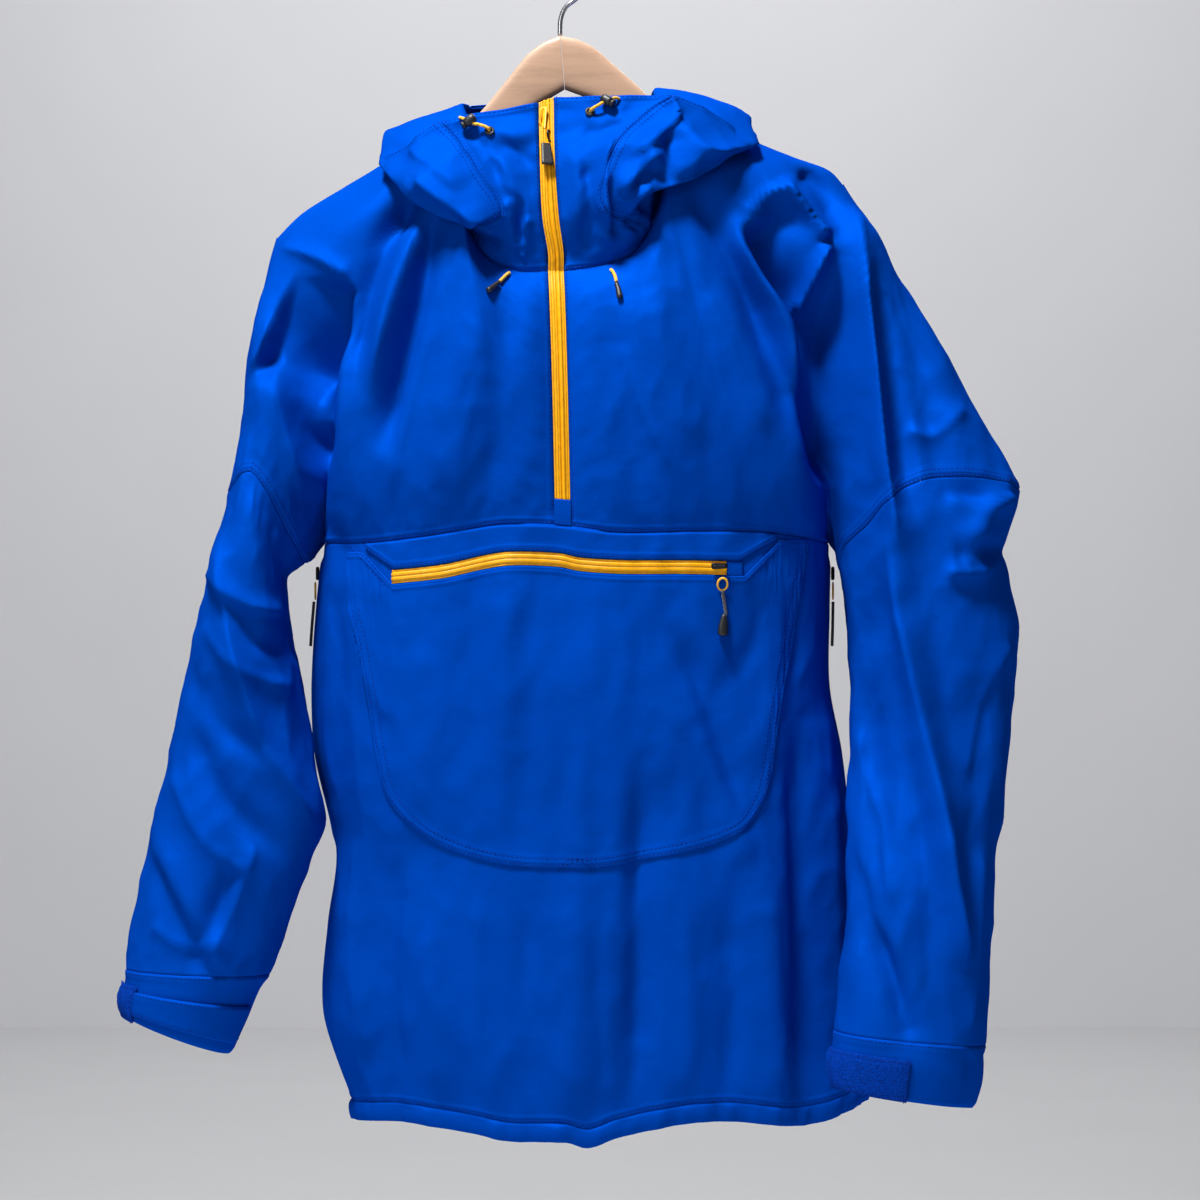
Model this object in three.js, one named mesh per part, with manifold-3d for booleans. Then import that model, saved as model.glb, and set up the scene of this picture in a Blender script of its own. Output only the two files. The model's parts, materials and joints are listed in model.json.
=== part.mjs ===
// A waterproof shell pullover with a hood, hanging on a wooden hanger.
// Millimetres, +Z up, the wearer's front faces -Y. The origin is the inner top of the hook.
// Names ending in _r are on the wearer's right (-X), those ending in _l on the left (+X).
import * as THREE from 'three';
import { mergeVertices } from 'three/addons/utils/BufferGeometryUtils.js';
import Module from 'manifold-3d';

const wasm = await Module();
wasm.setup();

// Driving dimensions
const CLOTH = 1.2;           // wall of the shell cloth
const SEAM_GAP = 0.3;        // space between two pieces at a seam
const LAID_ON = 0.4;         // space under a piece that lies on a panel
const PATCH = 1.1;           // wall of a piece that lies on a panel
const SIDE_COLUMNS = 12;     // columns of a half front
const BACK_COLUMNS = 24;
const YOKE_ROWS = 12;
const BODY_ROWS = 13;
const HOOD_ROWS = 10;
const HEM_BAND = 14;         // height of the hem casing
const HANGER_TILT = 0.087;   // the hanger leans to the wearer's right
const HANGER_TOP = -60;      // top of the wood under the hook
const WOOD_THICK = 11;
const HOOK_WIRE = 3.5;
const HOOK_INNER_RADIUS = 20;
const CUT_DEPTH = 160;       // depth of the cutting prisms for pieces on the front

const v3 = (x, y, z) => new THREE.Vector3(x, y, z);
const lerp = (a, b, t) => a + (b - a) * t;
const steps = (count) => Array.from({ length: count + 1 }, (_, i) => i / count);

// Colours, one for each finish
const finishes = {
  shell: { color: '#0a4ec0', roughness: 0.55, metalness: 0 },
  zip: { color: '#e8b21a', roughness: 0.5, metalness: 0 },
  black: { color: '#18191c', roughness: 0.5, metalness: 0 },
  cord: { color: '#3c4047', roughness: 0.8, metalness: 0 },
  metal: { color: '#9a9ca0', roughness: 0.3, metalness: 0.9 },
  fuzz: { color: '#0b2f86', roughness: 0.95, metalness: 0 },
  wood: { color: '#d8b890', roughness: 0.55, metalness: 0 },
};

const garment = new THREE.Group();

function add(name, geometry, finish) {
  const mesh = new THREE.Mesh(geometry, new THREE.MeshStandardMaterial(finishes[finish]));
  mesh.name = name;
  garment.add(mesh);
  mesh.updateMatrixWorld(true);
  return mesh;
}

// Smooth table lookup: rows of { at, ...columns }, in rising order of the key column
function lookup(rows, column, at) {
  const last = rows.length - 1;
  if (at <= rows[0].at) return rows[0][column];
  if (at >= rows[last].at) return rows[last][column];
  const i = rows.findIndex((row) => row.at >= at) - 1;
  const slope = (k) => {
    const a = rows[Math.max(0, k - 1)];
    const b = rows[Math.min(last, k + 1)];
    return (b[column] - a[column]) / (b.at - a.at);
  };
  const span = rows[i + 1].at - rows[i].at;
  const t = (at - rows[i].at) / span;
  const rise = t * t * (3 - 2 * t);
  return lerp(rows[i][column], rows[i + 1][column], rise)
    + span * (slope(i) * t * (1 - t) ** 2 - slope(i + 1) * t * t * (1 - t));
}

// A smooth curve through points given as [x, y, z], read from 0 to 1 along its length
function route(points) {
  const curve = new THREE.CatmullRomCurve3(points.map(([x, y, z]) => v3(x, y, z)), false, 'centripetal');
  return (t) => curve.getPointAt(Math.min(1, Math.max(0, t)));
}

// Folds: soft troughs (depth below zero) and ridges (above zero) along a path over a panel
function foldAt(folds, point) {
  let total = 0;
  for (const { path, width, depth } of folds) {
    let nearest = Infinity;
    let along = 0;
    for (let i = 1; i < path.length; i += 1) {
      const [x0, z0] = path[i - 1];
      const [x1, z1] = path[i];
      const length = (x1 - x0) ** 2 + (z1 - z0) ** 2;
      const raw = ((point.x - x0) * (x1 - x0) + (point.z - z0) * (z1 - z0)) / length;
      const t = Math.min(1, Math.max(0, raw));
      const distance = Math.hypot(point.x - lerp(x0, x1, t), point.z - lerp(z0, z1, t));
      if (distance < nearest) {
        nearest = distance;
        along = (i - 1 + t) / (path.length - 1);
      }
    }
    const fade = Math.min(1, 4 * Math.min(along, 1 - along) + 0.25);
    total += depth * fade * Math.exp(-((nearest / width) ** 2));
  }
  return total;
}

// Grids: a grid is a list of rows of points on the outside of a piece. Pieces that share a
// seam have the same points on it, and the wall grows inwards along the normal they share.
const CREASE = 0.5; // pieces that meet at a sharper crease than this keep their own normals
const sharedNormals = new Map();
const keyOf = (p) => [p.x, p.y, p.z].map((n) => Math.round(n * 20)).join(',');

function gridNormals(grid, closed) {
  const rows = grid.length;
  const columns = grid[0].length;
  const at = (i, j) => grid[i][closed ? (j + columns) % columns : Math.min(columns - 1, Math.max(0, j))];
  return grid.map((row, i) => row.map((_, j) => {
    const down = v3(0, 0, 0).subVectors(at(Math.min(rows - 1, i + 1), j), at(Math.max(0, i - 1), j));
    const across = v3(0, 0, 0).subVectors(at(i, j + 1), at(i, j - 1));
    return down.cross(across).normalize();
  }));
}

function folded(grid, folds, closed = false, pinned = true) {
  const normals = gridNormals(grid, closed);
  const last = grid.length - 1;
  return grid.map((row, i) => row.map((p, j) => {
    const edge = pinned && (i === 0 || i === last || (!closed && (j === 0 || j === row.length - 1)));
    return edge ? p : p.clone().addScaledVector(normals[i][j], foldAt(folds, p));
  }));
}

function share(grid, closed = false) {
  const normals = gridNormals(grid, closed);
  grid.forEach((row, i) => row.forEach((p, j) => {
    const key = keyOf(p);
    const sum = sharedNormals.get(key) ?? v3(0, 0, 0);
    sharedNormals.set(key, sum.add(normals[i][j]));
  }));
  return grid;
}

// A closed wall from a grid: an outer skin, an inner skin and rims round every free edge
function wall(grid, { closed = false, thick = CLOTH, lift = 0, inset = SEAM_GAP / 2 } = {}) {
  const rows = grid.length;
  const columns = grid[0].length;
  const local = gridNormals(grid, closed);
  const normal = (i, j) => {
    const shared = sharedNormals.get(keyOf(grid[i][j]))?.clone().normalize();
    return shared && shared.dot(local[i][j]) > CREASE ? shared : local[i][j];
  };
  const pull = (skin) => {
    const out = skin.map((row) => row.map((p) => p.clone()));
    const toward = (from, to) => to.clone().sub(from).setLength(inset);
    for (let j = 0; j < columns; j += 1) {
      out[0][j].add(toward(skin[0][j], skin[1][j]));
      out[rows - 1][j].add(toward(skin[rows - 1][j], skin[rows - 2][j]));
    }
    for (let i = 0; i < rows && !closed; i += 1) {
      out[i][0].add(toward(skin[i][0], skin[i][1]));
      out[i][columns - 1].add(toward(skin[i][columns - 1], skin[i][columns - 2]));
    }
    return out;
  };
  const outer = pull(grid.map((row, i) => row.map((p, j) => p.clone().addScaledVector(normal(i, j), lift))));
  const inner = pull(grid.map((row, i) => (
    row.map((p, j) => p.clone().addScaledVector(normal(i, j), lift - thick)))));
  const positions = [...outer.flat(), ...inner.flat()].flatMap((p) => [p.x, p.y, p.z]);
  const id = (side, i, j) => side * rows * columns + i * columns + (closed ? j % columns : j);
  const faces = [];
  const quad = (a, b, c, d) => faces.push(a, b, c, a, c, d);
  const spans = closed ? columns : columns - 1;
  for (let i = 0; i < rows - 1; i += 1) {
    for (let j = 0; j < spans; j += 1) {
      quad(id(0, i, j), id(0, i + 1, j), id(0, i + 1, j + 1), id(0, i, j + 1));
      quad(id(1, i, j), id(1, i, j + 1), id(1, i + 1, j + 1), id(1, i + 1, j));
    }
  }
  for (let j = 0; j < spans; j += 1) {
    quad(id(0, 0, j), id(0, 0, j + 1), id(1, 0, j + 1), id(1, 0, j));
    quad(id(0, rows - 1, j + 1), id(0, rows - 1, j), id(1, rows - 1, j), id(1, rows - 1, j + 1));
  }
  for (let i = 0; i < rows - 1 && !closed; i += 1) {
    const end = columns - 1;
    quad(id(0, i + 1, 0), id(0, i, 0), id(1, i, 0), id(1, i + 1, 0));
    quad(id(0, i, end), id(0, i + 1, end), id(1, i + 1, end), id(1, i, end));
  }
  const geometry = new THREE.BufferGeometry();
  geometry.setAttribute('position', new THREE.Float32BufferAttribute(positions, 3));
  geometry.setIndex(faces);
  return geometry;
}

// A round bar along points, or any section swept along them
function bar(points, radius, sides = 8, stepCount = 16) {
  const curve = new THREE.CatmullRomCurve3(points.map(([x, y, z]) => v3(x, y, z)), false, 'centripetal');
  const section = new THREE.Shape(Array.from({ length: sides }, (_, i) => {
    const angle = (i / sides) * 2 * Math.PI;
    return new THREE.Vector2(radius * Math.cos(angle), radius * Math.sin(angle));
  }));
  const geometry = new THREE.ExtrudeGeometry(section, { steps: stepCount, extrudePath: curve });
  return sealed(geometry);
}

function sealed(geometry) {
  geometry.deleteAttribute('normal');
  geometry.deleteAttribute('uv');
  return mergeVertices(geometry, 1e-4);
}

// A plate with bevelled edges from an outline in x and z, its thickness along y
function plate(outline, thick, bevel = 0.6) {
  const shape = new THREE.Shape(outline.map(([x, z]) => new THREE.Vector2(x, z)));
  const geometry = new THREE.ExtrudeGeometry(shape, {
    depth: thick - 2 * bevel, bevelEnabled: true, bevelSize: bevel, bevelThickness: bevel,
    bevelOffset: -bevel, bevelSegments: 1, curveSegments: 6,
  });
  geometry.translate(0, 0, bevel - thick / 2);
  geometry.rotateX(Math.PI / 2);
  return sealed(geometry);
}

// A rounded rectangle outline, centred on x = 0 and z = 0
function roundedOutline(width, height, radius, perCorner = 3) {
  const corners = [[1, 1, 0], [-1, 1, 0.5], [-1, -1, 1], [1, -1, 1.5]];
  return corners.flatMap(([sx, sz, start]) => steps(perCorner).map((t) => {
    const angle = (start + t / 2) * Math.PI;
    const x = sx * (width / 2 - radius) + radius * Math.cos(angle);
    return [x, sz * (height / 2 - radius) + radius * Math.sin(angle)];
  }));
}

// Torso. Each row is a level: how far the sides reach, and the depth of front and back
const torso = [
  { at: -870, right: -141, left: 226, front: 84, back: 70 },
  { at: -837, right: -151, left: 226, front: 88, back: 74 },
  { at: -801, right: -164, left: 222, front: 90, back: 76 },
  { at: -765, right: -173, left: 219, front: 91, back: 77 },
  { at: -706, right: -169, left: 215, front: 92, back: 78 },
  { at: -652, right: -163, left: 211, front: 92, back: 76 },
  { at: -583, right: -177, left: 204, front: 91, back: 72 },
  { at: -534, right: -179, left: 195, front: 89, back: 68 },
  { at: -480, right: -176, left: 195, front: 86, back: 64 },
  { at: -430, right: -171, left: 196, front: 84, back: 60 },
];
const ROUNDNESS = 0.8; // below 1 makes the front and back flatter than an ellipse
const CHEST = -430;    // level of the underarm points

// Height of the chest seam over x, and of the bottom edge at front and back
const chestSeam = [
  { at: -171, z: CHEST }, { at: -136, z: -430 }, { at: -92, z: -425 }, { at: -48, z: -418 },
  { at: -32, z: -417 }, { at: 0, z: -418 }, { at: 42, z: -423 }, { at: 104, z: -422 },
  { at: 150, z: -423 }, { at: 196, z: CHEST },
];
const hemFront = [
  { at: -147, z: -848 }, { at: -120, z: -845 }, { at: -90, z: -846 }, { at: -54, z: -852 },
  { at: -34, z: -856 }, { at: 6, z: -856 }, { at: 20, z: -860 }, { at: 42, z: -853 },
  { at: 92, z: -843 }, { at: 126, z: -842 }, { at: 160, z: -846 }, { at: 187, z: -846 },
  { at: 225, z: -834 },
];
const hemBack = [{ at: -147, z: -848 }, { at: -40, z: -858 }, { at: 110, z: -852 }, { at: 225, z: -834 }];

// A point of the torso: angle 0 is the wearer's right side, PI the left, and depth is the
// column of the table, with the front towards -Y
function torsoPoint(angle, z, column = 'front') {
  const right = lookup(torso, 'right', z);
  const left = lookup(torso, 'left', z);
  const side = column === 'front' ? -1 : 1;
  const depth = lookup(torso, column, z) * Math.max(0, Math.sin(angle)) ** ROUNDNESS;
  return v3((right + left) / 2 - ((left - right) / 2) * Math.cos(angle), side * depth, z);
}

function angleAt(x, z) {
  const right = lookup(torso, 'right', z);
  const left = lookup(torso, 'left', z);
  return Math.acos(Math.min(1, Math.max(-1, ((right + left) / 2 - x) / ((left - right) / 2))));
}

// Front zip: the edges of its slot, from the neck seam down to the chest seam
const ZIP_BOTTOM_X = [-2.6, 8.6];
const NECK_FRONT = { right: [-8, -62, -236], left: [3.4, -62, -236] };
const zipSlot = {
  right: route([NECK_FRONT.right, [-7, -70, -256], [-5, -80, -318],
    torsoPoint(angleAt(ZIP_BOTTOM_X[0], CHEST), -418).toArray()]),
  left: route([NECK_FRONT.left, [4.4, -70, -256], [6.4, -80, -318],
    torsoPoint(angleAt(ZIP_BOTTOM_X[1], CHEST), -419).toArray()]),
};

// Yoke edges. Shoulders run from the tip to the side of the neck, armholes from the tip
// to the underarm point, and the neck seam from the side of the neck to the zip or the back
const tips = { right: [-207, 0, -207], left: [207, 0, -168] };
const neckSides = { right: [-75, 0, -114], left: [76, 0, -106] };
const NECK_BACK = [0, 36, -106];
const underarm = {
  right: torsoPoint(0, CHEST).toArray(),
  left: torsoPoint(Math.PI, CHEST).toArray(),
};
const shoulders = {
  right: route([tips.right, [-188, 0, -189], [-159, 0, -171], [-131, 0, -154], [-103, 0, -134], neckSides.right]),
  left: route([tips.left, [197, 0, -158], [173, 0, -149], [150, 0, -140], [112, 0, -123], neckSides.left]),
};
const armholes = {
  right: {
    front: route([tips.right, [-184, -26, -215], [-160, -44, -233], [-157, -52, -262], [-162, -52, -304],
      [-167, -42, -362], [-171, -22, -408], underarm.right]),
    back: route([tips.right, [-187, 26, -216], [-168, 42, -250], [-165, 46, -310], [-169, 38, -370],
      [-171, 18, -412], underarm.right]),
  },
  left: {
    front: route([tips.left, [187, -26, -178], [176, -44, -206], [177, -52, -262], [184, -50, -330],
      [192, -36, -384], [196, -18, -416], underarm.left]),
    back: route([tips.left, [190, 26, -180], [179, 42, -214], [181, 46, -284], [188, 40, -350],
      [195, 18, -408], underarm.left]),
  },
};
const necks = {
  right: route([neckSides.right, [-76, -18, -150], [-68, -40, -196], [-52, -54, -226], [-30, -60, -236],
    NECK_FRONT.right]),
  left: route([neckSides.left, [79, -18, -146], [70, -40, -192], [52, -54, -224], [30, -60, -232],
    NECK_FRONT.left]),
  back: route([neckSides.left, [58, 24, -104], NECK_BACK, [-58, 26, -108], neckSides.right]),
};

// Largest folds. A path runs over x and z, depth below zero is a trough
const yokeFolds = {
  right: [
    { path: [[-104, -176], [-118, -198], [-131, -221], [-146, -276], [-150, -320]], width: 9, depth: -12 },
    { path: [[-88, -190], [-97, -227], [-110, -285], [-127, -352]], width: 10, depth: -10 },
    { path: [[-112, -200], [-122, -240], [-138, -330]], width: 9, depth: 7 },
    { path: [[-60, -270], [-76, -330], [-80, -395]], width: 14, depth: 5 },
    { path: [[-40, -250], [-38, -330], [-52, -400]], width: 13, depth: -5 },
  ],
  left: [
    { path: [[96, -172], [118, -215], [135, -250], [166, -325]], width: 13, depth: -13 },
    { path: [[136, -190], [162, -186], [182, -220], [178, -276]], width: 14, depth: -15 },
    { path: [[128, -205], [146, -240], [176, -330]], width: 9, depth: 7 },
    { path: [[60, -250], [78, -300], [96, -370]], width: 14, depth: 5 },
    { path: [[34, -262], [42, -330], [60, -400]], width: 13, depth: -5 },
  ],
  back: [
    { path: [[-120, -200], [-128, -290], [-120, -390]], width: 12, depth: -8 },
    { path: [[126, -190], [132, -280], [124, -390]], width: 12, depth: -8 },
    { path: [[-40, -330], [-44, -420]], width: 14, depth: 6 },
    { path: [[40, -320], [48, -420]], width: 14, depth: -5 },
  ],
};
const lowerFolds = {
  front: [
    { path: [[86, -498], [104, -533], [120, -577], [137, -630]], width: 9, depth: -7 },
    { path: [[62, -590], [60, -700], [58, -829]], width: 12, depth: -9 },
    { path: [[-64, -450], [-66, -520], [-60, -590]], width: 12, depth: -5 },
    { path: [[-34, -450], [-34, -520], [-36, -588]], width: 10, depth: 4 },
    { path: [[176, -560], [178, -680], [180, -836]], width: 12, depth: -10 },
    { path: [[140, -660], [146, -750], [150, -836]], width: 13, depth: 8 },
    { path: [[-120, -650], [-126, -740], [-118, -836]], width: 12, depth: -8 },
    { path: [[-90, -690], [-84, -760], [-86, -836]], width: 12, depth: 6 },
    { path: [[10, -680], [14, -760], [10, -836]], width: 14, depth: 6 },
  ],
  back: [
    { path: [[-90, -450], [-96, -600], [-86, -836]], width: 14, depth: -9 },
    { path: [[-30, -450], [-24, -640], [-34, -836]], width: 15, depth: 8 },
    { path: [[40, -470], [52, -640], [46, -836]], width: 14, depth: -9 },
    { path: [[120, -450], [128, -620], [140, -836]], width: 14, depth: 8 },
    { path: [[170, -520], [176, -680], [182, -836]], width: 11, depth: -8 },
    { path: [[-140, -560], [-130, -700], [-126, -836]], width: 11, depth: 7 },
  ],
};

// A patch between four edges, each a list of points; top and bottom run the same way
function patch(top, bottom, first, last, bulge) {
  const rows = first.length - 1;
  const columns = top.length - 1;
  return steps(rows).map((v, i) => steps(columns).map((a, j) => {
    const p = v3(0, 0, 0);
    p.addScaledVector(first[i], 1 - a).addScaledVector(last[i], a);
    p.addScaledVector(top[j], 1 - v).addScaledVector(bottom[j], v);
    p.addScaledVector(top[0], -(1 - a) * (1 - v)).addScaledVector(top[columns], -a * (1 - v));
    p.addScaledVector(bottom[0], -(1 - a) * v).addScaledVector(bottom[columns], -a * v);
    const drop = Math.sqrt(v);
    const swell = bulge.high * drop * (1 - drop) + bulge.middle * v * (1 - v);
    p.y += 4 * swell * Math.sin(Math.PI * a) ** 0.6;
    return p;
  }));
}

const samples = (edge, count) => steps(count).map((t) => edge(t));

// Angles of the lower front's columns, which continue the columns of the two yoke fronts
const slotAngles = ZIP_BOTTOM_X.map((x) => angleAt(x, CHEST));
const rightAngles = steps(SIDE_COLUMNS).map((t) => slotAngles[0] * t);
const leftAngles = steps(SIDE_COLUMNS).map((t) => lerp(slotAngles[1], Math.PI, t));
const frontAngles = [...rightAngles, ...leftAngles];
const backAngles = steps(BACK_COLUMNS).map((t) => Math.PI * (1 - t));

function seamPoint(angle) {
  const level = torsoPoint(angle, CHEST);
  return torsoPoint(angle, lookup(chestSeam, 'z', level.x));
}

const half = SIDE_COLUMNS / 2;
const BULGE_FRONT = { high: -17, middle: -3 };
const BULGE_BACK = { high: 14, middle: -46 };
const yokeRight = folded(patch(
  [...samples(shoulders.right, half), ...samples(necks.right, half).slice(1)],
  rightAngles.map(seamPoint),
  samples(armholes.right.front, YOKE_ROWS),
  samples(zipSlot.right, YOKE_ROWS),
  BULGE_FRONT,
), yokeFolds.right);
const yokeLeft = folded(patch(
  [...samples(necks.left, half).reverse(), ...samples(shoulders.left, half).reverse().slice(1)],
  leftAngles.map(seamPoint),
  samples(zipSlot.left, YOKE_ROWS),
  samples(armholes.left.front, YOKE_ROWS),
  BULGE_FRONT,
), yokeFolds.left);
const yokeBack = folded(patch(
  [...samples(shoulders.left, half), ...samples(necks.back, SIDE_COLUMNS).slice(1),
    ...samples(shoulders.right, half).reverse().slice(1)],
  backAngles.map((angle) => torsoPoint(angle, CHEST, 'back')),
  samples(armholes.left.back, YOKE_ROWS),
  samples(armholes.right.back, YOKE_ROWS),
  BULGE_BACK,
), yokeFolds.back);

// Lower front and back: rows from the chest seam down to the hem casing
function lowerPoint(angle, v, column, folds) {
  const front = column === 'front';
  const top = front ? seamPoint(angle).z : CHEST;
  const hem = front ? hemFront : hemBack;
  const z = lerp(top, lookup(hem, 'z', torsoPoint(angle, -845).x) + HEM_BAND, v);
  const p = torsoPoint(angle, z, column);
  const out = torsoPoint(angle, z, column).sub(v3(22, 0, z)).setLength(foldAt(folds, p));
  const hold = Math.min(1, v * 12) * Math.min(1, Math.sin(angle) * 5);
  return p.addScaledVector(out, Math.max(0, hold));
}
const lowerFront = steps(BODY_ROWS).map((v) => (
  frontAngles.map((angle) => lowerPoint(angle, v, 'front', lowerFolds.front))));
const lowerBack = steps(BODY_ROWS).map((v) => (
  backAngles.map((angle) => lowerPoint(angle, v, 'back', lowerFolds.back))));

// Hem casing: gathered a little on its drawcord
const HEM_ROWS = 2;
const hemWave = (x) => 1.1 * Math.sin(x / 5.3) + 0.7 * Math.sin(x / 2.9 + 1);
function hemGrid(above) {
  const edge = above[above.length - 1];
  return steps(HEM_ROWS).map((v) => edge.map((p, j) => {
    const held = v === 0 || j === 0 || j === edge.length - 1;
    const out = v3(p.x - 22, p.y, 0).setLength(held ? 0 : hemWave(p.x + p.y));
    return p.clone().add(out).add(v3(0, 0, -HEM_BAND * v));
  }));
}
const hemFrontGrid = hemGrid(lowerFront);
const hemBackGrid = hemGrid(lowerBack);

[yokeRight, yokeLeft, yokeBack, lowerFront, lowerBack, hemFrontGrid, hemBackGrid].forEach((grid) => share(grid));

// Sleeves. Each row is a ring: outer and inner edge in x and z, how far forward its middle
// lies, and its depth towards the front and the back of that middle
const sleeveRings = {
  right: [
    { outX: -217, outZ: -245, inX: -180, inZ: -440, mid: 0, front: 54, back: 50 },
    { outX: -226, outZ: -296, inX: -191, inZ: -447, mid: -2, front: 62, back: 56 },
    { outX: -231, outZ: -340, inX: -200, inZ: -455, mid: -4, front: 66, back: 60 },
    { outX: -239, outZ: -394, inX: -199, inZ: -471, mid: -8, front: 68, back: 62 },
    { outX: -248, outZ: -437, inX: -196, inZ: -495, mid: -12, front: 66, back: 62 },
    { outX: -261, outZ: -486, inX: -191, inZ: -520, mid: -17, front: 62, back: 60 },
    { outX: -273, outZ: -541, inX: -185, inZ: -547, mid: -23, front: 58, back: 57 },
    { outX: -285, outZ: -599, inX: -179, inZ: -588, mid: -30, front: 53, back: 52 },
    { outX: -296, outZ: -654, inX: -173, inZ: -629, mid: -38, front: 49, back: 48 },
    { outX: -305, outZ: -700, inX: -186, inZ: -676, mid: -42, front: 46, back: 45 },
    { outX: -310, outZ: -736, inX: -210, inZ: -740, mid: -44, front: 44, back: 43 },
  ],
  left: [
    { outX: 229, outZ: -204, inX: 203, inZ: -441, mid: 0, front: 54, back: 50 },
    { outX: 271, outZ: -272, inX: 207, inZ: -460, mid: -4, front: 62, back: 54 },
    { outX: 299, outZ: -330, inX: 210, inZ: -485, mid: -9, front: 64, back: 56 },
    { outX: 331, outZ: -391, inX: 211, inZ: -510, mid: -15, front: 60, back: 56 },
    { outX: 320, outZ: -436, inX: 211, inZ: -530, mid: -21, front: 56, back: 54 },
    { outX: 329, outZ: -484, inX: 210, inZ: -560, mid: -28, front: 53, back: 51 },
    { outX: 326, outZ: -536, inX: 209, inZ: -596, mid: -36, front: 50, back: 48 },
    { outX: 319, outZ: -600, inX: 208, inZ: -636, mid: -54, front: 48, back: 45 },
    { outX: 311, outZ: -666, inX: 205, inZ: -682, mid: -68, front: 46, back: 43 },
    { outX: 304, outZ: -732, inX: 201, inZ: -728, mid: -78, front: 43, back: 41 },
    { outX: 301, outZ: -786, inX: 196, inZ: -776, mid: -86, front: 40, back: 38 },
  ],
};
const cuffRings = {
  right: [
    { outX: -312, outZ: -746, inX: -219, inZ: -757, mid: -45, front: 42, back: 41 },
    { outX: -315, outZ: -757, inX: -227, inZ: -776, mid: -45, front: 40, back: 38 },
    { outX: -314, outZ: -768, inX: -236, inZ: -797, mid: -45, front: 39, back: 37 },
  ],
  left: [
    { outX: 300, outZ: -800, inX: 194, inZ: -788, mid: -88, front: 39, back: 37 },
    { outX: 298, outZ: -814, inX: 193, inZ: -800, mid: -88, front: 38, back: 35 },
    { outX: 294, outZ: -830, inX: 194, inZ: -815, mid: -88, front: 37, back: 34 },
  ],
};
// Where the elbow seam crosses, in rings counted from the armhole, at the outer edge, the
// middle of the front and back, and the inner edge
const elbowSeam = { outer: 4, middle: 2.6, inner: 1.6 };
const sleeveFolds = {
  right: [
    { path: [[-240, -418], [-238, -460], [-222, -545], [-172, -640]], width: 10, depth: 7 },
    { path: [[-196, -240], [-186, -300], [-178, -380]], width: 12, depth: -9 },
    { path: [[-214, -290], [-196, -360], [-168, -400]], width: 9, depth: 5 },
    { path: [[-262, -560], [-240, -610], [-196, -650]], width: 10, depth: -6 },
    { path: [[-286, -640], [-262, -690], [-236, -730]], width: 10, depth: 6 },
    { path: [[-226, -650], [-246, -700], [-262, -738]], width: 9, depth: -6 },
    { path: [[-238, -474], [-216, -500], [-196, -506]], width: 8, depth: -5 },
  ],
  left: [
    { path: [[214, -203], [220, -247], [232, -355], [242, -428], [253, -514], [262, -588], [275, -676], [283, -735]],
      width: 10, depth: 10 },
    { path: [[244, -215], [258, -300], [276, -380], [312, -410]], width: 13, depth: -8 },
    { path: [[214, -700], [231, -728], [244, -760], [250, -784]], width: 9, depth: -7 },
    { path: [[318, -392], [300, -420], [290, -446]], width: 9, depth: 7 },
    { path: [[322, -440], [296, -436], [280, -440]], width: 8, depth: -6 },
    { path: [[222, -520], [226, -600], [226, -680]], width: 12, depth: -6 },
    { path: [[300, -520], [296, -600], [290, -680]], width: 12, depth: -5 },
  ],
};

// One ring as points: the front from -X to +X, then the back the other way
function ringPoints(ring) {
  const [minusX, minusZ, plusX, plusZ] = ring.outX < ring.inX
    ? [ring.outX, ring.outZ, ring.inX, ring.inZ]
    : [ring.inX, ring.inZ, ring.outX, ring.outZ];
  return Array.from({ length: 2 * YOKE_ROWS }, (_, k) => {
    const angle = (Math.PI * k) / YOKE_ROWS;
    const across = (1 - Math.cos(angle)) / 2;
    const sine = Math.sin(angle);
    const depth = sine > 0 ? -ring.front * sine ** 0.9 : ring.back * (-sine) ** 0.9;
    return v3(lerp(minusX, plusX, across), ring.mid + depth, lerp(minusZ, plusZ, across));
  });
}

function armholeLoop(side) {
  const front = samples(armholes[side].front, YOKE_ROWS);
  const back = samples(armholes[side].back, YOKE_ROWS);
  if (side === 'right') return [...front, ...back.reverse().slice(1, -1)];
  return [...front.reverse(), ...back.slice(1, -1)];
}

// Reads the stack of rings at any height of the stack, smoothly, for one column
function stackPoint(stack, column, at) {
  const curve = new THREE.CatmullRomCurve3(stack.map((ring) => ring[column]), false, 'centripetal');
  return curve.getPoint(Math.min(1, Math.max(0, at / (stack.length - 1))));
}

function elbowAt(side, column) {
  const toInner = side === 'right' ? column : YOKE_ROWS - column;
  const across = (1 - Math.cos((Math.PI * toInner) / YOKE_ROWS)) / 2;
  const ends = lerp(elbowSeam.outer, elbowSeam.inner, across);
  return ends + (elbowSeam.middle - (elbowSeam.outer + elbowSeam.inner) / 2) * 4 * across * (1 - across);
}

function sleeveGrids(side, upperRows, lowerRows) {
  const stack = [armholeLoop(side), ...sleeveRings[side].map(ringPoints)];
  const last = stack.length - 1;
  const columns = stack[0].map((_, k) => k);
  const part = (rows, from, to) => steps(rows).map((t) => (
    columns.map((k) => stackPoint(stack, k, lerp(from(k), to(k), t)))));
  const seam = (k) => elbowAt(side, k);
  const upper = part(upperRows, () => 0, seam);
  const lower = part(lowerRows, seam, () => last);
  const shape = (grid) => grid.map((row, i) => row.map((p, k) => {
    const next = row[(k + 1) % row.length];
    const before = row[(k + row.length - 1) % row.length];
    const below = grid[Math.min(grid.length - 1, i + 1)][k];
    const above = grid[Math.max(0, i - 1)][k];
    const normal = below.clone().sub(above).cross(next.clone().sub(before)).normalize();
    const held = grid === upper && i === 0 ? 0 : 1;
    return p.clone().addScaledVector(normal, held * foldAt(sleeveFolds[side], p));
  }));
  return { upper: shape(upper), lower: shape(lower) };
}

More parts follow.
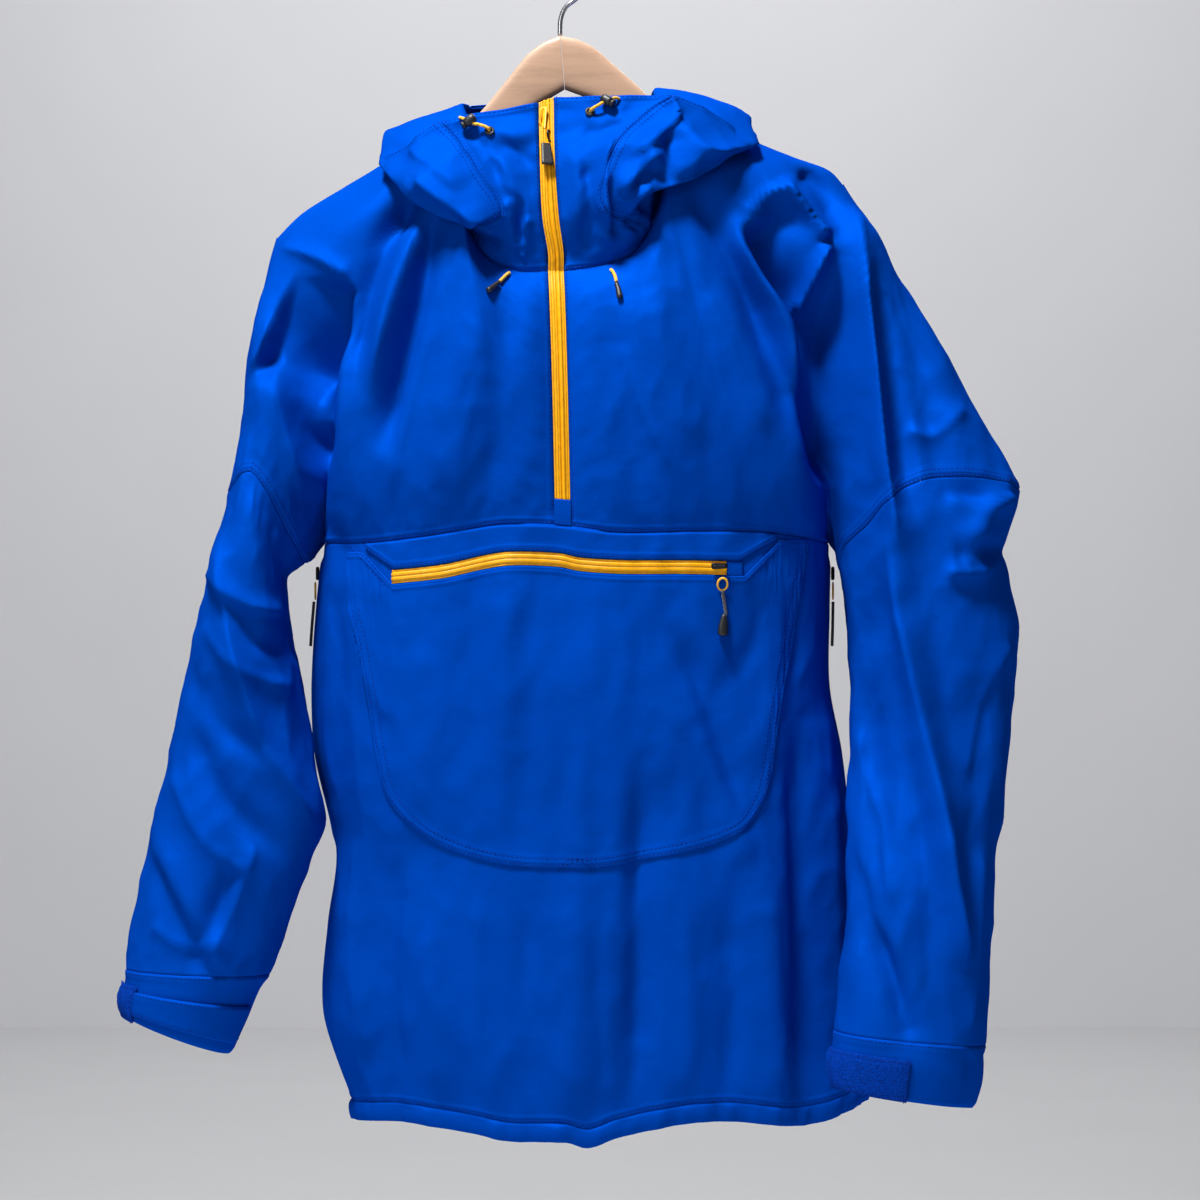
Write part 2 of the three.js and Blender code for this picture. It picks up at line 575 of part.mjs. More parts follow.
const UPPER_ROWS = 5;
const LOWER_ROWS = 11;
const sleeves = {
  right: sleeveGrids('right', UPPER_ROWS, LOWER_ROWS),
  left: sleeveGrids('left', UPPER_ROWS, LOWER_ROWS),
};

// Cuffs: plain over the tab, gathered on elastic round the rest
function cuffGrid(side) {
  const above = sleeves[side].lower[LOWER_ROWS];
  return [above, ...cuffRings[side].map((ring) => ringPoints(ring).map((p, k) => {
    const gathered = k > YOKE_ROWS || (side === 'left' && k > 8);
    const out = v3(p.x - (ring.outX + ring.inX) / 2, p.y - ring.mid, 0);
    return p.add(out.setLength(gathered ? (k % 2 ? 1.6 : -1.2) : 0));
  }))];
}
const cuffs = { right: cuffGrid('right'), left: cuffGrid('left') };
for (const side of ['right', 'left']) {
  share(sleeves[side].upper, true);
  share(sleeves[side].lower, true);
}

// Collar and hood. Columns run along the neck seam from the zip's right edge round the back
// to its left edge. From the seam the cloth stands up, leans out, turns up again at the
// keel and ends at the rim, past the belly of its outer layer. Stand is counted from the seam
const hoodStations = [
  { at: 0, stand: [0, -2, 12], keel: [-12, -66, -200], belly: [-14, -60, -156], rim: [-15, -46, -114] },
  { at: 2, stand: [-3, -8, 14], keel: [-42, -76, -198], belly: [-62, -72, -158], rim: [-84, -52, -124] },
  { at: 3.3, stand: [5, -20, 12], keel: [-66, -84, -206], belly: [-94, -76, -172], rim: [-108, -48, -138] },
  { at: 4.8, stand: [9, -26, 12], keel: [-100, -66, -180], belly: [-124, -46, -162], rim: [-128, -26, -148] },
  { at: 6.5, stand: [3, -8, 20], keel: [-110, -8, -120], belly: [-124, 4, -126], rim: [-114, 14, -118] },
  { at: 9, stand: [-8, 10, 14], keel: [-92, 92, -230], belly: [-116, 108, -196], rim: [-92, 96, -130] },
  { at: 12, stand: [0, 14, 14], keel: [0, 98, -306], belly: [0, 138, -244], rim: [0, 122, -130] },
  { at: 15, stand: [8, 10, 14], keel: [96, 92, -222], belly: [120, 108, -186], rim: [96, 96, -122] },
  { at: 17.5, stand: [-3, -8, 20], keel: [120, -8, -106], belly: [136, 0, -116], rim: [124, 12, -108] },
  { at: 19.2, stand: [-9, -26, 12], keel: [106, -64, -160], belly: [132, -46, -146], rim: [140, -24, -138] },
  { at: 20.7, stand: [-5, -20, 12], keel: [68, -84, -180], belly: [88, -76, -148], rim: [104, -46, -114] },
  { at: 22, stand: [3, -8, 14], keel: [30, -76, -192], belly: [38, -72, -150], rim: [76, -50, -108] },
  { at: 24, stand: [0, -2, 12], keel: [0, -66, -198], belly: [-3, -60, -154], rim: [-4, -46, -110] },
];
const HOOD_SEAMS = [0, 2, 10, 14, 22, 24];
const hoodRoutes = ['stand', 'keel', 'belly', 'rim'].map((name) => hoodStations.map((row) => ({
  at: row.at, x: row[name][0], y: row[name][1], z: row[name][2],
})));
const neckLoop = [
  ...samples(necks.right, half).reverse(),
  ...samples(necks.back, SIDE_COLUMNS).reverse().slice(1),
  ...samples(necks.left, half).slice(1),
];
const hoodGrid = steps(HOOD_ROWS).map((down) => neckLoop.map((neck, column) => {
  const [stand, keel, belly, rim] = hoodRoutes.map((rows) => (
    v3(lookup(rows, 'x', column), lookup(rows, 'y', column), lookup(rows, 'z', column))));
  stand.add(neck);
  const profile = new THREE.CatmullRomCurve3([rim, belly, keel, stand, neck], false, 'centripetal');
  return profile.getPoint(down);
}).reverse());
share(hoodGrid);

// Shell pieces
add('yoke_front_r', wall(yokeRight, { inset: 0.25 }), 'shell');
add('yoke_front_l', wall(yokeLeft, { inset: 0.25 }), 'shell');
add('yoke_back', wall(yokeBack, { inset: 0.32 }), 'shell');
add('front_lower', wall(lowerFront), 'shell');
add('back_lower', wall(lowerBack), 'shell');
add('hem_front', wall(hemFrontGrid, { thick: 2.2 }), 'shell');
add('hem_back', wall(hemBackGrid, { thick: 2.2 }), 'shell');
for (const [side, tag] of [['right', 'r'], ['left', 'l']]) {
  add(`sleeve_upper_${tag}`, wall(sleeves[side].upper, { closed: true, inset: 0.4 }), 'shell');
  add(`sleeve_lower_${tag}`, wall(sleeves[side].lower, { closed: true, inset: 0.4 }), 'shell');
  add(`cuff_${tag}`, wall(cuffs[side], { closed: true, thick: 2 }), 'shell');
}
const hoodNames = ['collar_l', 'hood_side_l', 'hood_centre', 'hood_side_r', 'collar_r'];
hoodNames.forEach((name, i) => {
  const part = hoodGrid.map((row) => row.slice(HOOD_SEAMS[i], HOOD_SEAMS[i + 1] + 1));
  add(name, wall(part, { inset: 0.45 }), 'shell');
});

// Seats: the point and the outward direction where a straight line from the front or back
// meets the outside of a piece
const ray = new THREE.Raycaster();
function seat(mesh, x, z, from = -1) {
  ray.set(v3(x, from * 600, z), v3(0, -from, 0));
  const hit = ray.intersectObject(mesh)[0];
  if (!hit) throw new Error(`nothing of ${mesh.name} at ${x}, ${z}`);
  return { point: hit.point, normal: hit.face.normal.clone().normalize() };
}

// Puts a flat piece, made with its face towards -Y, on a seat
function lay(name, geometry, finish, at, clearance, spin = 0) {
  const mesh = add(name, geometry, finish);
  const turn = new THREE.Quaternion().setFromUnitVectors(v3(0, -1, 0), at.normal);
  mesh.quaternion.copy(turn.multiply(new THREE.Quaternion().setFromAxisAngle(v3(0, 1, 0), spin)));
  mesh.position.copy(at.point).addScaledVector(at.normal, clearance);
  mesh.updateMatrixWorld(true);
  return mesh;
}

// Cuts a piece out of a wall by an outline in x and z that runs right through it in depth
function cutOut(geometry, outline) {
  const prism = plate(outline, CUT_DEPTH, 0);
  prism.translate(0, -CUT_DEPTH / 2 - 2, 0);
  const result = solidOf(geometry).intersect(solidOf(prism)).getMesh();
  const cut = new THREE.BufferGeometry();
  cut.setAttribute('position', new THREE.Float32BufferAttribute(result.vertProperties, 3));
  cut.setIndex([...result.triVerts]);
  return cut;
}

function solidOf(geometry) {
  return new wasm.Manifold(new wasm.Mesh({
    numProp: 3,
    vertProperties: Float32Array.from(geometry.getAttribute('position').array),
    triVerts: Uint32Array.from(geometry.getIndex().array),
  }));
}

const alongX = (rows, count, from, to, shift) => steps(count).map((t) => {
  const x = lerp(from, to, t);
  return [x, lookup(rows, 'z', x) + shift];
});

// Kangaroo pocket on the lower front, under a slanting zip
const pocketZip = [
  { at: -119, z: -455 }, { at: -82, z: -451 }, { at: -55, z: -445 }, { at: -34, z: -442 },
  { at: 0, z: -443 }, { at: 15, z: -446 }, { at: 45, z: -448 }, { at: 88, z: -448 }, { at: 132, z: -449 },
];
const POCKET_ZIP_HALF = 4.8;
const POCKET_ZIP_ENDS = [-119, 119];
const WELT_END = 131;
const edgeShift = POCKET_ZIP_HALF + 2 * SEAM_GAP;
const pocketSides = {
  right: [[-152, -466], [-145, -500], [-137, -542], [-131, -580], [-124, -608], [-117, -620],
    [-103, -634], [-86, -645], [-61, -654], [-30, -660]],
  left: [[0, -661], [26, -661], [52, -657], [94, -649], [115, -643], [132, -634], [144, -618],
    [151, -596], [155, -567], [161, -531], [167, -502], [170, -480], [175, -452], [178, -434]],
};
const pocketOutline = [
  [-150, -437], ...pocketSides.right, ...pocketSides.left, [158, -428], [WELT_END + 1, -449 - edgeShift],
  ...alongX(pocketZip, 12, WELT_END - 2, -119, -edgeShift), [-141, -436],
];
const bandOutline = [
  [-138, -400], [-138, -435], ...alongX(pocketZip, 12, -117, WELT_END - 3, edgeShift),
  [155, -428], [155, -400],
];
const outside = wall(lowerFront, { lift: LAID_ON + PATCH, thick: PATCH, inset: 0.5 });
add('pocket_panel', cutOut(outside, pocketOutline), 'shell');
add('pocket_band', cutOut(outside, bandOutline), 'shell');
const zipOutline = (from, to) => [
  ...alongX(pocketZip, 14, from, to, POCKET_ZIP_HALF),
  ...alongX(pocketZip, 14, to, from, -POCKET_ZIP_HALF),
];
const pocketTape = add('pocket_zip_tape', cutOut(outside, zipOutline(...POCKET_ZIP_ENDS)), 'zip');
add('pocket_zip_end', cutOut(outside, zipOutline(POCKET_ZIP_ENDS[1] + SEAM_GAP, WELT_END)), 'shell');

// Front zip tape, in its slot from the rim of the collar down to the garage loop
const ZIP_ROWS = 11;
const ZIP_SHOWN = 0.9; // part of the yoke's slot that shows tape above the garage loop
const slotEdge = (column, edge, from, to, rows) => [
  ...(from === 0 ? hoodGrid.map((row) => row[column]).slice(0, -1) : []),
  ...steps(rows).map((t) => edge(lerp(from, to, t))),
];
function slotGrid(from, to, rows) {
  const left = slotEdge(0, zipSlot.left, from, to, rows);
  const right = slotEdge(neckLoop.length - 1, zipSlot.right, from, to, rows);
  return right.map((p, i) => [p, p.clone().lerp(left[i], 0.5).add(v3(0, -0.5, 0)), left[i]]);
}
const frontTape = add('front_zip_tape', wall(slotGrid(0, ZIP_SHOWN, ZIP_ROWS)), 'zip');
add('zip_garage', wall(slotGrid(ZIP_SHOWN, 1, 2), { lift: 0.6, thick: 1.8, inset: 0.3 }), 'shell');

const sliderShape = (length) => plate(roundedOutline(7.5, length, 2.2), 3.6, 0.8);
const SLIDER_AT = [-9, -126];
lay('front_zip_slider', sliderShape(17), 'black', seat(frontTape, ...SLIDER_AT), 2.3);
const linkShape = new THREE.TorusGeometry(2.7, 0.75, 6, 12).scale(1, 1.5, 1).rotateX(Math.PI / 2);
const PULL_LINK_AT = [-9.2, -139.3];
const PULL_TAB_AT = [-9.4, -153.7];
lay('front_pull_link', sealed(linkShape), 'metal', seat(frontTape, ...PULL_LINK_AT), 2.4);
lay('front_pull_tab', plate(roundedOutline(8.8, 18.5, 2.4), 2.6, 0.7), 'black',
  seat(frontTape, ...PULL_TAB_AT), 2.6);

// Pocket zip's slider and its pull: wire ring, doubled cord and moulded grip
const pocketSlider = seat(pocketTape, 114, -448.5);
lay('pocket_zip_slider', sliderShape(12), 'black', pocketSlider, 2.3, Math.PI / 2);
const panel = garment.children.find((mesh) => mesh.name === 'pocket_panel');
const ring = new THREE.TorusGeometry(3.6, 0.8, 6, 12).scale(1, 1.35, 1).rotateX(Math.PI / 2);
const PULL_X = 116;
const ringSeat = seat(panel, PULL_X, -458.8);
lay('pocket_pull_ring', sealed(ring), 'zip', ringSeat, 2.6);
const hang = (z, out) => {
  const at = seat(panel, PULL_X, z);
  return at.point.addScaledVector(at.normal, out).toArray();
};
add('pocket_pull_cord', bar([hang(-465, 2.4), hang(-472, 2.2), hang(-481.2, 2.3)], 1.2, 8, 6), 'cord');
lay('pocket_pull_grip', plate(roundedOutline(7.5, 15, 2.5), 3.2, 0.8), 'black', seat(panel, PULL_X, -489.2), 2.7);

// Pit zips on the side seams, under the arms
const PIT_CORD = [[0, -472.6], [0.4, -480], [-0.6, -492], [0, -505]];
const PIT_ZIP = { top: -446, bottom: -640, halfWidth: 5, rows: 10 };
for (const [side, tag, angle] of [['right', 'r', 0], ['left', 'l', Math.PI]]) {
  const sign = side === 'right' ? -1 : 1;
  const edgeX = (z) => torsoPoint(angle, z).x;
  const grid = steps(PIT_ZIP.rows).map((t) => {
    const z = lerp(PIT_ZIP.top, PIT_ZIP.bottom, t);
    const across = [-1, 0, 1].map((k) => v3(edgeX(z) - sign * 0.35 * k * k, k * PIT_ZIP.halfWidth, z));
    return side === 'right' ? across.reverse() : across;
  });
  add(`pit_zip_${tag}`, wall(grid, { lift: 2.1, thick: 1 }), 'zip');
  const slider = plate(roundedOutline(6.5, 10, 1.8), 2.6, 0.6).rotateZ(sign * Math.PI / 2);
  slider.translate(edgeX(-452) + sign * 4, 0, -452);
  add(`pit_slider_${tag}`, slider, 'black');
  const loop = new THREE.TorusGeometry(3.2, 0.6, 6, 12).scale(1, 1.9, 1).rotateX(Math.PI / 2);
  loop.rotateZ(Math.PI / 2).translate(edgeX(-464) + sign * 4, 0, -464.8);
  add(`pit_pull_ring_${tag}`, sealed(loop), 'zip');
  const cordPath = PIT_CORD.map(([y, z]) => [edgeX(z) + sign * 4.2, y, z]);
  add(`pit_pull_cord_${tag}`, bar(cordPath, 1.1, 8, 8), 'cord');
}

// Cuff patches and tabs, made from the cuff's own points
function cuffPart(side, columns, low, high) {
  const grid = cuffs[side];
  const last = grid.length - 1;
  const count = 2 * YOKE_ROWS;
  const rowAt = (t) => columns.map((k) => stackPoint(grid, (k + count) % count, t * last));
  return steps(2).map((t) => rowAt(lerp(low, high, t)));
}
const range = (from, to) => Array.from({ length: to - from + 1 }, (_, i) => from + i);
const laidOn = { lift: 2.2, thick: 1.4, inset: 0.3 };
const CUFF_TOP = 1 / 3; // first ring below the sleeve, as a part of the cuff's rows
add('cuff_patch_r', wall(cuffPart('right', range(0, 4), CUFF_TOP, 1), laidOn), 'fuzz');
add('cuff_tab_r', wall(cuffPart('right', range(4, 12), 0.42, 0.86), laidOn), 'shell');
add('cuff_patch_l', wall(cuffPart('left', range(0, 7), CUFF_TOP, 1), laidOn), 'fuzz');
add('cuff_tab_l', wall(cuffPart('left', range(-8, 0), 0.42, 0.86), laidOn), 'shell');

// Hood adjusters: an eyelet, a stretch of elastic cord and its lock on each side
const meshOf = (name) => garment.children.find((mesh) => mesh.name === name);
function adjuster(tag, mesh, eyelet, lock) {
  const eye = seat(mesh, ...eyelet);
  const end = seat(mesh, ...lock);
  const outOf = (at, out) => at.point.clone().addScaledVector(at.normal, out);
  lay(`hood_eyelet_${tag}`, sealed(new THREE.TorusGeometry(2.9, 0.9, 6, 12).rotateX(Math.PI / 2)), 'black', eye, 1.3);
  const lockBody = new THREE.CapsuleGeometry(3.6, 4.5, 3, 10).rotateZ(0.9);
  lay(`hood_lock_${tag}`, sealed(lockBody), 'black', end, 5.2);
  const start = outOf(eye, 4.4);
  const stop = outOf(end, 5.2);
  const along = stop.clone().sub(start).normalize();
  const from = start.clone().addScaledVector(along, -2.5);
  const to = stop.clone().addScaledVector(along, -5.6);
  const middle = from.clone().lerp(to, 0.5).add(v3(0, -0.8, 0.6));
  add(`hood_cord_${tag}`, bar([from.toArray(), middle.toArray(), to.toArray()], 1.15, 8, 5), 'zip');
}
adjuster('r', meshOf('collar_r'), [-50, -136], [-64, -129]);
adjuster('l', meshOf('collar_l'), [22, -122], [36, -116]);

// Neck drawcord ends beside the zip
function cordEnd(tag, mesh, places) {
  const points = places.map(([x, z, out]) => {
    const at = seat(mesh, x, z);
    return at.point.addScaledVector(at.normal, out).toArray();
  });
  add(`neck_cord_${tag}`, bar(points.slice(0, 3), 1.2, 8, 5), 'zip');
  add(`neck_cord_end_${tag}`, bar(points.slice(3), 1.5, 8, 4), 'black');
}
cordEnd('r', meshOf('yoke_front_r'),
  [[-37, -240, 2], [-40, -243, 2.2], [-43, -246, 2.4], [-43.8, -246.8, 2.4], [-52, -253, 2.6]]);
cordEnd('l', meshOf('yoke_front_l'),
  [[38, -238, 2], [40, -242, 2.2], [41, -246, 2.4], [41.3, -247.2, 2.4], [44, -258, 2.6]]);

// Hanger: two wooden arms that meet under the hook, all leaning by the tilt. Each edge has a
// height for every reach, and each arm lies just under its own shoulder
const armTop = [
  { at: 0.15, r: -60, l: -60 }, { at: 10, r: -62, l: -62 }, { at: 24, r: -70, l: -70 },
  { at: 38, r: -85, l: -85 }, { at: 57, r: -105, l: -105 }, { at: 75, r: -121, l: -130 },
  { at: 92, r: -122, l: -132 }, { at: 103, r: -126.6, l: -136.3 }, { at: 131, r: -142.8, l: -151.8 },
  { at: 150, r: -153, l: -161.7 }, { at: 170, r: -162.8, l: -171 }, { at: 186, r: -171, l: -183 },
  { at: 191, r: -177, l: -190 },
];
const armBottom = [
  { at: 190, r: -184, l: -194 }, { at: 184, r: -190, l: -199 }, { at: 149, r: -178, l: -188 },
  { at: 102, r: -154, l: -165 }, { at: 57, r: -133, l: -133 }, { at: 38, r: -119, l: -119 },
  { at: 20, r: -107, l: -107 }, { at: 8, r: -101, l: -101 }, { at: 0.15, r: -92, l: -92 },
];
function hangerArm(tag, sign) {
  const outline = [...armTop, ...armBottom].map((row) => [sign * row.at, row[tag]]);
  const mesh = add(`hanger_arm_${tag}`, plate(outline, WOOD_THICK, 1.8), 'wood');
  const tilt = new THREE.Quaternion().setFromAxisAngle(v3(0, 1, 0), -HANGER_TILT);
  mesh.quaternion.copy(tilt);
  mesh.position.copy(v3(0, 0, HANGER_TOP).sub(v3(0, 0, HANGER_TOP).applyQuaternion(tilt)));
  mesh.updateMatrixWorld(true);
}
hangerArm('r', -1);
hangerArm('l', 1);
const ringRadius = HOOK_INNER_RADIUS + HOOK_WIRE / 2;
const hookRound = steps(12).map((t) => {
  const angle = -0.12 + t * (Math.PI + 0.75);
  return [ringRadius * Math.cos(angle), 0, ringRadius * Math.sin(angle) - HOOK_INNER_RADIUS];
});
const hookStem = [[0, 0, HANGER_TOP + 0.5], [0, 0, -54], [0.6, 0, -47], [4, 0, -39], [12, 0, -32.5]];
add('hanger_hook', bar([...hookStem, ...hookRound], HOOK_WIRE / 2, 10, 26), 'metal');

export default garment;
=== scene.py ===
"""A waterproof shell pullover on a wooden hanger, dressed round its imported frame.

Tables and sizes are in millimetres, as a pattern cutter writes them, and meshes are made in
metres, in the frame's own place. +Z is up and the wearer's front faces -Y. Names ending in _r
are on the wearer's right, at -X, and those ending in _l on the wearer's left, at +X.
"""
import json
import logging
import math
from dataclasses import dataclass, field
from enum import Enum
from typing import NamedTuple, Sequence

import bmesh
import bpy
import numpy as np
from mathutils import Vector, noise
from mathutils.bvhtree import BVHTree
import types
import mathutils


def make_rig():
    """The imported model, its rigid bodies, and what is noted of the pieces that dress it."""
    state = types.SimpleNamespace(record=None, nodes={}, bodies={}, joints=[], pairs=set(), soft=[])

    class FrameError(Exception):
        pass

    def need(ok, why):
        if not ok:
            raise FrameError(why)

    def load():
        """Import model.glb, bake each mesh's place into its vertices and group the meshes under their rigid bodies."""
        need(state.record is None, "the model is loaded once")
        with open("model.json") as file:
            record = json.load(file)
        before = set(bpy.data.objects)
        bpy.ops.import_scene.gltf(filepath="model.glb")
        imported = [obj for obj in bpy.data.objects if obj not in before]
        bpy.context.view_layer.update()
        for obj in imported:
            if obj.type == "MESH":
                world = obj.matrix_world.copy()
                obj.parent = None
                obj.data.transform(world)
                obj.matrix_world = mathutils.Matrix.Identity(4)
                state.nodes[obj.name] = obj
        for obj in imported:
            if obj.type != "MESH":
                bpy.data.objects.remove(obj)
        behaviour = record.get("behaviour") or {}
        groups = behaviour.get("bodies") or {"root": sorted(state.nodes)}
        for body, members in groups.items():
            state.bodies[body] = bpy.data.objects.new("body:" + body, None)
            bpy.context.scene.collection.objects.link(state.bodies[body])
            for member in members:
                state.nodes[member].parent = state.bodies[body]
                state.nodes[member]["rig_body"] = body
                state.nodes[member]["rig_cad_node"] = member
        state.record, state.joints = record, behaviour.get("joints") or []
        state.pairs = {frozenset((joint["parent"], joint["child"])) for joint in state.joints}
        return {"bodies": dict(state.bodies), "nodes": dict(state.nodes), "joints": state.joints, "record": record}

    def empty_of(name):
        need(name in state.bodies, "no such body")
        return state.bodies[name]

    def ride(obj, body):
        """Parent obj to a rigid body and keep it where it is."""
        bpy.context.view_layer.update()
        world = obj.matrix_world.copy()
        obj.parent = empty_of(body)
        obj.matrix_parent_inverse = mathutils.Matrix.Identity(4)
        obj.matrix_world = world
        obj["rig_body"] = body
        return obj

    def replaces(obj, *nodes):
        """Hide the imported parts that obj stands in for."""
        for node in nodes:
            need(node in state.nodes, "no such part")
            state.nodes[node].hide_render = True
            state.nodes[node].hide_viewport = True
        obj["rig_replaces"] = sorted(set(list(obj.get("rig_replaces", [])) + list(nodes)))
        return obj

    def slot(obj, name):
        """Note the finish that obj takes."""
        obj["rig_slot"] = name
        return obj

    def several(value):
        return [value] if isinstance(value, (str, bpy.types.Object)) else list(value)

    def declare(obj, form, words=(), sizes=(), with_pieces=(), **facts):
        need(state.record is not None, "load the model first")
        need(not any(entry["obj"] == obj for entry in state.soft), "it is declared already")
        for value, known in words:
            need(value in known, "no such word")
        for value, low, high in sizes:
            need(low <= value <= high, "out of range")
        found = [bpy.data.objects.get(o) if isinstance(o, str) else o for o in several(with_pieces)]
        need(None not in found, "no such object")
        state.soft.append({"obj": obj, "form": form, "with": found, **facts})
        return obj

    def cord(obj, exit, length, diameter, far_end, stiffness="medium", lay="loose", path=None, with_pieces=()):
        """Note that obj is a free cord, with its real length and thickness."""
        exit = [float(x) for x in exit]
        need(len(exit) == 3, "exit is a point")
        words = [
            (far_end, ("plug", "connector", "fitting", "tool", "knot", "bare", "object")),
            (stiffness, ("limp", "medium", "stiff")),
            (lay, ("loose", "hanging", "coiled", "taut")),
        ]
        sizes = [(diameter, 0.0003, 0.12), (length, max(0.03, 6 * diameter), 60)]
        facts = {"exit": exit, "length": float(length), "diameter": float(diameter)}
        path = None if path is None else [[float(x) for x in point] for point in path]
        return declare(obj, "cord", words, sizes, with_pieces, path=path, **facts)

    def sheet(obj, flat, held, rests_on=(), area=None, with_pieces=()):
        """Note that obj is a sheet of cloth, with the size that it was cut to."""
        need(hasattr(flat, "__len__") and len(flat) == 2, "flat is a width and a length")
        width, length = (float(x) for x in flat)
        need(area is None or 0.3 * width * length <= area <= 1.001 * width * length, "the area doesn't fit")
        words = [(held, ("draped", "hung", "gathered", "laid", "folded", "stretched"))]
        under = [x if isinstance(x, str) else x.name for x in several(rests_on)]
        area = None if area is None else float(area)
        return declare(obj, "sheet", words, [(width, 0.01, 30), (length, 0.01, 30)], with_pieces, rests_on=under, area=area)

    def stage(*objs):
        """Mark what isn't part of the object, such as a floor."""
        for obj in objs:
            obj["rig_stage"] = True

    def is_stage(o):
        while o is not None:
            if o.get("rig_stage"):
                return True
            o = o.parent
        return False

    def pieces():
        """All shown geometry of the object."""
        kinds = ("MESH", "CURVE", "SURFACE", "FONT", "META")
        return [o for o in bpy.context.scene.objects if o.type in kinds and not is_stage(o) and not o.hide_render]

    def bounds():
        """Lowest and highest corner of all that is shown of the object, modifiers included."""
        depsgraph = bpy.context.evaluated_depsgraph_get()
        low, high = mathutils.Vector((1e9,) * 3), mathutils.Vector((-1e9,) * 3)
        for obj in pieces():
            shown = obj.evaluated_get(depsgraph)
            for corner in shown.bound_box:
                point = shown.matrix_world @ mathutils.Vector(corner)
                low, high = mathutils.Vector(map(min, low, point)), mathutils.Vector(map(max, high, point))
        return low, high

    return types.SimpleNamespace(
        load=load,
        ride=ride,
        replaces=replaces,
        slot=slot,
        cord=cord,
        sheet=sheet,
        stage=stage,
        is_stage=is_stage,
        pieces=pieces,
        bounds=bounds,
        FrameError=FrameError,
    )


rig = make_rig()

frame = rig.load()
cad_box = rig.bounds()

Array = np.ndarray
Point = tuple[float, float, float]
Place = tuple[float, float]
Piece = bpy.types.Object
Socket = bpy.types.NodeSocket

MM = 0.001                # metres in a millimetre
BODY = "garment"          # the body that all the cloth rides on
CELL = 3.0                # size of a cell of the cloth's mesh on the front
CELL_SLEEVE = 3.5         # down the sleeves
CELL_BACK = 4.8           # and on the back
WALL = 0.9                # cloth as it is modelled here
FRONT = -1.0              # direction of the wearer's front along Y
CAMERA_AWAY = 3000.0      # distance of the camera from the hanger's plane
CAMERA_X = 29.2
CAMERA_Z = -471.4
PIT_TOP = -446.0          # ends of the zips under the arms
PIT_BOTTOM = -640.0

log = logging.getLogger("pullover")


def smooth(t: Array | float, low: float = 0.0, high: float = 1.0) -> Array:
    """Returns 0 below low, 1 above high and a soft rise between them."""
    s = np.clip((np.asarray(t, float) - low) / (high - low), 0.0, 1.0)
    return s * s * (3.0 - 2.0 * s)


def hump(distance: Array, middle: float, width: float) -> Array:
    """Returns a soft bell of height 1 at middle, as wide as width to each side."""
    return np.exp(-(((distance - middle) / width) ** 2))


def unit(vectors: Array) -> Array:
    """Returns the vectors at length 1."""
    return vectors / np.maximum(np.linalg.norm(vectors, axis=-1, keepdims=True), 1e-9)


def lookup(rows: Sequence[NamedTuple], column: str, at: Array | float) -> Array:
    """Reads one column of a table smoothly.

    Args:
        rows: Rows in rising order of their column named at.
        column: The column to read.
        at: Where to read it.

    Returns:
        The column's value at each place, held at its ends outside the table.
    """
    keys = np.array([row.at for row in rows], float)
    values = np.array([getattr(row, column) for row in rows], float)
    count = len(rows)
    before = np.maximum(np.arange(count) - 1, 0)
    after = np.minimum(np.arange(count) + 1, count - 1)
    slopes = (values[after] - values[before]) / (keys[after] - keys[before])
    place = np.clip(np.asarray(at, float), keys[0], keys[-1])
    i = np.clip(np.searchsorted(keys, place) - 1, 0, count - 2)
    span = keys[i + 1] - keys[i]
    t = (place - keys[i]) / span
    level = values[i] + (values[i + 1] - values[i]) * t * t * (3 - 2 * t)
    return level + span * (slopes[i] * t * (1 - t) ** 2 - slopes[i + 1] * t * t * (1 - t))


def curve_through(points: Array, t: Array) -> Array:
    """Reads centripetal curves through several columns of points.

    Args:
        points: Control points, as an array of n by columns by 3.
        t: Places from 0 to 1, as an array of rows by columns.

    Returns:
        The points on the curves, as an array of rows by columns by 3.
    """
    count = len(points)
    ends = (2 * points[:1] - points[1:2], points, 2 * points[-1:] - points[-2:-1])
    padded = np.concatenate(ends)
    gaps = np.maximum(np.linalg.norm(np.diff(padded, axis=0), axis=-1) ** 0.5, 1e-3)
    place = np.clip(t, 0, 1) * (count - 1)
    i = np.minimum(place.astype(int), count - 2)
    w = (place - i)[..., None]
    column = np.arange(points.shape[1])[None, :]
    p0, p1, p2, p3 = (padded[i + k, column] for k in range(4))
    d0, d1, d2 = (gaps[i + k, column][..., None] for k in range(3))
    start = ((p1 - p0) / d0 - (p2 - p0) / (d0 + d1) + (p2 - p1) / d1) * d1
    stop = ((p2 - p1) / d1 - (p3 - p1) / (d1 + d2) + (p3 - p2) / d2) * d1
    cubic = 2 * p1 - 2 * p2 + start + stop
    square = -3 * p1 + 3 * p2 - 2 * start - stop
    return p1 + w * start + w * w * square + w ** 3 * cubic


class Route:
    """A smooth curve through a few points, read from 0 to 1 along its length."""

    def __init__(self, points: Sequence[Sequence[float]], fineness: int = 40) -> None:
        """Prepares the curve.

        Args:
            points: The points that it passes through.
            fineness: How many steps it is measured in between two points.
        """
        columns = np.asarray(points, float)[:, None, :]
        t = np.linspace(0, 1, fineness * (len(points) - 1) + 1)[:, None]
        self.dense = curve_through(columns, t)[:, 0]
        lengths = np.linalg.norm(np.diff(self.dense, axis=0), axis=1)
        self.along = np.concatenate([[0.0], np.cumsum(lengths)])
        self.length = float(self.along[-1])

    def at(self, t: Array | float) -> Array:
        """Returns the points at the shares t of the curve's length."""
        place = np.clip(np.asarray(t, float), 0, 1) * self.length
        return np.stack([np.interp(place, self.along, self.dense[:, k]) for k in range(3)], -1)


class Form(Enum):
    """How the height of a fold falls away from its line."""

    SOFT = "soft"
    SHARP = "sharp"
    TUCK = "tuck"


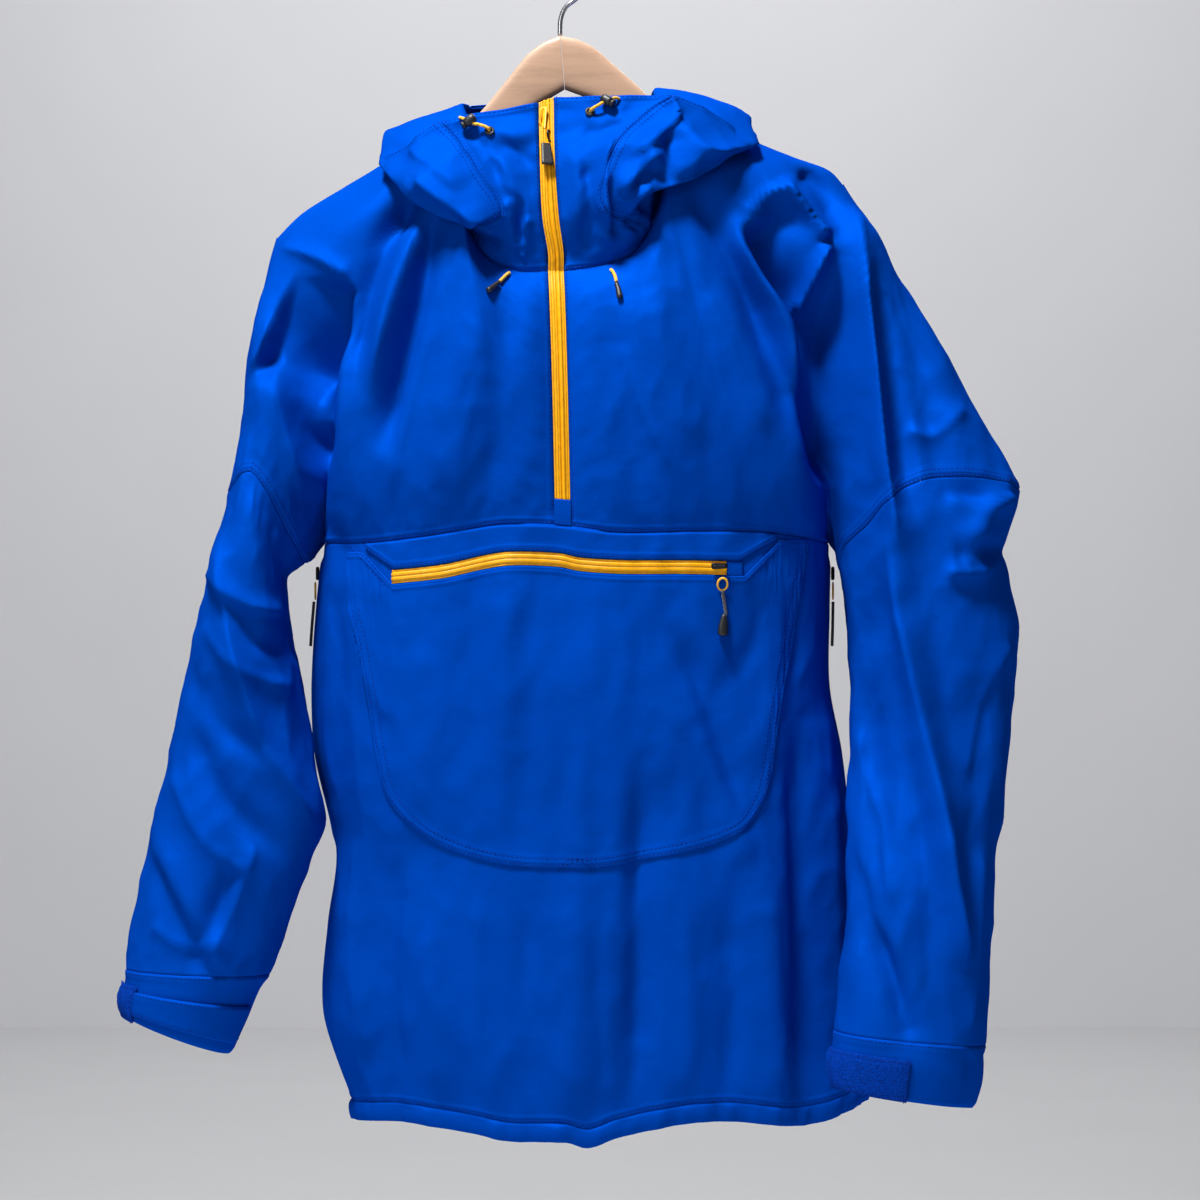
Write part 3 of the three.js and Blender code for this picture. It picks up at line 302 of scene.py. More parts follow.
class Fold(NamedTuple):
    """A trough, with a depth below zero, or a ridge, along a path over x and z."""

    path: Sequence[Place]
    width: float
    depth: float
    form: Form = Form.SOFT


FOLD_STEPS = 25           # points that a fold's path is read at
FOLD_REACH = 3.2          # times its width, beyond which a fold is not felt
END_FADE = 0.14           # share of a sharp fold's length in which each end fades


def fold_heights(folds: Sequence[Fold], points: Array) -> Array:
    """Adds up the heights of all the folds at each point.

    Args:
        folds: The folds.
        points: An array whose last axis holds x, y and z.

    Returns:
        The height at each point, without the last axis.
    """
    x = points[..., 0].ravel()
    z = points[..., 2].ravel()
    total = np.zeros_like(x)
    for fold in folds:
        control = np.array([[px, 0.0, pz] for px, pz in fold.path])
        line = curve_through(control[:, None, :], np.linspace(0, 1, FOLD_STEPS)[:, None])[:, 0][:, [0, 2]]
        reach = FOLD_REACH * fold.width
        near = (x > line[:, 0].min() - reach) & (x < line[:, 0].max() + reach)
        near &= (z > line[:, 1].min() - reach) & (z < line[:, 1].max() + reach)
        if not near.any():
            continue
        nx, nz = x[near], z[near]
        nearest = np.full(len(nx), np.inf)
        along = np.zeros(len(nx))
        side = np.ones(len(nx))
        for k in range(len(line) - 1):
            (ax, az), (bx, bz) = line[k], line[k + 1]
            dx, dz = bx - ax, bz - az
            t = np.clip(((nx - ax) * dx + (nz - az) * dz) / (dx * dx + dz * dz), 0, 1)
            ox, oz = nx - ax - t * dx, nz - az - t * dz
            distance = np.hypot(ox, oz)
            closer = distance < nearest
            nearest = np.where(closer, distance, nearest)
            along = np.where(closer, (k + t) / (len(line) - 1), along)
            side = np.where(closer, np.sign(dx * oz - dz * ox), side)
        fade = np.minimum(1.0, 4 * np.minimum(along, 1 - along) + 0.25)
        if fold.form is not Form.SOFT:
            fade = smooth(np.minimum(along, 1 - along), 0.0, END_FADE)
        if fold.form is Form.SHARP:
            fall = np.exp(-np.sqrt((nearest / fold.width) ** 2 + 0.04) * 1.6 + 0.32)
        elif fold.form is Form.TUCK:
            steep = np.exp(-((nearest / (0.3 * fold.width)) ** 2))
            fall = np.where(side > 0, np.exp(-((nearest / fold.width) ** 2)), steep)
        else:
            fall = np.exp(-((nearest / fold.width) ** 2))
        total[near] += fold.depth * fade * fall
    return total.reshape(points.shape[:-1])


def seen(points: Array) -> Array:
    """Returns where the points appear on the plane of the zips' edges, as the camera sees them."""
    scale = CAMERA_AWAY / (CAMERA_AWAY + points[..., 1:2])
    centre = np.array([CAMERA_X, 0.0, CAMERA_Z])
    return centre + (points - centre) * scale


def waves(points: Array, size: Point, seed: float) -> Array:
    """Reads soft noise.

    Args:
        points: An array whose last axis holds x, y and z.
        size: Size of a wave along X, Y and Z.
        seed: Which of the noises is read.

    Returns:
        A value from about -1 to 1 at each point.
    """
    flat = (points.reshape(-1, 3) / np.asarray(size) + seed * 17.3).tolist()
    values = [noise.noise(Vector(p)) for p in flat]
    return np.array(values).reshape(points.shape[:-1])


def creased(points: Array, size: Point, seed: float) -> Array:
    """Returns noise with thin ridges, as in cloth that was crumpled, from about -1 to 1."""
    return 1 - 2.6 * np.abs(waves(points, size, seed))


class Layer(NamedTuple):
    """One layer of noise on hanging cloth: its height, the size of its waves, its seed, and ridges or not."""

    height: float
    size: Point
    seed: float
    ridged: bool = True


def slack(height: Array, points: Array, layers: Sequence[Layer], seed: float = 0.0) -> Array:
    """Adds layers of noise to a height.

    Args:
        height: The height of each point so far.
        points: The points.
        layers: The layers.
        seed: Added to the seed of each layer.

    Returns:
        The height with the layers on it.
    """
    for layer in layers:
        read = creased if layer.ridged else waves
        height = height + layer.height * read(points, layer.size, layer.seed + seed)
    return height


TORSO_SLACK = (
    Layer(2.0, (62, 62, 190), 1.0, False), Layer(1.5, (44, 44, 120), 3.0),
    Layer(0.9, (26, 26, 52), 9.0), Layer(0.4, (15, 15, 30), 5.0),
)
SLEEVE_SLACK = (
    Layer(1.5, (48, 48, 110), 0.0, False), Layer(1.5, (38, 38, 74), 2.0),
    Layer(0.8, (24, 24, 40), 6.0), Layer(0.4, (15, 15, 26), 4.0),
)
HOOD_SLACK = (Layer(2.6, (30, 30, 46), 31.0, False), Layer(2.2, (26, 26, 36), 33.0))


# Distances from a seam, in rows of closer cells
SEAM_STEPS = (0.0, 0.5, 1.0, 1.6, 2.2, 2.8, 3.6, 4.6, 5.6, 6.6, 7.8, 9.4, 11.6)


def spaced(length: float, cell: float, start: bool = True, end: bool = True) -> Array:
    """Divides a length into cells, with smaller cells beside a seam.

    Args:
        length: The length.
        cell: Size of the other cells.
        start: Whether a seam is at the start.
        end: Whether a seam is at the end.

    Returns:
        Places from 0 to 1.
    """
    first = list(SEAM_STEPS) if start else [0.0]
    last = [length - step for step in reversed(SEAM_STEPS)] if end else [length]
    count = max(2, round((last[0] - first[-1]) / cell))
    middle = np.linspace(first[-1], last[0], count + 1)[1:-1]
    return np.concatenate([first, middle, last]) / length


class Seam(Enum):
    """How a panel is finished along one edge."""

    OPEN = "open"
    PLAIN = "plain"
    SINGLE = "single"
    DOUBLE = "double"


class Edge(Enum):
    """The four edges of a panel's grid."""

    TOP = "top"
    BOTTOM = "bottom"
    FIRST = "first"
    LAST = "last"


STITCH_ROWS = {Seam.OPEN: (), Seam.PLAIN: (), Seam.SINGLE: (2.0,), Seam.DOUBLE: (2.0, 6.4)}
LAP_WIDTH = {Seam.OPEN: 0.0, Seam.PLAIN: 0.0, Seam.SINGLE: 5.0, Seam.DOUBLE: 8.4}
LAP_HEIGHT = 0.45
ROLL_DEPTH = 0.75
STITCH_SINK = 0.4


@dataclass
class Panel:
    """A piece of cloth as a grid of points on its outside, rows by columns by 3."""

    name: str
    points: Array
    closed: bool = False
    seams: dict[Edge, Seam] = field(default_factory=dict)
    shared: dict[Edge, Array] = field(default_factory=dict)
    cloth: Piece | None = None

    def normals(self, own: bool = False) -> Array:
        """Returns the outward direction at each point, shared with the neighbours unless own is asked for."""
        p = self.points
        down = np.empty_like(p)
        down[1:-1] = p[2:] - p[:-2]
        down[0], down[-1] = p[1] - p[0], p[-1] - p[-2]
        if self.closed:
            across = np.roll(p, -1, axis=1) - np.roll(p, 1, axis=1)
        else:
            across = np.empty_like(p)
            across[:, 1:-1] = p[:, 2:] - p[:, :-2]
            across[:, 0], across[:, -1] = p[:, 1] - p[:, 0], p[:, -1] - p[:, -2]
        outward = unit(np.cross(down, across))
        for edge, known in ({} if own else self.shared).items():
            if edge is Edge.TOP:
                outward[0] = known
            elif edge is Edge.FIRST:
                outward[:, 0] = known
            elif edge is Edge.LAST:
                outward[:, -1] = known
        return outward

    def distance(self, edge: Edge) -> Array:
        """Returns how far each point is from an edge, along the cloth."""
        rows = edge in (Edge.TOP, Edge.BOTTOM)
        axis = 0 if rows else 1
        lengths = np.linalg.norm(np.diff(self.points, axis=axis), axis=-1)
        zero = np.zeros((1, self.points.shape[1]) if rows else (self.points.shape[0], 1))
        along = np.concatenate([zero, np.cumsum(lengths, axis=axis)], axis=axis)
        if edge in (Edge.TOP, Edge.FIRST):
            return along
        return (along[-1:] if rows else along[:, -1:]) - along

    def raise_by(self, heights: Array, along: Array | None = None) -> "Panel":
        """Moves the points outwards, or along given directions, by the heights."""
        self.points = self.points + heights[..., None] * (self.normals() if along is None else along)
        return self

    def finish_seams(self) -> "Panel":
        """Rolls the cloth in at its seams, and raises the lap that the stitches hold."""
        height = np.zeros(self.points.shape[:2])
        for edge, seam in self.seams.items():
            if seam is Seam.OPEN:
                continue
            d = self.distance(edge)
            height -= ROLL_DEPTH * hump(d, 0.0, 0.8)
            if LAP_WIDTH[seam]:
                height += LAP_HEIGHT * (1 - smooth(d, LAP_WIDTH[seam] - 1.2, LAP_WIDTH[seam] + 0.6))
            for row in STITCH_ROWS[seam]:
                height -= STITCH_SINK * hump(d, row, 0.7)
        return self.raise_by(height)

    def line(self, edge: Edge, away: float) -> tuple[Array, Array]:
        """Finds the line that runs at one distance from an edge.

        Args:
            edge: The edge.
            away: The distance.

        Returns:
            The points of the line, and the outward directions there.
        """
        d = self.distance(edge)
        points, outward = self.points, self.normals()
        if edge in (Edge.FIRST, Edge.LAST):
            d, points, outward = d.T, points.swapaxes(0, 1), outward.swapaxes(0, 1)
        if edge in (Edge.BOTTOM, Edge.LAST):
            d, points, outward = d[::-1], points[::-1], outward[::-1]
        column = np.arange(d.shape[1])
        i = np.clip((d < away).sum(axis=0), 1, len(d) - 1)
        low, high = d[i - 1, column], d[i, column]
        t = np.clip((away - low) / np.maximum(high - low, 1e-6), 0, 1)[:, None]
        place = points[i - 1, column] * (1 - t) + points[i, column] * t
        if self.closed and edge in (Edge.TOP, Edge.BOTTOM):
            place = np.concatenate([place, place[:1]])
            ring = outward[i, column]
            return place, np.concatenate([ring, ring[:1]])
        return place, outward[i, column]

    def build(self, thick: float = WALL) -> Piece:
        """Makes the closed wall of cloth.

        Args:
            thick: Thickness of the wall, which grows inwards.

        Returns:
            The new object.
        """
        rows, columns = self.points.shape[:2]
        outward = self.normals()
        inner = self.points - thick * outward
        vertices = np.concatenate([self.points.reshape(-1, 3), inner.reshape(-1, 3)]) * MM
        ids = np.arange(rows * columns).reshape(rows, columns)
        if self.closed:
            ids = np.concatenate([ids, ids[:, :1]], axis=1)
        a, b, c, d = ids[:-1, :-1], ids[1:, :-1], ids[1:, 1:], ids[:-1, 1:]
        under = rows * columns
        quads = [
            np.stack([a, b, c, d], -1).reshape(-1, 4),
            np.stack([a, d, c, b], -1).reshape(-1, 4) + under,
        ]
        loops = [ids[0][::-1], ids[-1]]
        if not self.closed:
            loops += [ids[:, 0], ids[::-1, -1]]
        for loop in loops:
            s, e = loop[:-1], loop[1:]
            quads.append(np.stack([e, s, s + under, e + under], -1))
        self.cloth = mesh_object(self.name, vertices, np.concatenate(quads))
        if self.shared:
            both = np.concatenate([outward.reshape(-1, 3), -outward.reshape(-1, 3)])
            self.cloth.data.normals_split_custom_set_from_vertices(both.tolist())
        return self.cloth


def mesh_object(name: str, vertices: Array, faces: Array | Sequence[Sequence[int]]) -> Piece:
    """Makes a mesh object with smooth shading.

    Args:
        name: Name of the object.
        vertices: Points in metres.
        faces: Rows of point numbers.

    Returns:
        The object, linked to the scene.
    """
    mesh = bpy.data.meshes.new(name)
    listed = faces.tolist() if isinstance(faces, np.ndarray) else list(faces)
    mesh.from_pydata(np.asarray(vertices).tolist(), [], listed)
    mesh.validate()
    mesh.shade_smooth()
    made = bpy.data.objects.new(name, mesh)
    bpy.context.scene.collection.objects.link(made)
    return made


def resampled(line: Array, pitch: float) -> Array:
    """Returns points on a line of points, one pitch apart."""
    along = np.concatenate([[0.0], np.cumsum(np.linalg.norm(np.diff(line, axis=0), axis=1))])
    count = max(2, int(along[-1] / pitch))
    place = np.linspace(0, along[-1], count)
    return np.stack([np.interp(place, along, line[:, k]) for k in range(line.shape[1])], -1)


@dataclass
class Stitching:
    """All the stitches of one part of the garment, as one mesh of short raised threads."""

    name: str
    pitch: float = 3.1
    length: float = 2.3
    half_width: float = 0.26
    proud: float = 0.12
    centres: list[Array] = field(default_factory=list)
    outwards: list[Array] = field(default_factory=list)

    def follow(self, line: Array, outward: Array) -> None:
        """Adds a row of stitches.

        Args:
            line: Points on the cloth.
            outward: The outward direction at each point.
        """
        both = resampled(np.concatenate([line, outward], axis=1), self.pitch)
        self.centres.append(both[:, :3])
        self.outwards.append(unit(both[:, 3:]))

    def sew(self, panel: Panel) -> None:
        """Adds the rows of stitches along all the seams of a panel."""
        for edge, seam in panel.seams.items():
            for away in STITCH_ROWS[seam]:
                self.follow(*panel.line(edge, away))

    def build(self) -> Piece:
        """Returns one object with every stitch."""
        vertices, faces = [], []
        for centres, outward in zip(self.centres, self.outwards):
            along = unit(np.gradient(centres, axis=0))
            side = unit(np.cross(along, outward))
            middle = centres + outward * self.proud
            for reach, width in ((-0.5, 0.0), (-0.3, 1.0), (0.3, 1.0), (0.5, 0.0)):
                base = middle + along * (reach * self.length) - outward * (0.25 if not width else 0.0)
                if width:
                    for turn in range(4):
                        c, s = math.cos(turn * math.pi / 2), math.sin(turn * math.pi / 2)
                        ring = base + self.half_width * (c * side + s * outward)
                        vertices.append(ring)
                else:
                    vertices.append(base)
        per_row = 10
        built, offset = [], 0
        for start in range(0, len(vertices), per_row):
            block = np.stack(vertices[start:start + per_row], axis=1)
            built.append(block.reshape(-1, 3))
            for k in range(len(block)):
                a = offset + k * per_row
                for turn in range(4):
                    n = (turn + 1) % 4
                    faces.append((a, a + 1 + n, a + 1 + turn))
                    faces.append((a + 1 + turn, a + 1 + n, a + 5 + n, a + 5 + turn))
                    faces.append((a + 9, a + 5 + turn, a + 5 + n))
            offset += len(block) * per_row
        return mesh_object(self.name, np.concatenate(built) * MM, faces)


@dataclass
class Seat:
    """A place on the cloth with its own axes, on which hardware is laid."""

    place: Array
    outward: Array
    spin: float = 0.0

    def axes(self) -> Array:
        """Returns the directions across, up along the piece and out, as rows."""
        down = np.array([math.sin(self.spin), 0.0, math.cos(self.spin)])
        up = unit(down - self.outward * float(down @ self.outward))
        across = np.cross(up, self.outward)
        return np.stack([-across, up, self.outward])

    def moved(self, local: Array) -> Array:
        """Returns local points (across, up, out) in the garment's place, in millimetres."""
        return self.place + local @ self.axes()


class Skin:
    """Reads places and outward directions on finished cloth, from any straight line."""

    def __init__(self, *cloth: Piece) -> None:
        """Keeps a search tree of the given objects' meshes."""
        vertices, faces = [], []
        for piece in cloth:
            start = len(vertices)
            vertices += [v.co.copy() for v in piece.data.vertices]
            faces += [tuple(start + k for k in p.vertices) for p in piece.data.polygons]
        self.tree = BVHTree.FromPolygons(vertices, faces)

    def cast(self, start: Point, toward: Point) -> tuple[Array, Array] | None:
        """Finds where a line first meets the cloth.

        Args:
            start: Start of the line, in millimetres.
            toward: Its direction.

        Returns:
            The place in millimetres and the direction out of the cloth, or None.
        """
        direction = Vector(toward).normalized()
        place, normal, _, _ = self.tree.ray_cast(Vector(start) * MM, direction)
        if place is None:
            return None
        if normal.dot(direction) > 0:
            normal = -normal
        return np.array(place) / MM, np.array(normal)

    def front(self, x: float, z: float, side: float = FRONT) -> tuple[Array, Array]:
        """Finds the place at x and z as seen from the front, or from the back.

        Args:
            x: Where on X.
            z: Where on Z.
            side: -1 for the front and 1 for the back.

        Returns:
            The place and the outward direction.
        """
        found = self.cast((x, side * 500.0, z), (0.0, -side, 0.0))
        if found is None:
            nearest, normal, _, _ = self.tree.find_nearest(Vector((x, side * 60.0, z)) * MM)
            return np.array(nearest) / MM, np.array(normal)
        return found

    def seat(self, x: float, z: float, lift: float, spin: float = 0.0) -> Seat:
        """Returns a seat that lies out of the cloth at x and z as seen from the front."""
        place, outward = self.front(x, z)
        return Seat(place + outward * lift, outward, spin)

    def drape(self, places: Array, side: float = FRONT) -> tuple[Array, Array]:
        """Puts a grid of x and z on the cloth.

        Args:
            places: Rows by columns by 2.
            side: -1 for the front and 1 for the back.

        Returns:
            The points on the cloth and the outward directions.
        """
        rows, columns = places.shape[:2]
        hits = [self.front(x, z, side) for x, z in places.reshape(-1, 2)]
        points = np.array([hit[0] for hit in hits]).reshape(rows, columns, 3)
        outward = np.array([hit[1] for hit in hits]).reshape(rows, columns, 3)
        return points, unit(outward)


def walled(name: str, rings: Sequence[Array], ends: Sequence[Array]) -> Piece:
    """Joins rings of equal length into one closed mesh.

    Args:
        name: Name of the object.
        rings: The rings in their order, in millimetres.
        ends: The middle of the first ring and of the last.

    Returns:
        The new object.
    """
    sides = len(rings[0])
    around = [(k, (k + 1) % sides) for k in range(sides)]
    end = (len(rings) - 1) * sides
    faces = [(i + k, i + n, i + sides + n, i + sides + k) for i in range(0, end, sides) for k, n in around]
    for k, n in around:
        faces += [(end + sides, n, k), (end + sides + 1, end + k, end + n)]
    return mesh_object(name, np.concatenate([*rings, ends]) * MM, faces)


def tube(name: str, line: Array, radius: float | Array, sides: int = 12) -> Piece:
    """Sweeps a round section along a line, closed at both ends.

    Args:
        name: Name of the object.
        line: Points along the middle, in millimetres.
        radius: Radius, or one for each point.
        sides: Number of sides.

    Returns:
        The new object.
    """
    line = np.asarray(line, float)
    along = unit(np.gradient(line, axis=0))
    radii = np.broadcast_to(radius, len(line)).astype(float)
    up = np.array([0.0, 1.0, 0.0]) if abs(along[0][1]) < 0.9 else np.array([1.0, 0.0, 0.0])
    rings = []
    for place, direction, r in zip(line, along, radii):
        side = unit(np.cross(up, direction))
        up = unit(np.cross(direction, side))
        turn = np.linspace(0, 2 * np.pi, sides, endpoint=False)[:, None]
        rings.append(place + r * (np.cos(turn) * side + np.sin(turn) * up))
    return walled(name, rings, (line[0], line[-1]))


def lofted(name: str, seat: Seat, sections: Sequence[Array]) -> Piece:
    """Joins closed sections of equal length into one closed solid.

    Args:
        name: Name of the object.
        seat: Where the solid lies.
        sections: Rings of local points (across, up, out).

    Returns:
        The new object.
    """
    rings = [seat.moved(np.asarray(section, float)) for section in sections]
    made = walled(name, rings, (rings[0].mean(axis=0), rings[-1].mean(axis=0)))
    face_out(made)
    return made


def face_out(piece: Piece) -> None:
    """Turns the faces of a closed mesh outwards."""
    mesh = bmesh.new()
    mesh.from_mesh(piece.data)
    bmesh.ops.recalc_face_normals(mesh, faces=mesh.faces)
    mesh.to_mesh(piece.data)
    mesh.free()


def rounded_outline(width: float, height: float, corner: float, foot: float = 1.0, count: int = 8) -> Array:
    """Draws a rounded oblong around 0, 0.

    Args:
        width: Width at the foot.
        height: Height.
        corner: Radius of the corners.
        foot: Width at the head as a share of the width at the foot.
        count: Points for each corner.

    Returns:
        Points across and up.
    """
    points = []
    for sx, sy, start in ((1, 1, 0.0), (-1, 1, 0.5), (-1, -1, 1.0), (1, -1, 1.5)):
        for k in range(count + 1):
            angle = (start + k / count / 2) * math.pi
            x = sx * (width / 2 - corner) + corner * math.cos(angle)
            y = sy * (height / 2 - corner) + corner * math.sin(angle)
            points.append((x * (foot + (1 - foot) * (0.5 - y / height)), y))
    return np.array(points)


def pillow(name: str, seat: Seat, outline: Array, thick: float, edge: float = 0.5) -> Piece:
    """Makes a plate with round edges from an outline.

    Args:
        name: Name of the object.
        seat: Where it lies.
        outline: Points across and up.
        thick: Thickness.
        edge: Share of the thickness that is rounded on each side.

    Returns:
        The new object.
    """
    sections = []
    reach = edge * thick
    size = np.abs(outline).max(axis=0)
    inner = 1 - np.minimum(0.96, 1.6 * reach / size)
    middle = [(0.0, inner * 0.7), (0.0, inner)]
    for k in range(5):
        angle = k / 4 * math.pi / 2
        middle.append((reach * (1 - math.cos(angle)), 1 - (1 - inner) * (1 - math.sin(angle))))
    full = middle + [(thick - out, share) for out, share in reversed(middle)]
    for out, share in full:
        flat = outline * share
        sections.append(np.column_stack([flat, np.full(len(flat), out - thick / 2)]))
    return lofted(name, seat, sections)


class Graph:
    """Builds the nodes of one material."""

    def __init__(self, name: str) -> None:
        """Makes an empty material with a surface shader."""
        self.material = bpy.data.materials.new(name)
        self.material.use_nodes = True
        self.tree = self.material.node_tree
        self.shader = self.tree.nodes["Principled BSDF"]
        self.place = self.add("ShaderNodeTexCoord").outputs["Object"]

    def add(self, kind: str, **settings: object) -> bpy.types.Node:
        """Adds a node with the given settings."""
        node = self.tree.nodes.new(kind)
        for key, value in settings.items():
            setattr(node, key, value)
        return node

    def link(self, source: Socket, target: Socket) -> None:
        """Joins two sockets."""
        self.tree.links.new(source, target)

    def stretched(self, scale: Point, turn: float = 0.0) -> Socket:
        """Returns the place on the object, scaled along its axes and turned about Y."""
        node = self.add("ShaderNodeMapping")
        node.inputs["Scale"].default_value = scale
        node.inputs["Rotation"].default_value = (0.0, turn, 0.0)
        self.link(self.place, node.inputs["Vector"])
        return node.outputs["Vector"]

    def noise(self, scale: float, detail: float = 2.0, at: Socket | None = None,
              rough: float = 0.5) -> Socket:
        """Returns noise from 0 to 1.

        Args:
            scale: How many waves there are in a metre.
            detail: How many finer layers it has.
            at: The place that it is read at.
            rough: Strength of the finer layers.

        Returns:
            The noise's output.
        """
        node = self.add("ShaderNodeTexNoise")
        node.inputs["Scale"].default_value = scale
        node.inputs["Detail"].default_value = detail
        node.inputs["Roughness"].default_value = rough
        self.link(at or self.place, node.inputs["Vector"])
        return node.outputs["Fac"]

    def bands(self, scale: float, axis: str) -> Socket:
        """Returns waves across one axis from 0 to 1.

        Args:
            scale: Scale of the waves.
            axis: X, Z or DIAGONAL.

        Returns:
            The waves' output.
        """
        node = self.add("ShaderNodeTexWave", wave_type="BANDS", bands_direction=axis)
        node.inputs["Scale"].default_value = scale
        node.inputs["Distortion"].default_value = 0.0
        self.link(self.place, node.inputs["Vector"])
        return node.outputs["Fac"]

    def math(self, operation: str, a: Socket, b: Socket | float) -> Socket:
        """Returns the result of a sum on two values."""
        node = self.add("ShaderNodeMath", operation=operation)
        self.link(a, node.inputs[0])
        if isinstance(b, (int, float)):
            node.inputs[1].default_value = b
        else:
            self.link(b, node.inputs[1])
        return node.outputs[0]

    def ramp(self, source: Socket, stops: Sequence[tuple[float, Sequence[float]]]) -> Socket:
        """Turns values into colours.

        Args:
            source: The values.
            stops: Rows of position and colour, the colour with three parts.

        Returns:
            The colour.
        """
        node = self.add("ShaderNodeValToRGB")
        elements = node.color_ramp.elements
        while len(elements) < len(stops):
            elements.new(0.5)
        for element, (position, color) in zip(elements, stops):
            element.position = position
            element.color = (*color, 1.0)
        self.link(source, node.inputs["Fac"])
        return node.outputs["Color"]

    def span(self, source: Socket, low: float, high: float) -> Socket:
        """Returns values from 0 to 1 brought to between low and high."""
        node = self.add("ShaderNodeMapRange")
        node.inputs["To Min"].default_value = low
        node.inputs["To Max"].default_value = high
        self.link(source, node.inputs["Value"])
        return node.outputs["Result"]

    def bump(self, height: Socket, depth: float, strength: float = 1.0,
             under: Socket | None = None) -> Socket:
        """Returns a normal with relief.

        Args:
            height: Height from 0 to 1.
            depth: Depth in metres at height 1.
            strength: Share of it that shows.
            under: A normal that it is added to.

        Returns:
            The normal.
        """
        node = self.add("ShaderNodeBump")
        node.inputs["Distance"].default_value = depth
        node.inputs["Strength"].default_value = strength
        self.link(height, node.inputs["Height"])
        if under:
            self.link(under, node.inputs["Normal"])
        return node.outputs["Normal"]

    def paint(self, source: Socket, stops: Sequence[tuple[float, Sequence[float]]]) -> None:
        """Colours the surface by values from 0 to 1."""
        self.link(self.ramp(source, stops), self.shader.inputs["Base Color"])

    def gloss(self, source: Socket, low: float, high: float) -> None:
        """Varies the roughness between low and high."""
        self.link(self.span(source, low, high), self.shader.inputs["Roughness"])

    def relief(self, height: Socket, depth: float, strength: float = 1.0,
               under: Socket | None = None) -> None:
        """Gives the surface the relief that bump returns."""
        self.link(self.bump(height, depth, strength, under), self.shader.inputs["Normal"])

    def done(self, **constants: float) -> bpy.types.Material:
        """Sets constant values on the shader and returns the material."""
        for key, value in constants.items():
            self.shader.inputs[key.replace("_", " ")].default_value = value
        return self.material


def linear(code: str) -> tuple[float, float, float]:
    """Returns a colour given as six hexadecimal digits in the shader's linear values."""
    parts = [int(code[k:k + 2], 16) / 255 for k in (0, 2, 4)]
    red, green, blue = (c / 12.92 if c <= 0.04045 else ((c + 0.055) / 1.055) ** 2.4 for c in parts)
    return red, green, blue


def shade(color: Sequence[float], share: float) -> tuple[float, float, float]:
    """Returns a colour made lighter or darker by a share."""
    red, green, blue = (min(1.0, c * share) for c in color)
    return red, green, blue


@dataclass(frozen=True)
class ShellCloth:
    """Waterproof shell cloth: a tight plain weave with a satin face."""

    name: str = "shell cloth"
    color: str = "003fa6"
    roughness: float = 0.48
    yarns: float = 1900.0     # scale of the weave's waves
    slot: str = "shell"

    def material(self) -> bpy.types.Material:
        """Returns the cloth's material."""
        g = Graph(self.name)
        base = linear(self.color)
        drift = g.noise(9.0, 4.0, rough=0.6)
        grain = g.noise(2600.0, 1.0)
        tone = g.math("ADD", g.math("MULTIPLY", drift, 0.7), g.math("MULTIPLY", grain, 0.3))
        g.paint(tone, [(0.25, shade(base, 0.86)), (0.55, base), (0.8, shade(base, 1.12))])
        g.gloss(g.noise(60.0, 4.0), self.roughness - 0.07, self.roughness + 0.08)
        warp = g.math("MULTIPLY", g.bands(self.yarns, "X"), g.bands(self.yarns, "Z"))
        soft = g.bump(g.noise(75.0, 5.0, rough=0.62), 0.0011, 0.5)
        g.relief(warp, 0.00006, 0.5, soft)
        tint = (*shade(base, 1.6), 1.0)
        return g.done(Metallic=0.14, Specular_IOR_Level=0.0, Specular_Tint=tint)


@dataclass(frozen=True)
class ThreadAndShadeDash:
    """Sewing thread, a little darker or lighter than the cloth, with its twist; the front zip's darker yellow dashes
    use it too, as painted shade of the film's grooves.
    """

    name: str
    color: str
    slot: str

    def material(self) -> bpy.types.Material:
        """Returns the thread's material."""
        g = Graph(self.name)
        base = linear(self.color)
        twist = g.noise(1500.0, 2.0)
        g.paint(twist, [(0.3, shade(base, 0.75)), (0.7, shade(base, 1.2))])
        g.relief(twist, 0.0002, 0.6)
        return g.done(Roughness=0.8, Specular_IOR_Level=0.1)


@dataclass(frozen=True)
class ZipFilm:
    """Yellow zip tape under a smooth water-resistant film."""

    name: str = "zip film"
    color: str = "e39f04"
    slot: str = "zip_tape"

    def material(self) -> bpy.types.Material:
        """Returns the film's material."""
        g = Graph(self.name)
        base = linear(self.color)
        tone = g.noise(240.0, 3.0)
        g.paint(tone, [(0.3, shade(base, 0.88)), (0.7, shade(base, 1.08))])
        g.gloss(g.noise(500.0, 2.0), 0.36, 0.5)
        g.relief(g.noise(1800.0, 2.0), 0.00008, 0.5)
        return g.done(Coat_Weight=0.05, Coat_Roughness=0.3, Specular_IOR_Level=0.25)


@dataclass(frozen=True)
class Moulded:
    """Moulded plastic or rubber, or enamelled wire, with a fine grain."""

    name: str
    color: str
    slot: str
    roughness: float = 0.45
    metallic: float = 0.0

    def material(self) -> bpy.types.Material:
        """Returns the material."""
        g = Graph(self.name)
        base = linear(self.color)
        tone = g.noise(180.0, 4.0)
        g.paint(tone, [(0.3, shade(base, 0.8)), (0.7, shade(base, 1.25))])
        g.gloss(g.noise(400.0, 3.0), self.roughness - 0.08, self.roughness + 0.1)
        g.relief(g.noise(1400.0, 2.0), 0.00006, 0.5)
        return g.done(Metallic=self.metallic)


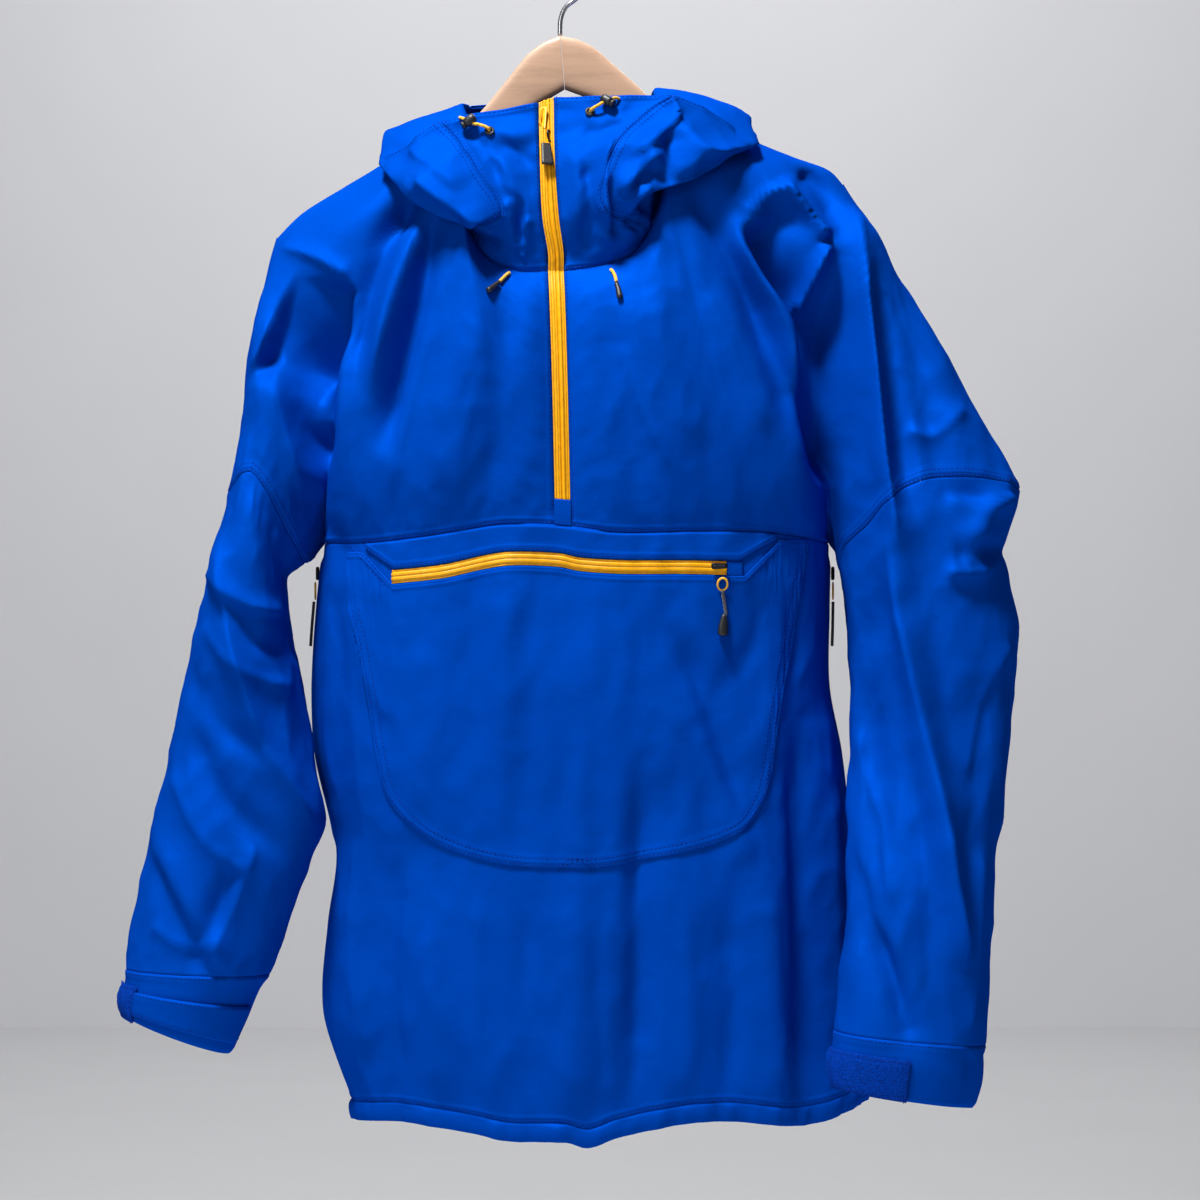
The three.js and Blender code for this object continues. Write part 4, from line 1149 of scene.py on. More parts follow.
@dataclass(frozen=True)
class Braid:
    """Braided cord, with crossing strands."""

    name: str
    color: str
    slot: str

    def material(self) -> bpy.types.Material:
        """Returns the cord's material."""
        g = Graph(self.name)
        base = linear(self.color)
        one = g.bands(260.0, "DIAGONAL")
        two = g.noise(900.0, 1.0)
        braid = g.math("MULTIPLY", one, two)
        g.paint(braid, [(0.1, shade(base, 0.6)), (0.6, shade(base, 1.15))])
        g.relief(braid, 0.0003, 0.8)
        return g.done(Roughness=0.75, Sheen_Weight=0.25)


@dataclass(frozen=True)
class LoopPile:
    """Fuzzy loop fastener, in the cloth's blue."""

    name: str = "loop pile"
    color: str = "03369a"
    slot: str = "loop_patch"

    def material(self) -> bpy.types.Material:
        """Returns the pile's material."""
        g = Graph(self.name)
        base = linear(self.color)
        fibres = g.noise(900.0, 5.0, rough=0.75)
        g.paint(fibres, [(0.35, shade(base, 0.35)), (0.5, base), (0.65, shade(base, 1.5))])
        g.relief(fibres, 0.0012, 1.0)
        return g.done(Roughness=0.95, Specular_IOR_Level=0.02)


@dataclass(frozen=True)
class PaleWood:
    """Varnished pale wood, its grain along the arm."""

    name: str
    lean: float
    color: str = "b6937a"
    slot: str = "wood"

    def material(self) -> bpy.types.Material:
        """Returns the wood's material."""
        g = Graph(self.name)
        base = linear(self.color)
        along = g.stretched((9.0, 60.0, 90.0), self.lean)
        figure = g.noise(1.0, 6.0, along, 0.6)
        pores = g.noise(14.0, 3.0, along, 0.7)
        both = g.math("ADD", g.math("MULTIPLY", figure, 0.75), g.math("MULTIPLY", pores, 0.25))
        g.paint(both, [(0.3, shade(base, 0.74)), (0.5, base), (0.72, shade(base, 1.12))])
        g.gloss(pores, 0.36, 0.52)
        g.relief(both, 0.0002, 0.5)
        return g.done(Coat_Weight=0.2, Coat_Roughness=0.25)


@dataclass(frozen=True)
class Steel:
    """Bright drawn wire."""

    name: str = "bright wire"
    slot: str = "steel"

    def material(self) -> bpy.types.Material:
        """Returns the wire's material."""
        g = Graph(self.name)
        drawn = g.noise(1.0, 3.0, g.stretched((900.0, 900.0, 60.0)))
        g.paint(drawn, [(0.3, (0.42, 0.43, 0.45)), (0.7, (0.66, 0.67, 0.69))])
        g.gloss(drawn, 0.18, 0.34)
        return g.done(Metallic=1.0)


class Dresser:
    """Gives pieces their finishes and puts them on their bodies."""

    def __init__(self) -> None:
        """Starts with no material made."""
        self.made: dict[str, bpy.types.Material] = {}

    def dress(self, piece: Piece, finish: object, body: str = BODY,
              nodes: Sequence[str] = ()) -> Piece:
        """Finishes one piece.

        Args:
            piece: The piece.
            finish: Its finish.
            body: The body that it rides on.
            nodes: The nodes of the frame that it stands for.

        Returns:
            The same piece.
        """
        if finish.name not in self.made:
            self.made[finish.name] = finish.material()
        piece.data.materials.clear()
        piece.data.materials.append(self.made[finish.name])
        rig.ride(piece, body)
        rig.slot(piece, finish.slot)
        if nodes:
            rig.replaces(piece, *nodes)
        log.info("%s: %d faces", piece.name, len(getattr(piece.data, "polygons", ())))
        return piece


SHELL = ShellCloth()
SEWING = ThreadAndShadeDash("sewing thread", "032a86", "shell")
FILM = ZipFilm()
BLACK = Moulded("black moulding", "141518", "black_trim")
ENAMEL = Moulded("yellow enamel", "f0b020", "yellow_wire", 0.32)
GUNMETAL = Moulded("dark metal", "2c2d30", "steel", 0.35, 1.0)
YELLOW_CORD = Braid("yellow cord", "eeb41c", "yellow_cord")
# Darker yellow of the dashes along the front zip's coil: painted shade of the film's grooves over the teeth
TEETH_PAINTED_SHADE = ThreadAndShadeDash("zip teeth painted shade", "a86f08", "zip_tape")
GREY_CORD = Braid("grey cord", "3a3e46", "grey_cord")
PILE = LoopPile()


class Level(NamedTuple):
    """One level of the torso: how far its sides reach, and its depth at front and back."""

    at: float
    right: float
    left: float
    front: float
    back: float


class Height(NamedTuple):
    """A height at a place on X."""

    at: float
    z: float


TORSO = (
    Level(-870, -141, 226, 84, 70), Level(-837, -151, 226, 88, 74), Level(-801, -164, 222, 90, 76),
    Level(-765, -173, 219, 91, 77), Level(-706, -169, 215, 92, 78), Level(-652, -163, 211, 92, 76),
    Level(-583, -177, 204, 91, 72), Level(-534, -179, 195, 89, 68), Level(-480, -176, 195, 86, 64),
    Level(-430, -171, 196, 84, 60),
)
ROUNDNESS = 0.8
YOKE_HEIGHT = 270.0
CHEST = -430.0
MIDDLE = 22.0             # middle of the torso on X
CHEST_SEAM = (
    Height(-171, CHEST), Height(-136, -430), Height(-92, -425), Height(-48, -418), Height(-32, -417),
    Height(0, -418), Height(42, -423), Height(104, -422), Height(150, -423), Height(196, CHEST),
)
HEM_FRONT = (
    Height(-147, -848), Height(-120, -845), Height(-90, -846), Height(-54, -852), Height(-34, -856),
    Height(6, -856), Height(20, -860), Height(42, -853), Height(92, -843), Height(126, -842),
    Height(160, -846), Height(187, -846), Height(225, -834),
)
HEM_BACK = (Height(-147, -848), Height(-40, -858), Height(110, -852), Height(225, -834))
HEM_BAND = 14.0


def torso_point(angle: Array, z: Array, column: str = "front") -> Array:
    """Returns points of the torso; angle 0 is the wearer's right side and pi the left."""
    right, left = lookup(TORSO, "right", z), lookup(TORSO, "left", z)
    side = -1.0 if column == "front" else 1.0
    depth = lookup(TORSO, column, z) * np.maximum(0, np.sin(angle)) ** ROUNDNESS
    x = (right + left) / 2 - (left - right) / 2 * np.cos(angle)
    return np.stack(np.broadcast_arrays(x, side * depth, z), -1)


def angle_at(x: float, z: float) -> float:
    """Returns the torso's angle at a place on X."""
    right, left = float(lookup(TORSO, "right", z)), float(lookup(TORSO, "left", z))
    return math.acos(min(1.0, max(-1.0, ((right + left) / 2 - x) / ((left - right) / 2))))


def seam_point(angle: Array) -> Array:
    """Returns points of the chest seam."""
    level = torso_point(angle, np.full(np.shape(angle), CHEST))
    return torso_point(angle, lookup(CHEST_SEAM, "z", level[..., 0]))


ZIP_BOTTOM_X = (-2.6, 8.6)
SLOT_ANGLES = tuple(angle_at(x, CHEST) for x in ZIP_BOTTOM_X)
NECK_FRONT = {"right": (-8, -62, -236), "left": (3.4, -62, -236)}
ZIP_SLOT = {
    "right": Route([NECK_FRONT["right"], (-7, -70, -256), (-5, -80, -318),
                    torso_point(SLOT_ANGLES[0], -418.0)]),
    "left": Route([NECK_FRONT["left"], (4.4, -70, -256), (6.4, -80, -318),
                   torso_point(SLOT_ANGLES[1], -419.0)]),
}
TIPS = {"right": (-207, 0, -207), "left": (207, 0, -168)}
NECK_SIDES = {"right": (-75, 0, -114), "left": (76, 0, -106)}
NECK_BACK = (0, 36, -106)
UNDERARM = {"right": torso_point(0.0, CHEST), "left": torso_point(math.pi, CHEST)}
SHOULDERS = {
    "right": Route([TIPS["right"], (-188, 0, -189), (-159, 0, -171), (-131, 0, -154), (-103, 0, -134),
                    NECK_SIDES["right"]]),
    "left": Route([TIPS["left"], (197, 0, -158), (173, 0, -149), (150, 0, -140), (112, 0, -123),
                   NECK_SIDES["left"]]),
}
ARMHOLES_FRONT = {
    "right": Route([TIPS["right"], (-184, -26, -215), (-160, -44, -233), (-157, -52, -262),
                    (-162, -52, -304), (-167, -42, -362), (-171, -22, -408), UNDERARM["right"]]),
    "left": Route([TIPS["left"], (187, -26, -178), (176, -44, -206), (177, -52, -262),
                   (184, -50, -330), (192, -36, -384), (196, -18, -416), UNDERARM["left"]]),
}
ARMHOLES_BACK = {
    "right": Route([TIPS["right"], (-187, 26, -216), (-168, 42, -250), (-165, 46, -310),
                    (-169, 38, -370), (-171, 18, -412), UNDERARM["right"]]),
    "left": Route([TIPS["left"], (190, 26, -180), (179, 42, -214), (181, 46, -284), (188, 40, -350),
                   (195, 18, -408), UNDERARM["left"]]),
}
NECKS = {
    "right": Route([NECK_SIDES["right"], (-76, -18, -150), (-68, -40, -196), (-52, -54, -226),
                    (-30, -60, -236), NECK_FRONT["right"]]),
    "left": Route([NECK_SIDES["left"], (79, -18, -146), (70, -40, -192), (52, -54, -224),
                   (30, -60, -232), NECK_FRONT["left"]]),
    "back": Route([NECK_SIDES["left"], (58, 24, -104), NECK_BACK, (-58, 26, -108), NECK_SIDES["right"]]),
}

# The largest folds, which the solids have too
YOKE_FOLDS = {
    "right": (
        Fold(((-104, -176), (-118, -198), (-131, -221), (-146, -276), (-150, -320)), 9, -12),
        Fold(((-88, -190), (-97, -227), (-110, -285), (-127, -352)), 10, -10),
        Fold(((-112, -200), (-122, -240), (-138, -330)), 9, 7),
        Fold(((-60, -270), (-76, -330), (-80, -395)), 14, 5),
        Fold(((-40, -250), (-38, -330), (-52, -400)), 13, -5),
    ),
    "left": (
        Fold(((96, -172), (118, -215), (135, -250), (166, -325)), 13, -13),
        Fold(((136, -190), (162, -186), (182, -220), (178, -276)), 14, -15),
        Fold(((128, -205), (146, -240), (176, -330)), 9, 7),
        Fold(((60, -250), (78, -300), (96, -370)), 14, 5),
        Fold(((34, -262), (42, -330), (60, -400)), 13, -5),
    ),
    "back": (
        Fold(((-120, -200), (-128, -290), (-120, -390)), 12, -8),
        Fold(((126, -190), (132, -280), (124, -390)), 12, -8),
        Fold(((-40, -330), (-44, -420)), 14, 6),
        Fold(((40, -320), (48, -420)), 14, -5),
    ),
}
LOWER_FOLDS = {
    "front": (
        Fold(((86, -498), (104, -533), (120, -577), (137, -630)), 9, -7),
        Fold(((62, -590), (60, -700), (58, -829)), 12, -9),
        Fold(((-64, -450), (-66, -520), (-60, -590)), 12, -5),
        Fold(((-34, -450), (-34, -520), (-36, -588)), 10, 4),
        Fold(((176, -560), (178, -680), (180, -836)), 12, -10),
        Fold(((140, -660), (146, -750), (150, -836)), 13, 8),
        Fold(((-120, -650), (-126, -740), (-118, -836)), 12, -8),
        Fold(((-90, -690), (-84, -760), (-86, -836)), 12, 6),
        Fold(((10, -680), (14, -760), (10, -836)), 14, 6),
    ),
    "back": (
        Fold(((-90, -450), (-96, -600), (-86, -836)), 14, -9),
        Fold(((-30, -450), (-24, -640), (-34, -836)), 15, 8),
        Fold(((40, -470), (52, -640), (46, -836)), 14, -9),
        Fold(((120, -450), (128, -620), (140, -836)), 14, 8),
        Fold(((170, -520), (176, -680), (182, -836)), 11, -8),
        Fold(((-140, -560), (-130, -700), (-126, -836)), 11, 7),
    ),
}
# Finer creases of the front and back, worked on the cloth here
FRONT_CREASES = (
    Fold(((-94, -262), (-104, -300), (-112, -350), (-118, -400)), 7, 2.4, Form.SHARP),
    Fold(((-52, -300), (-66, -352), (-74, -404)), 8, 1.6, Form.SHARP),
    Fold(((44, -288), (56, -330), (84, -384)), 8, 1.6, Form.SHARP),
    Fold(((104, -250), (122, -292), (150, -356)), 7, 2.4, Form.SHARP),
    Fold(((-150, -470), (-140, -520), (-118, -560)), 9, 2.2, Form.SHARP),
    Fold(((150, -470), (140, -500), (112, -540)), 8, -1.8),
    Fold(((96, -560), (118, -610), (138, -660)), 9, 2.6, Form.SHARP),
    Fold(((20, -500), (34, -560), (40, -640)), 14, 1.8),
    Fold(((-24, -520), (-30, -600), (-22, -660)), 12, -1.8),
    Fold(((-100, -500), (-92, -560), (-96, -630)), 10, 1.6, Form.SHARP),
    Fold(((-56, -680), (-60, -750), (-52, -830)), 10, 2.4, Form.SHARP),
    Fold(((-20, -690), (-26, -760), (-18, -832)), 9, -2.2),
    Fold(((36, -690), (34, -760), (40, -836)), 8, 2.2, Form.SHARP),
    Fold(((90, -670), (92, -750), (88, -830)), 11, 2.6, Form.SHARP),
    Fold(((118, -690), (122, -760), (116, -830)), 9, -2.4),
    Fold(((-146, -640), (-150, -720), (-140, -800)), 8, 2.6, Form.SHARP),
    Fold(((196, -600), (200, -700), (206, -810)), 8, 2.6, Form.SHARP),
    Fold(((160, -470), (168, -540), (168, -620)), 9, -2.2),
    Fold(((-166, -450), (-160, -520), (-164, -590)), 8, -2.4),
)
BACK_CREASES = (
    Fold(((-150, -230), (-140, -300), (-146, -400)), 9, 2.6, Form.SHARP),
    Fold(((-86, -240), (-96, -330), (-90, -420)), 9, -2.2),
    Fold(((86, -230), (96, -320), (88, -420)), 9, 2.2, Form.SHARP),
    Fold(((156, -220), (150, -310), (152, -410)), 9, -2.6),
    Fold(((-60, -460), (-66, -560), (-58, -700)), 10, 2.4, Form.SHARP),
    Fold(((10, -440), (6, -560), (14, -760)), 10, 2.6, Form.SHARP),
    Fold(((84, -450), (90, -560), (86, -740)), 10, -2.4),
    Fold(((-120, -450), (-116, -560), (-122, -760)), 9, -2.4),
    Fold(((150, -480), (158, -600), (160, -780)), 9, 2.4, Form.SHARP),
    Fold(((-4, -620), (-10, -720), (-6, -830)), 8, -2.0),
)


def ramp(t: Array, share: float) -> Array:
    """Returns 0 at both ends of 0 to 1 and 1 further than share from them, in a straight rise."""
    return np.minimum(1, t / share) * np.minimum(1, (1 - t) / share)


def outward_of_torso(points: Array, side: float) -> Array:
    """Returns directions out of the torso that neighbours at a seam share.

    Args:
        points: Points on the cloth.
        side: -1 for the front and 1 for the back.

    Returns:
        Level directions of length 1.
    """
    lean = ((points[..., 0] - MIDDLE) / 190.0) ** 3
    return unit(np.stack([0.9 * lean, np.full(lean.shape, side), np.zeros(lean.shape)], -1))


def creases(points: Array, folds: Sequence[Fold], side: float) -> Array:
    """Adds the finer creases and the slack of a hanging cloth to the torso.

    Args:
        points: Points on the cloth.
        folds: The creases.
        side: -1 for the front and 1 for the back.

    Returns:
        The height of each point.
    """
    return slack(fold_heights(folds, points), points, TORSO_SLACK, side)


def puckers(along: Array, away: Array, reach: float, height: float, seed: float, wave: float = 9.0) -> Array:
    """Returns the small gathers that stitches pull beside a seam.

    Args:
        along: Distance along the seam.
        away: Distance from the seam.
        reach: How far the gathers run into the cloth.
        height: Height of the gathers.
        seed: Which of the patterns is used.
        wave: Width of a gather.

    Returns:
        The height of each point, which is 0 on the seam.
    """
    grid = np.stack([along / wave, np.full(along.shape, seed), away / (reach * 1.6)], -1)
    share = away / reach
    return height * share * np.exp(1 - share) * waves(grid, (1, 1, 1), seed)


@dataclass
class Yokes:
    """The two front yokes and the back yoke."""

    bulge_front: Place = (-17, -3)
    bulge_back: Place = (14, -46)
    width: float = 190.0
    panels: dict[str, Panel] = field(default_factory=dict)

    @staticmethod
    def coons(top: Array, bottom: Array, first: Array, last: Array, a: Array, v: Array,
              bulge: Place) -> Array:
        """Fills four edges with a swelling surface.

        Args:
            top: Points along the top edge.
            bottom: Points along the bottom edge.
            first: Points down the first side.
            last: Points down the last side.
            a: Shares along the top, for each column.
            v: Shares down the sides, for each row.
            bulge: How far it swells high up and in the middle.

        Returns:
            The grid of points.
        """
        a2, v2 = a[None, :, None], v[:, None, None]
        grid = first[:, None] * (1 - a2) + last[:, None] * a2 + top[None] * (1 - v2) + bottom[None] * v2
        grid = grid - top[0] * (1 - a2) * (1 - v2) - top[-1] * a2 * (1 - v2)
        grid = grid - bottom[0] * (1 - a2) * v2 - bottom[-1] * a2 * v2
        drop = np.sqrt(v)[:, None]
        swell = bulge[0] * drop * (1 - drop) + bulge[1] * (v * (1 - v))[:, None]
        grid[..., 1] += 4 * swell * np.sin(np.pi * a)[None] ** 0.6
        return grid

    def shaped(self, name: str, grid: Array, a: Array, v: Array, key: str) -> Panel:
        """Adds folds and creases to a yoke.

        Args:
            name: Name of the panel.
            grid: Its points.
            a: Shares along the top.
            v: Shares down the sides.
            key: Whose folds it takes.

        Returns:
            The panel.
        """
        panel = Panel(name, grid)
        hold = ramp(v, 1 / 12)[:, None] * ramp(a, 1 / 12)[None]
        panel.raise_by(hold * fold_heights(YOKE_FOLDS[key], grid))
        side = 1.0 if key == "back" else FRONT
        folds = BACK_CREASES if key == "back" else FRONT_CREASES
        free = smooth(v, 0.0, 0.12)[:, None] * ramp(a, 0.1)[None]
        height = free * creases(panel.points, folds, side)
        down, across = panel.distance(Edge.TOP), panel.distance(Edge.FIRST)
        up = panel.distance(Edge.BOTTOM)
        height += puckers(across, up, 11, 0.7, 2.0 + side)
        height += puckers(across, down, 12, 0.8, 4.0 + side)
        if key != "back":
            beside = panel.distance(Edge.LAST if key == "right" else Edge.FIRST)
            height += puckers(down, beside, 10, 0.5, 6.0)
        return panel.raise_by(height, outward_of_torso(panel.points, side))

    def build(self) -> None:
        """Makes the three panels."""
        v = spaced(YOKE_HEIGHT, CELL)
        a = spaced(self.width, CELL, start=False)
        low, high = a[a < 0.5], a[a >= 0.5]
        right_top = np.concatenate([SHOULDERS["right"].at(2 * low), NECKS["right"].at(2 * high - 1)])
        right = self.coons(right_top, seam_point(SLOT_ANGLES[0] * a), ARMHOLES_FRONT["right"].at(v),
                           ZIP_SLOT["right"].at(v), a, v, self.bulge_front)
        a_right, a = a, spaced(self.width, CELL, end=False)
        low, high = a[a < 0.5], a[a >= 0.5]
        left_top = np.concatenate([NECKS["left"].at(1 - 2 * low), SHOULDERS["left"].at(2 - 2 * high)])
        left_angles = SLOT_ANGLES[1] + (math.pi - SLOT_ANGLES[1]) * a
        left = self.coons(left_top, seam_point(left_angles), ZIP_SLOT["left"].at(v),
                          ARMHOLES_FRONT["left"].at(v), a, v, self.bulge_front)
        v_back = spaced(YOKE_HEIGHT, CELL_BACK)
        b = spaced(2 * self.width, CELL_BACK, start=False, end=False)
        parts = (b[b < 0.25], b[(b >= 0.25) & (b <= 0.75)], b[b > 0.75])
        back_top = np.concatenate([SHOULDERS["left"].at(4 * parts[0]), NECKS["back"].at(2 * parts[1] - 0.5),
                                   SHOULDERS["right"].at(4 - 4 * parts[2])])
        back_seam = torso_point(math.pi * (1 - b), np.full(len(b), CHEST), "back")
        back = self.coons(back_top, back_seam, ARMHOLES_BACK["left"].at(v_back),
                          ARMHOLES_BACK["right"].at(v_back), b, v_back, self.bulge_back)
        self.panels = {
            "yoke_front_r": self.shaped("yoke_front_r_cloth", right, a_right, v, "right"),
            "yoke_front_l": self.shaped("yoke_front_l_cloth", left, a, v, "left"),
            "yoke_back": self.shaped("yoke_back_cloth", back, b, v_back, "back"),
        }
        front = {Edge.TOP: Seam.PLAIN, Edge.BOTTOM: Seam.SINGLE}
        self.panels["yoke_front_r"].seams = {**front, Edge.LAST: Seam.SINGLE}
        self.panels["yoke_front_l"].seams = {**front, Edge.FIRST: Seam.SINGLE}
        self.panels["yoke_back"].seams = {Edge.TOP: Seam.PLAIN, Edge.BOTTOM: Seam.DOUBLE}


@dataclass
class Lowers:
    """The lower front and back, and the hem casing below them."""

    height: float = 410.0
    girth: float = 480.0
    welt_height: float = 2.4                        # the ridge of cloth beside each pit zip
    welt_away: float = 6.8
    welt_width: float = 2.6
    panels: dict[str, Panel] = field(default_factory=dict)

    @staticmethod
    def points(angle: Array, v: Array, column: str) -> Array:
        """Returns the grid of the lower front or back, with its largest folds."""
        front = column == "front"
        top = seam_point(angle)[:, 2] if front else np.full(len(angle), CHEST)
        hem = HEM_FRONT if front else HEM_BACK
        level = torso_point(angle, np.full(len(angle), -845.0))[:, 0]
        bottom = lookup(hem, "z", level) + HEM_BAND
        z = top[None] + (bottom - top)[None] * v[:, None]
        wide = np.broadcast_to(angle, z.shape)
        grid = torso_point(wide, z, column)
        out = grid - np.array([MIDDLE, 0, 0])
        out[..., 2] = 0
        height = fold_heights(LOWER_FOLDS[column], grid)
        hold = np.minimum(1, v * 12)[:, None] * np.minimum(1, np.sin(angle) * 5)[None]
        return grid + unit(out) * (height * np.maximum(0, hold))[..., None]

    def shaped(self, column: str, angle: Array, cell: float) -> Panel:
        """Makes one lower panel."""
        v = spaced(self.height, cell)
        panel = Panel(f"{column}_lower_cloth", self.points(angle, v, column))
        side = FRONT if column == "front" else 1.0
        folds = FRONT_CREASES if column == "front" else BACK_CREASES
        free = np.clip(np.sin(angle) * 4, 0, 1)[None]
        height = free * creases(panel.points, folds, side)
        down, up, across = (panel.distance(edge) for edge in (Edge.TOP, Edge.BOTTOM, Edge.FIRST))
        outside = smooth(np.abs(panel.points[..., 0] - 8.0), 140.0, 158.0) if side == FRONT else 1.0
        height += outside * puckers(across, down, 12, 0.8, 8.0 + side)
        gather = 1.6 * waves(np.stack([across / 13, np.full(across.shape, 2.0), up / 90], -1), (1, 1, 1), 4.4)
        height += free * gather * np.exp(-up / 34)
        z = panel.points[..., 2]
        beside = np.minimum(across, panel.distance(Edge.LAST))
        welt = self.welt_height * hump(beside, self.welt_away, self.welt_width)
        height += welt * smooth(z, PIT_BOTTOM - 12, PIT_BOTTOM) * (1 - smooth(z, PIT_TOP, PIT_TOP + 8))
        return panel.raise_by(height, outward_of_torso(panel.points, side))

    def casing(self, above: Panel, column: str) -> Panel:
        """Makes the hem casing, gathered on its drawcord.

        Args:
            above: The panel that it is sewn to.
            column: Front or back.

        Returns:
            The casing.
        """
        edge = above.points[-1]
        rows = np.linspace(-0.3, 1, 17)
        grid = np.repeat(edge[None], len(rows), axis=0)
        grid[..., 2] -= HEM_BAND * rows[:, None]
        out = grid - np.array([MIDDLE, 0, 0])
        out[..., 2] = 0
        grid -= 0.9 * unit(out) * (1 - smooth(rows, 0.0, 0.12))[:, None, None]
        along = np.concatenate([[0.0], np.cumsum(np.linalg.norm(np.diff(edge, axis=0), axis=1))])
        sway = 1.1 * np.sin((grid[..., 0] + grid[..., 1]) / 5.3)
        sway += 0.7 * np.sin((grid[..., 0] + grid[..., 1]) / 2.9 + 1)
        fine = np.stack([np.broadcast_to(along / 4.5, sway.shape), grid[..., 2] / 60, grid[..., 1] * 0], -1)
        sway = 0.6 * sway + 1.1 * waves(fine, (1, 1, 1), 7.7)
        hold = smooth(rows, 0.0, 0.3)[:, None] * ramp(np.linspace(0, 1, len(edge)), 0.03)[None]
        roll = 1.5 * np.sin(np.pi * np.clip(rows * 1.05, 0, 1))[:, None] ** 0.7
        grid = grid + unit(out) * (hold * sway + roll)[..., None]
        return Panel(f"hem_{column}_casing", grid)

    def build(self) -> None:
        """Makes the two lower panels and the two casings."""
        front = np.pi * spaced(self.girth, 2.8)
        back = np.pi * (1 - spaced(self.girth, CELL_BACK))
        for column, angle, cell in (("front", front, CELL), ("back", back, CELL_BACK)):
            panel = self.shaped(column, angle, cell)
            self.panels[f"{column}_lower"] = panel
            self.panels[f"hem_{column}"] = self.casing(panel, column)
            panel.seams = {Edge.TOP: Seam.PLAIN, Edge.BOTTOM: Seam.SINGLE,
                           Edge.FIRST: Seam.PLAIN, Edge.LAST: Seam.PLAIN}
            self.panels[f"hem_{column}"].seams = {Edge.TOP: Seam.PLAIN}


class Ring(NamedTuple):
    """One ring of a sleeve: its outer and inner edge, how far forward its middle lies, its depths."""

    out_x: float
    out_z: float
    in_x: float
    in_z: float
    mid: float
    front: float
    back: float


SLEEVE_RINGS = {
    "right": (
        Ring(-217, -245, -180, -440, 0, 54, 50), Ring(-226, -296, -191, -447, -2, 62, 56),
        Ring(-231, -340, -200, -455, -4, 66, 60), Ring(-239, -394, -199, -471, -8, 68, 62),
        Ring(-248, -437, -196, -495, -12, 66, 62), Ring(-261, -486, -191, -520, -17, 62, 60),
        Ring(-273, -541, -185, -547, -23, 58, 57), Ring(-285, -599, -179, -588, -30, 53, 52),
        Ring(-296, -654, -173, -629, -38, 49, 48), Ring(-305, -700, -186, -676, -42, 46, 45),
        Ring(-310, -736, -210, -740, -44, 44, 43),
    ),
    "left": (
        Ring(229, -204, 203, -441, 0, 54, 50), Ring(271, -272, 207, -460, -4, 62, 54),
        Ring(299, -330, 210, -485, -9, 64, 56), Ring(331, -391, 211, -510, -15, 60, 56),
        Ring(320, -436, 211, -530, -21, 56, 54), Ring(329, -484, 210, -560, -28, 53, 51),
        Ring(326, -536, 209, -596, -36, 50, 48), Ring(319, -600, 208, -636, -54, 48, 45),
        Ring(311, -666, 205, -682, -68, 46, 43), Ring(304, -732, 201, -728, -78, 43, 41),
        Ring(301, -786, 196, -776, -86, 40, 38),
    ),
}
CUFF_RINGS = {
    "right": (
        Ring(-312, -746, -219, -757, -45, 42, 41), Ring(-315, -757, -227, -776, -45, 40, 38),
        Ring(-314, -768, -236, -797, -45, 39, 37),
    ),
    "left": (
        Ring(300, -800, 194, -788, -88, 39, 37), Ring(298, -814, 193, -800, -88, 38, 35),
        Ring(294, -830, 194, -815, -88, 37, 34),
    ),
}
HALF_RING = 12            # columns of the solids in half a ring, which the sleeve's places count in
ELBOW_OUTER, ELBOW_MIDDLE, ELBOW_INNER = 4.0, 2.6, 1.6
SLEEVE_FOLDS = {
    "right": (
        Fold(((-240, -418), (-238, -460), (-222, -545), (-172, -640)), 10, 7),
        Fold(((-196, -240), (-186, -300), (-178, -380)), 12, -9),
        Fold(((-214, -290), (-196, -360), (-168, -400)), 9, 5),
        Fold(((-262, -560), (-240, -610), (-196, -650)), 10, -6),
        Fold(((-286, -640), (-262, -690), (-236, -730)), 10, 6),
        Fold(((-226, -650), (-246, -700), (-262, -738)), 9, -6),
        Fold(((-238, -474), (-216, -500), (-196, -506)), 8, -5),
    ),
    "left": (
        Fold(((214, -203), (220, -247), (232, -355), (242, -428), (253, -514), (262, -588), (275, -676),
              (283, -735)), 10, 10),
        Fold(((244, -215), (258, -300), (276, -380), (312, -410)), 13, -8),
        Fold(((214, -700), (231, -728), (244, -760), (250, -784)), 9, -7),
        Fold(((318, -392), (300, -420), (290, -446)), 9, 7),
        Fold(((322, -440), (296, -436), (280, -440)), 8, -6),
        Fold(((222, -520), (226, -600), (226, -680)), 12, -6),
        Fold(((300, -520), (296, -600), (290, -680)), 12, -5),
    ),
}
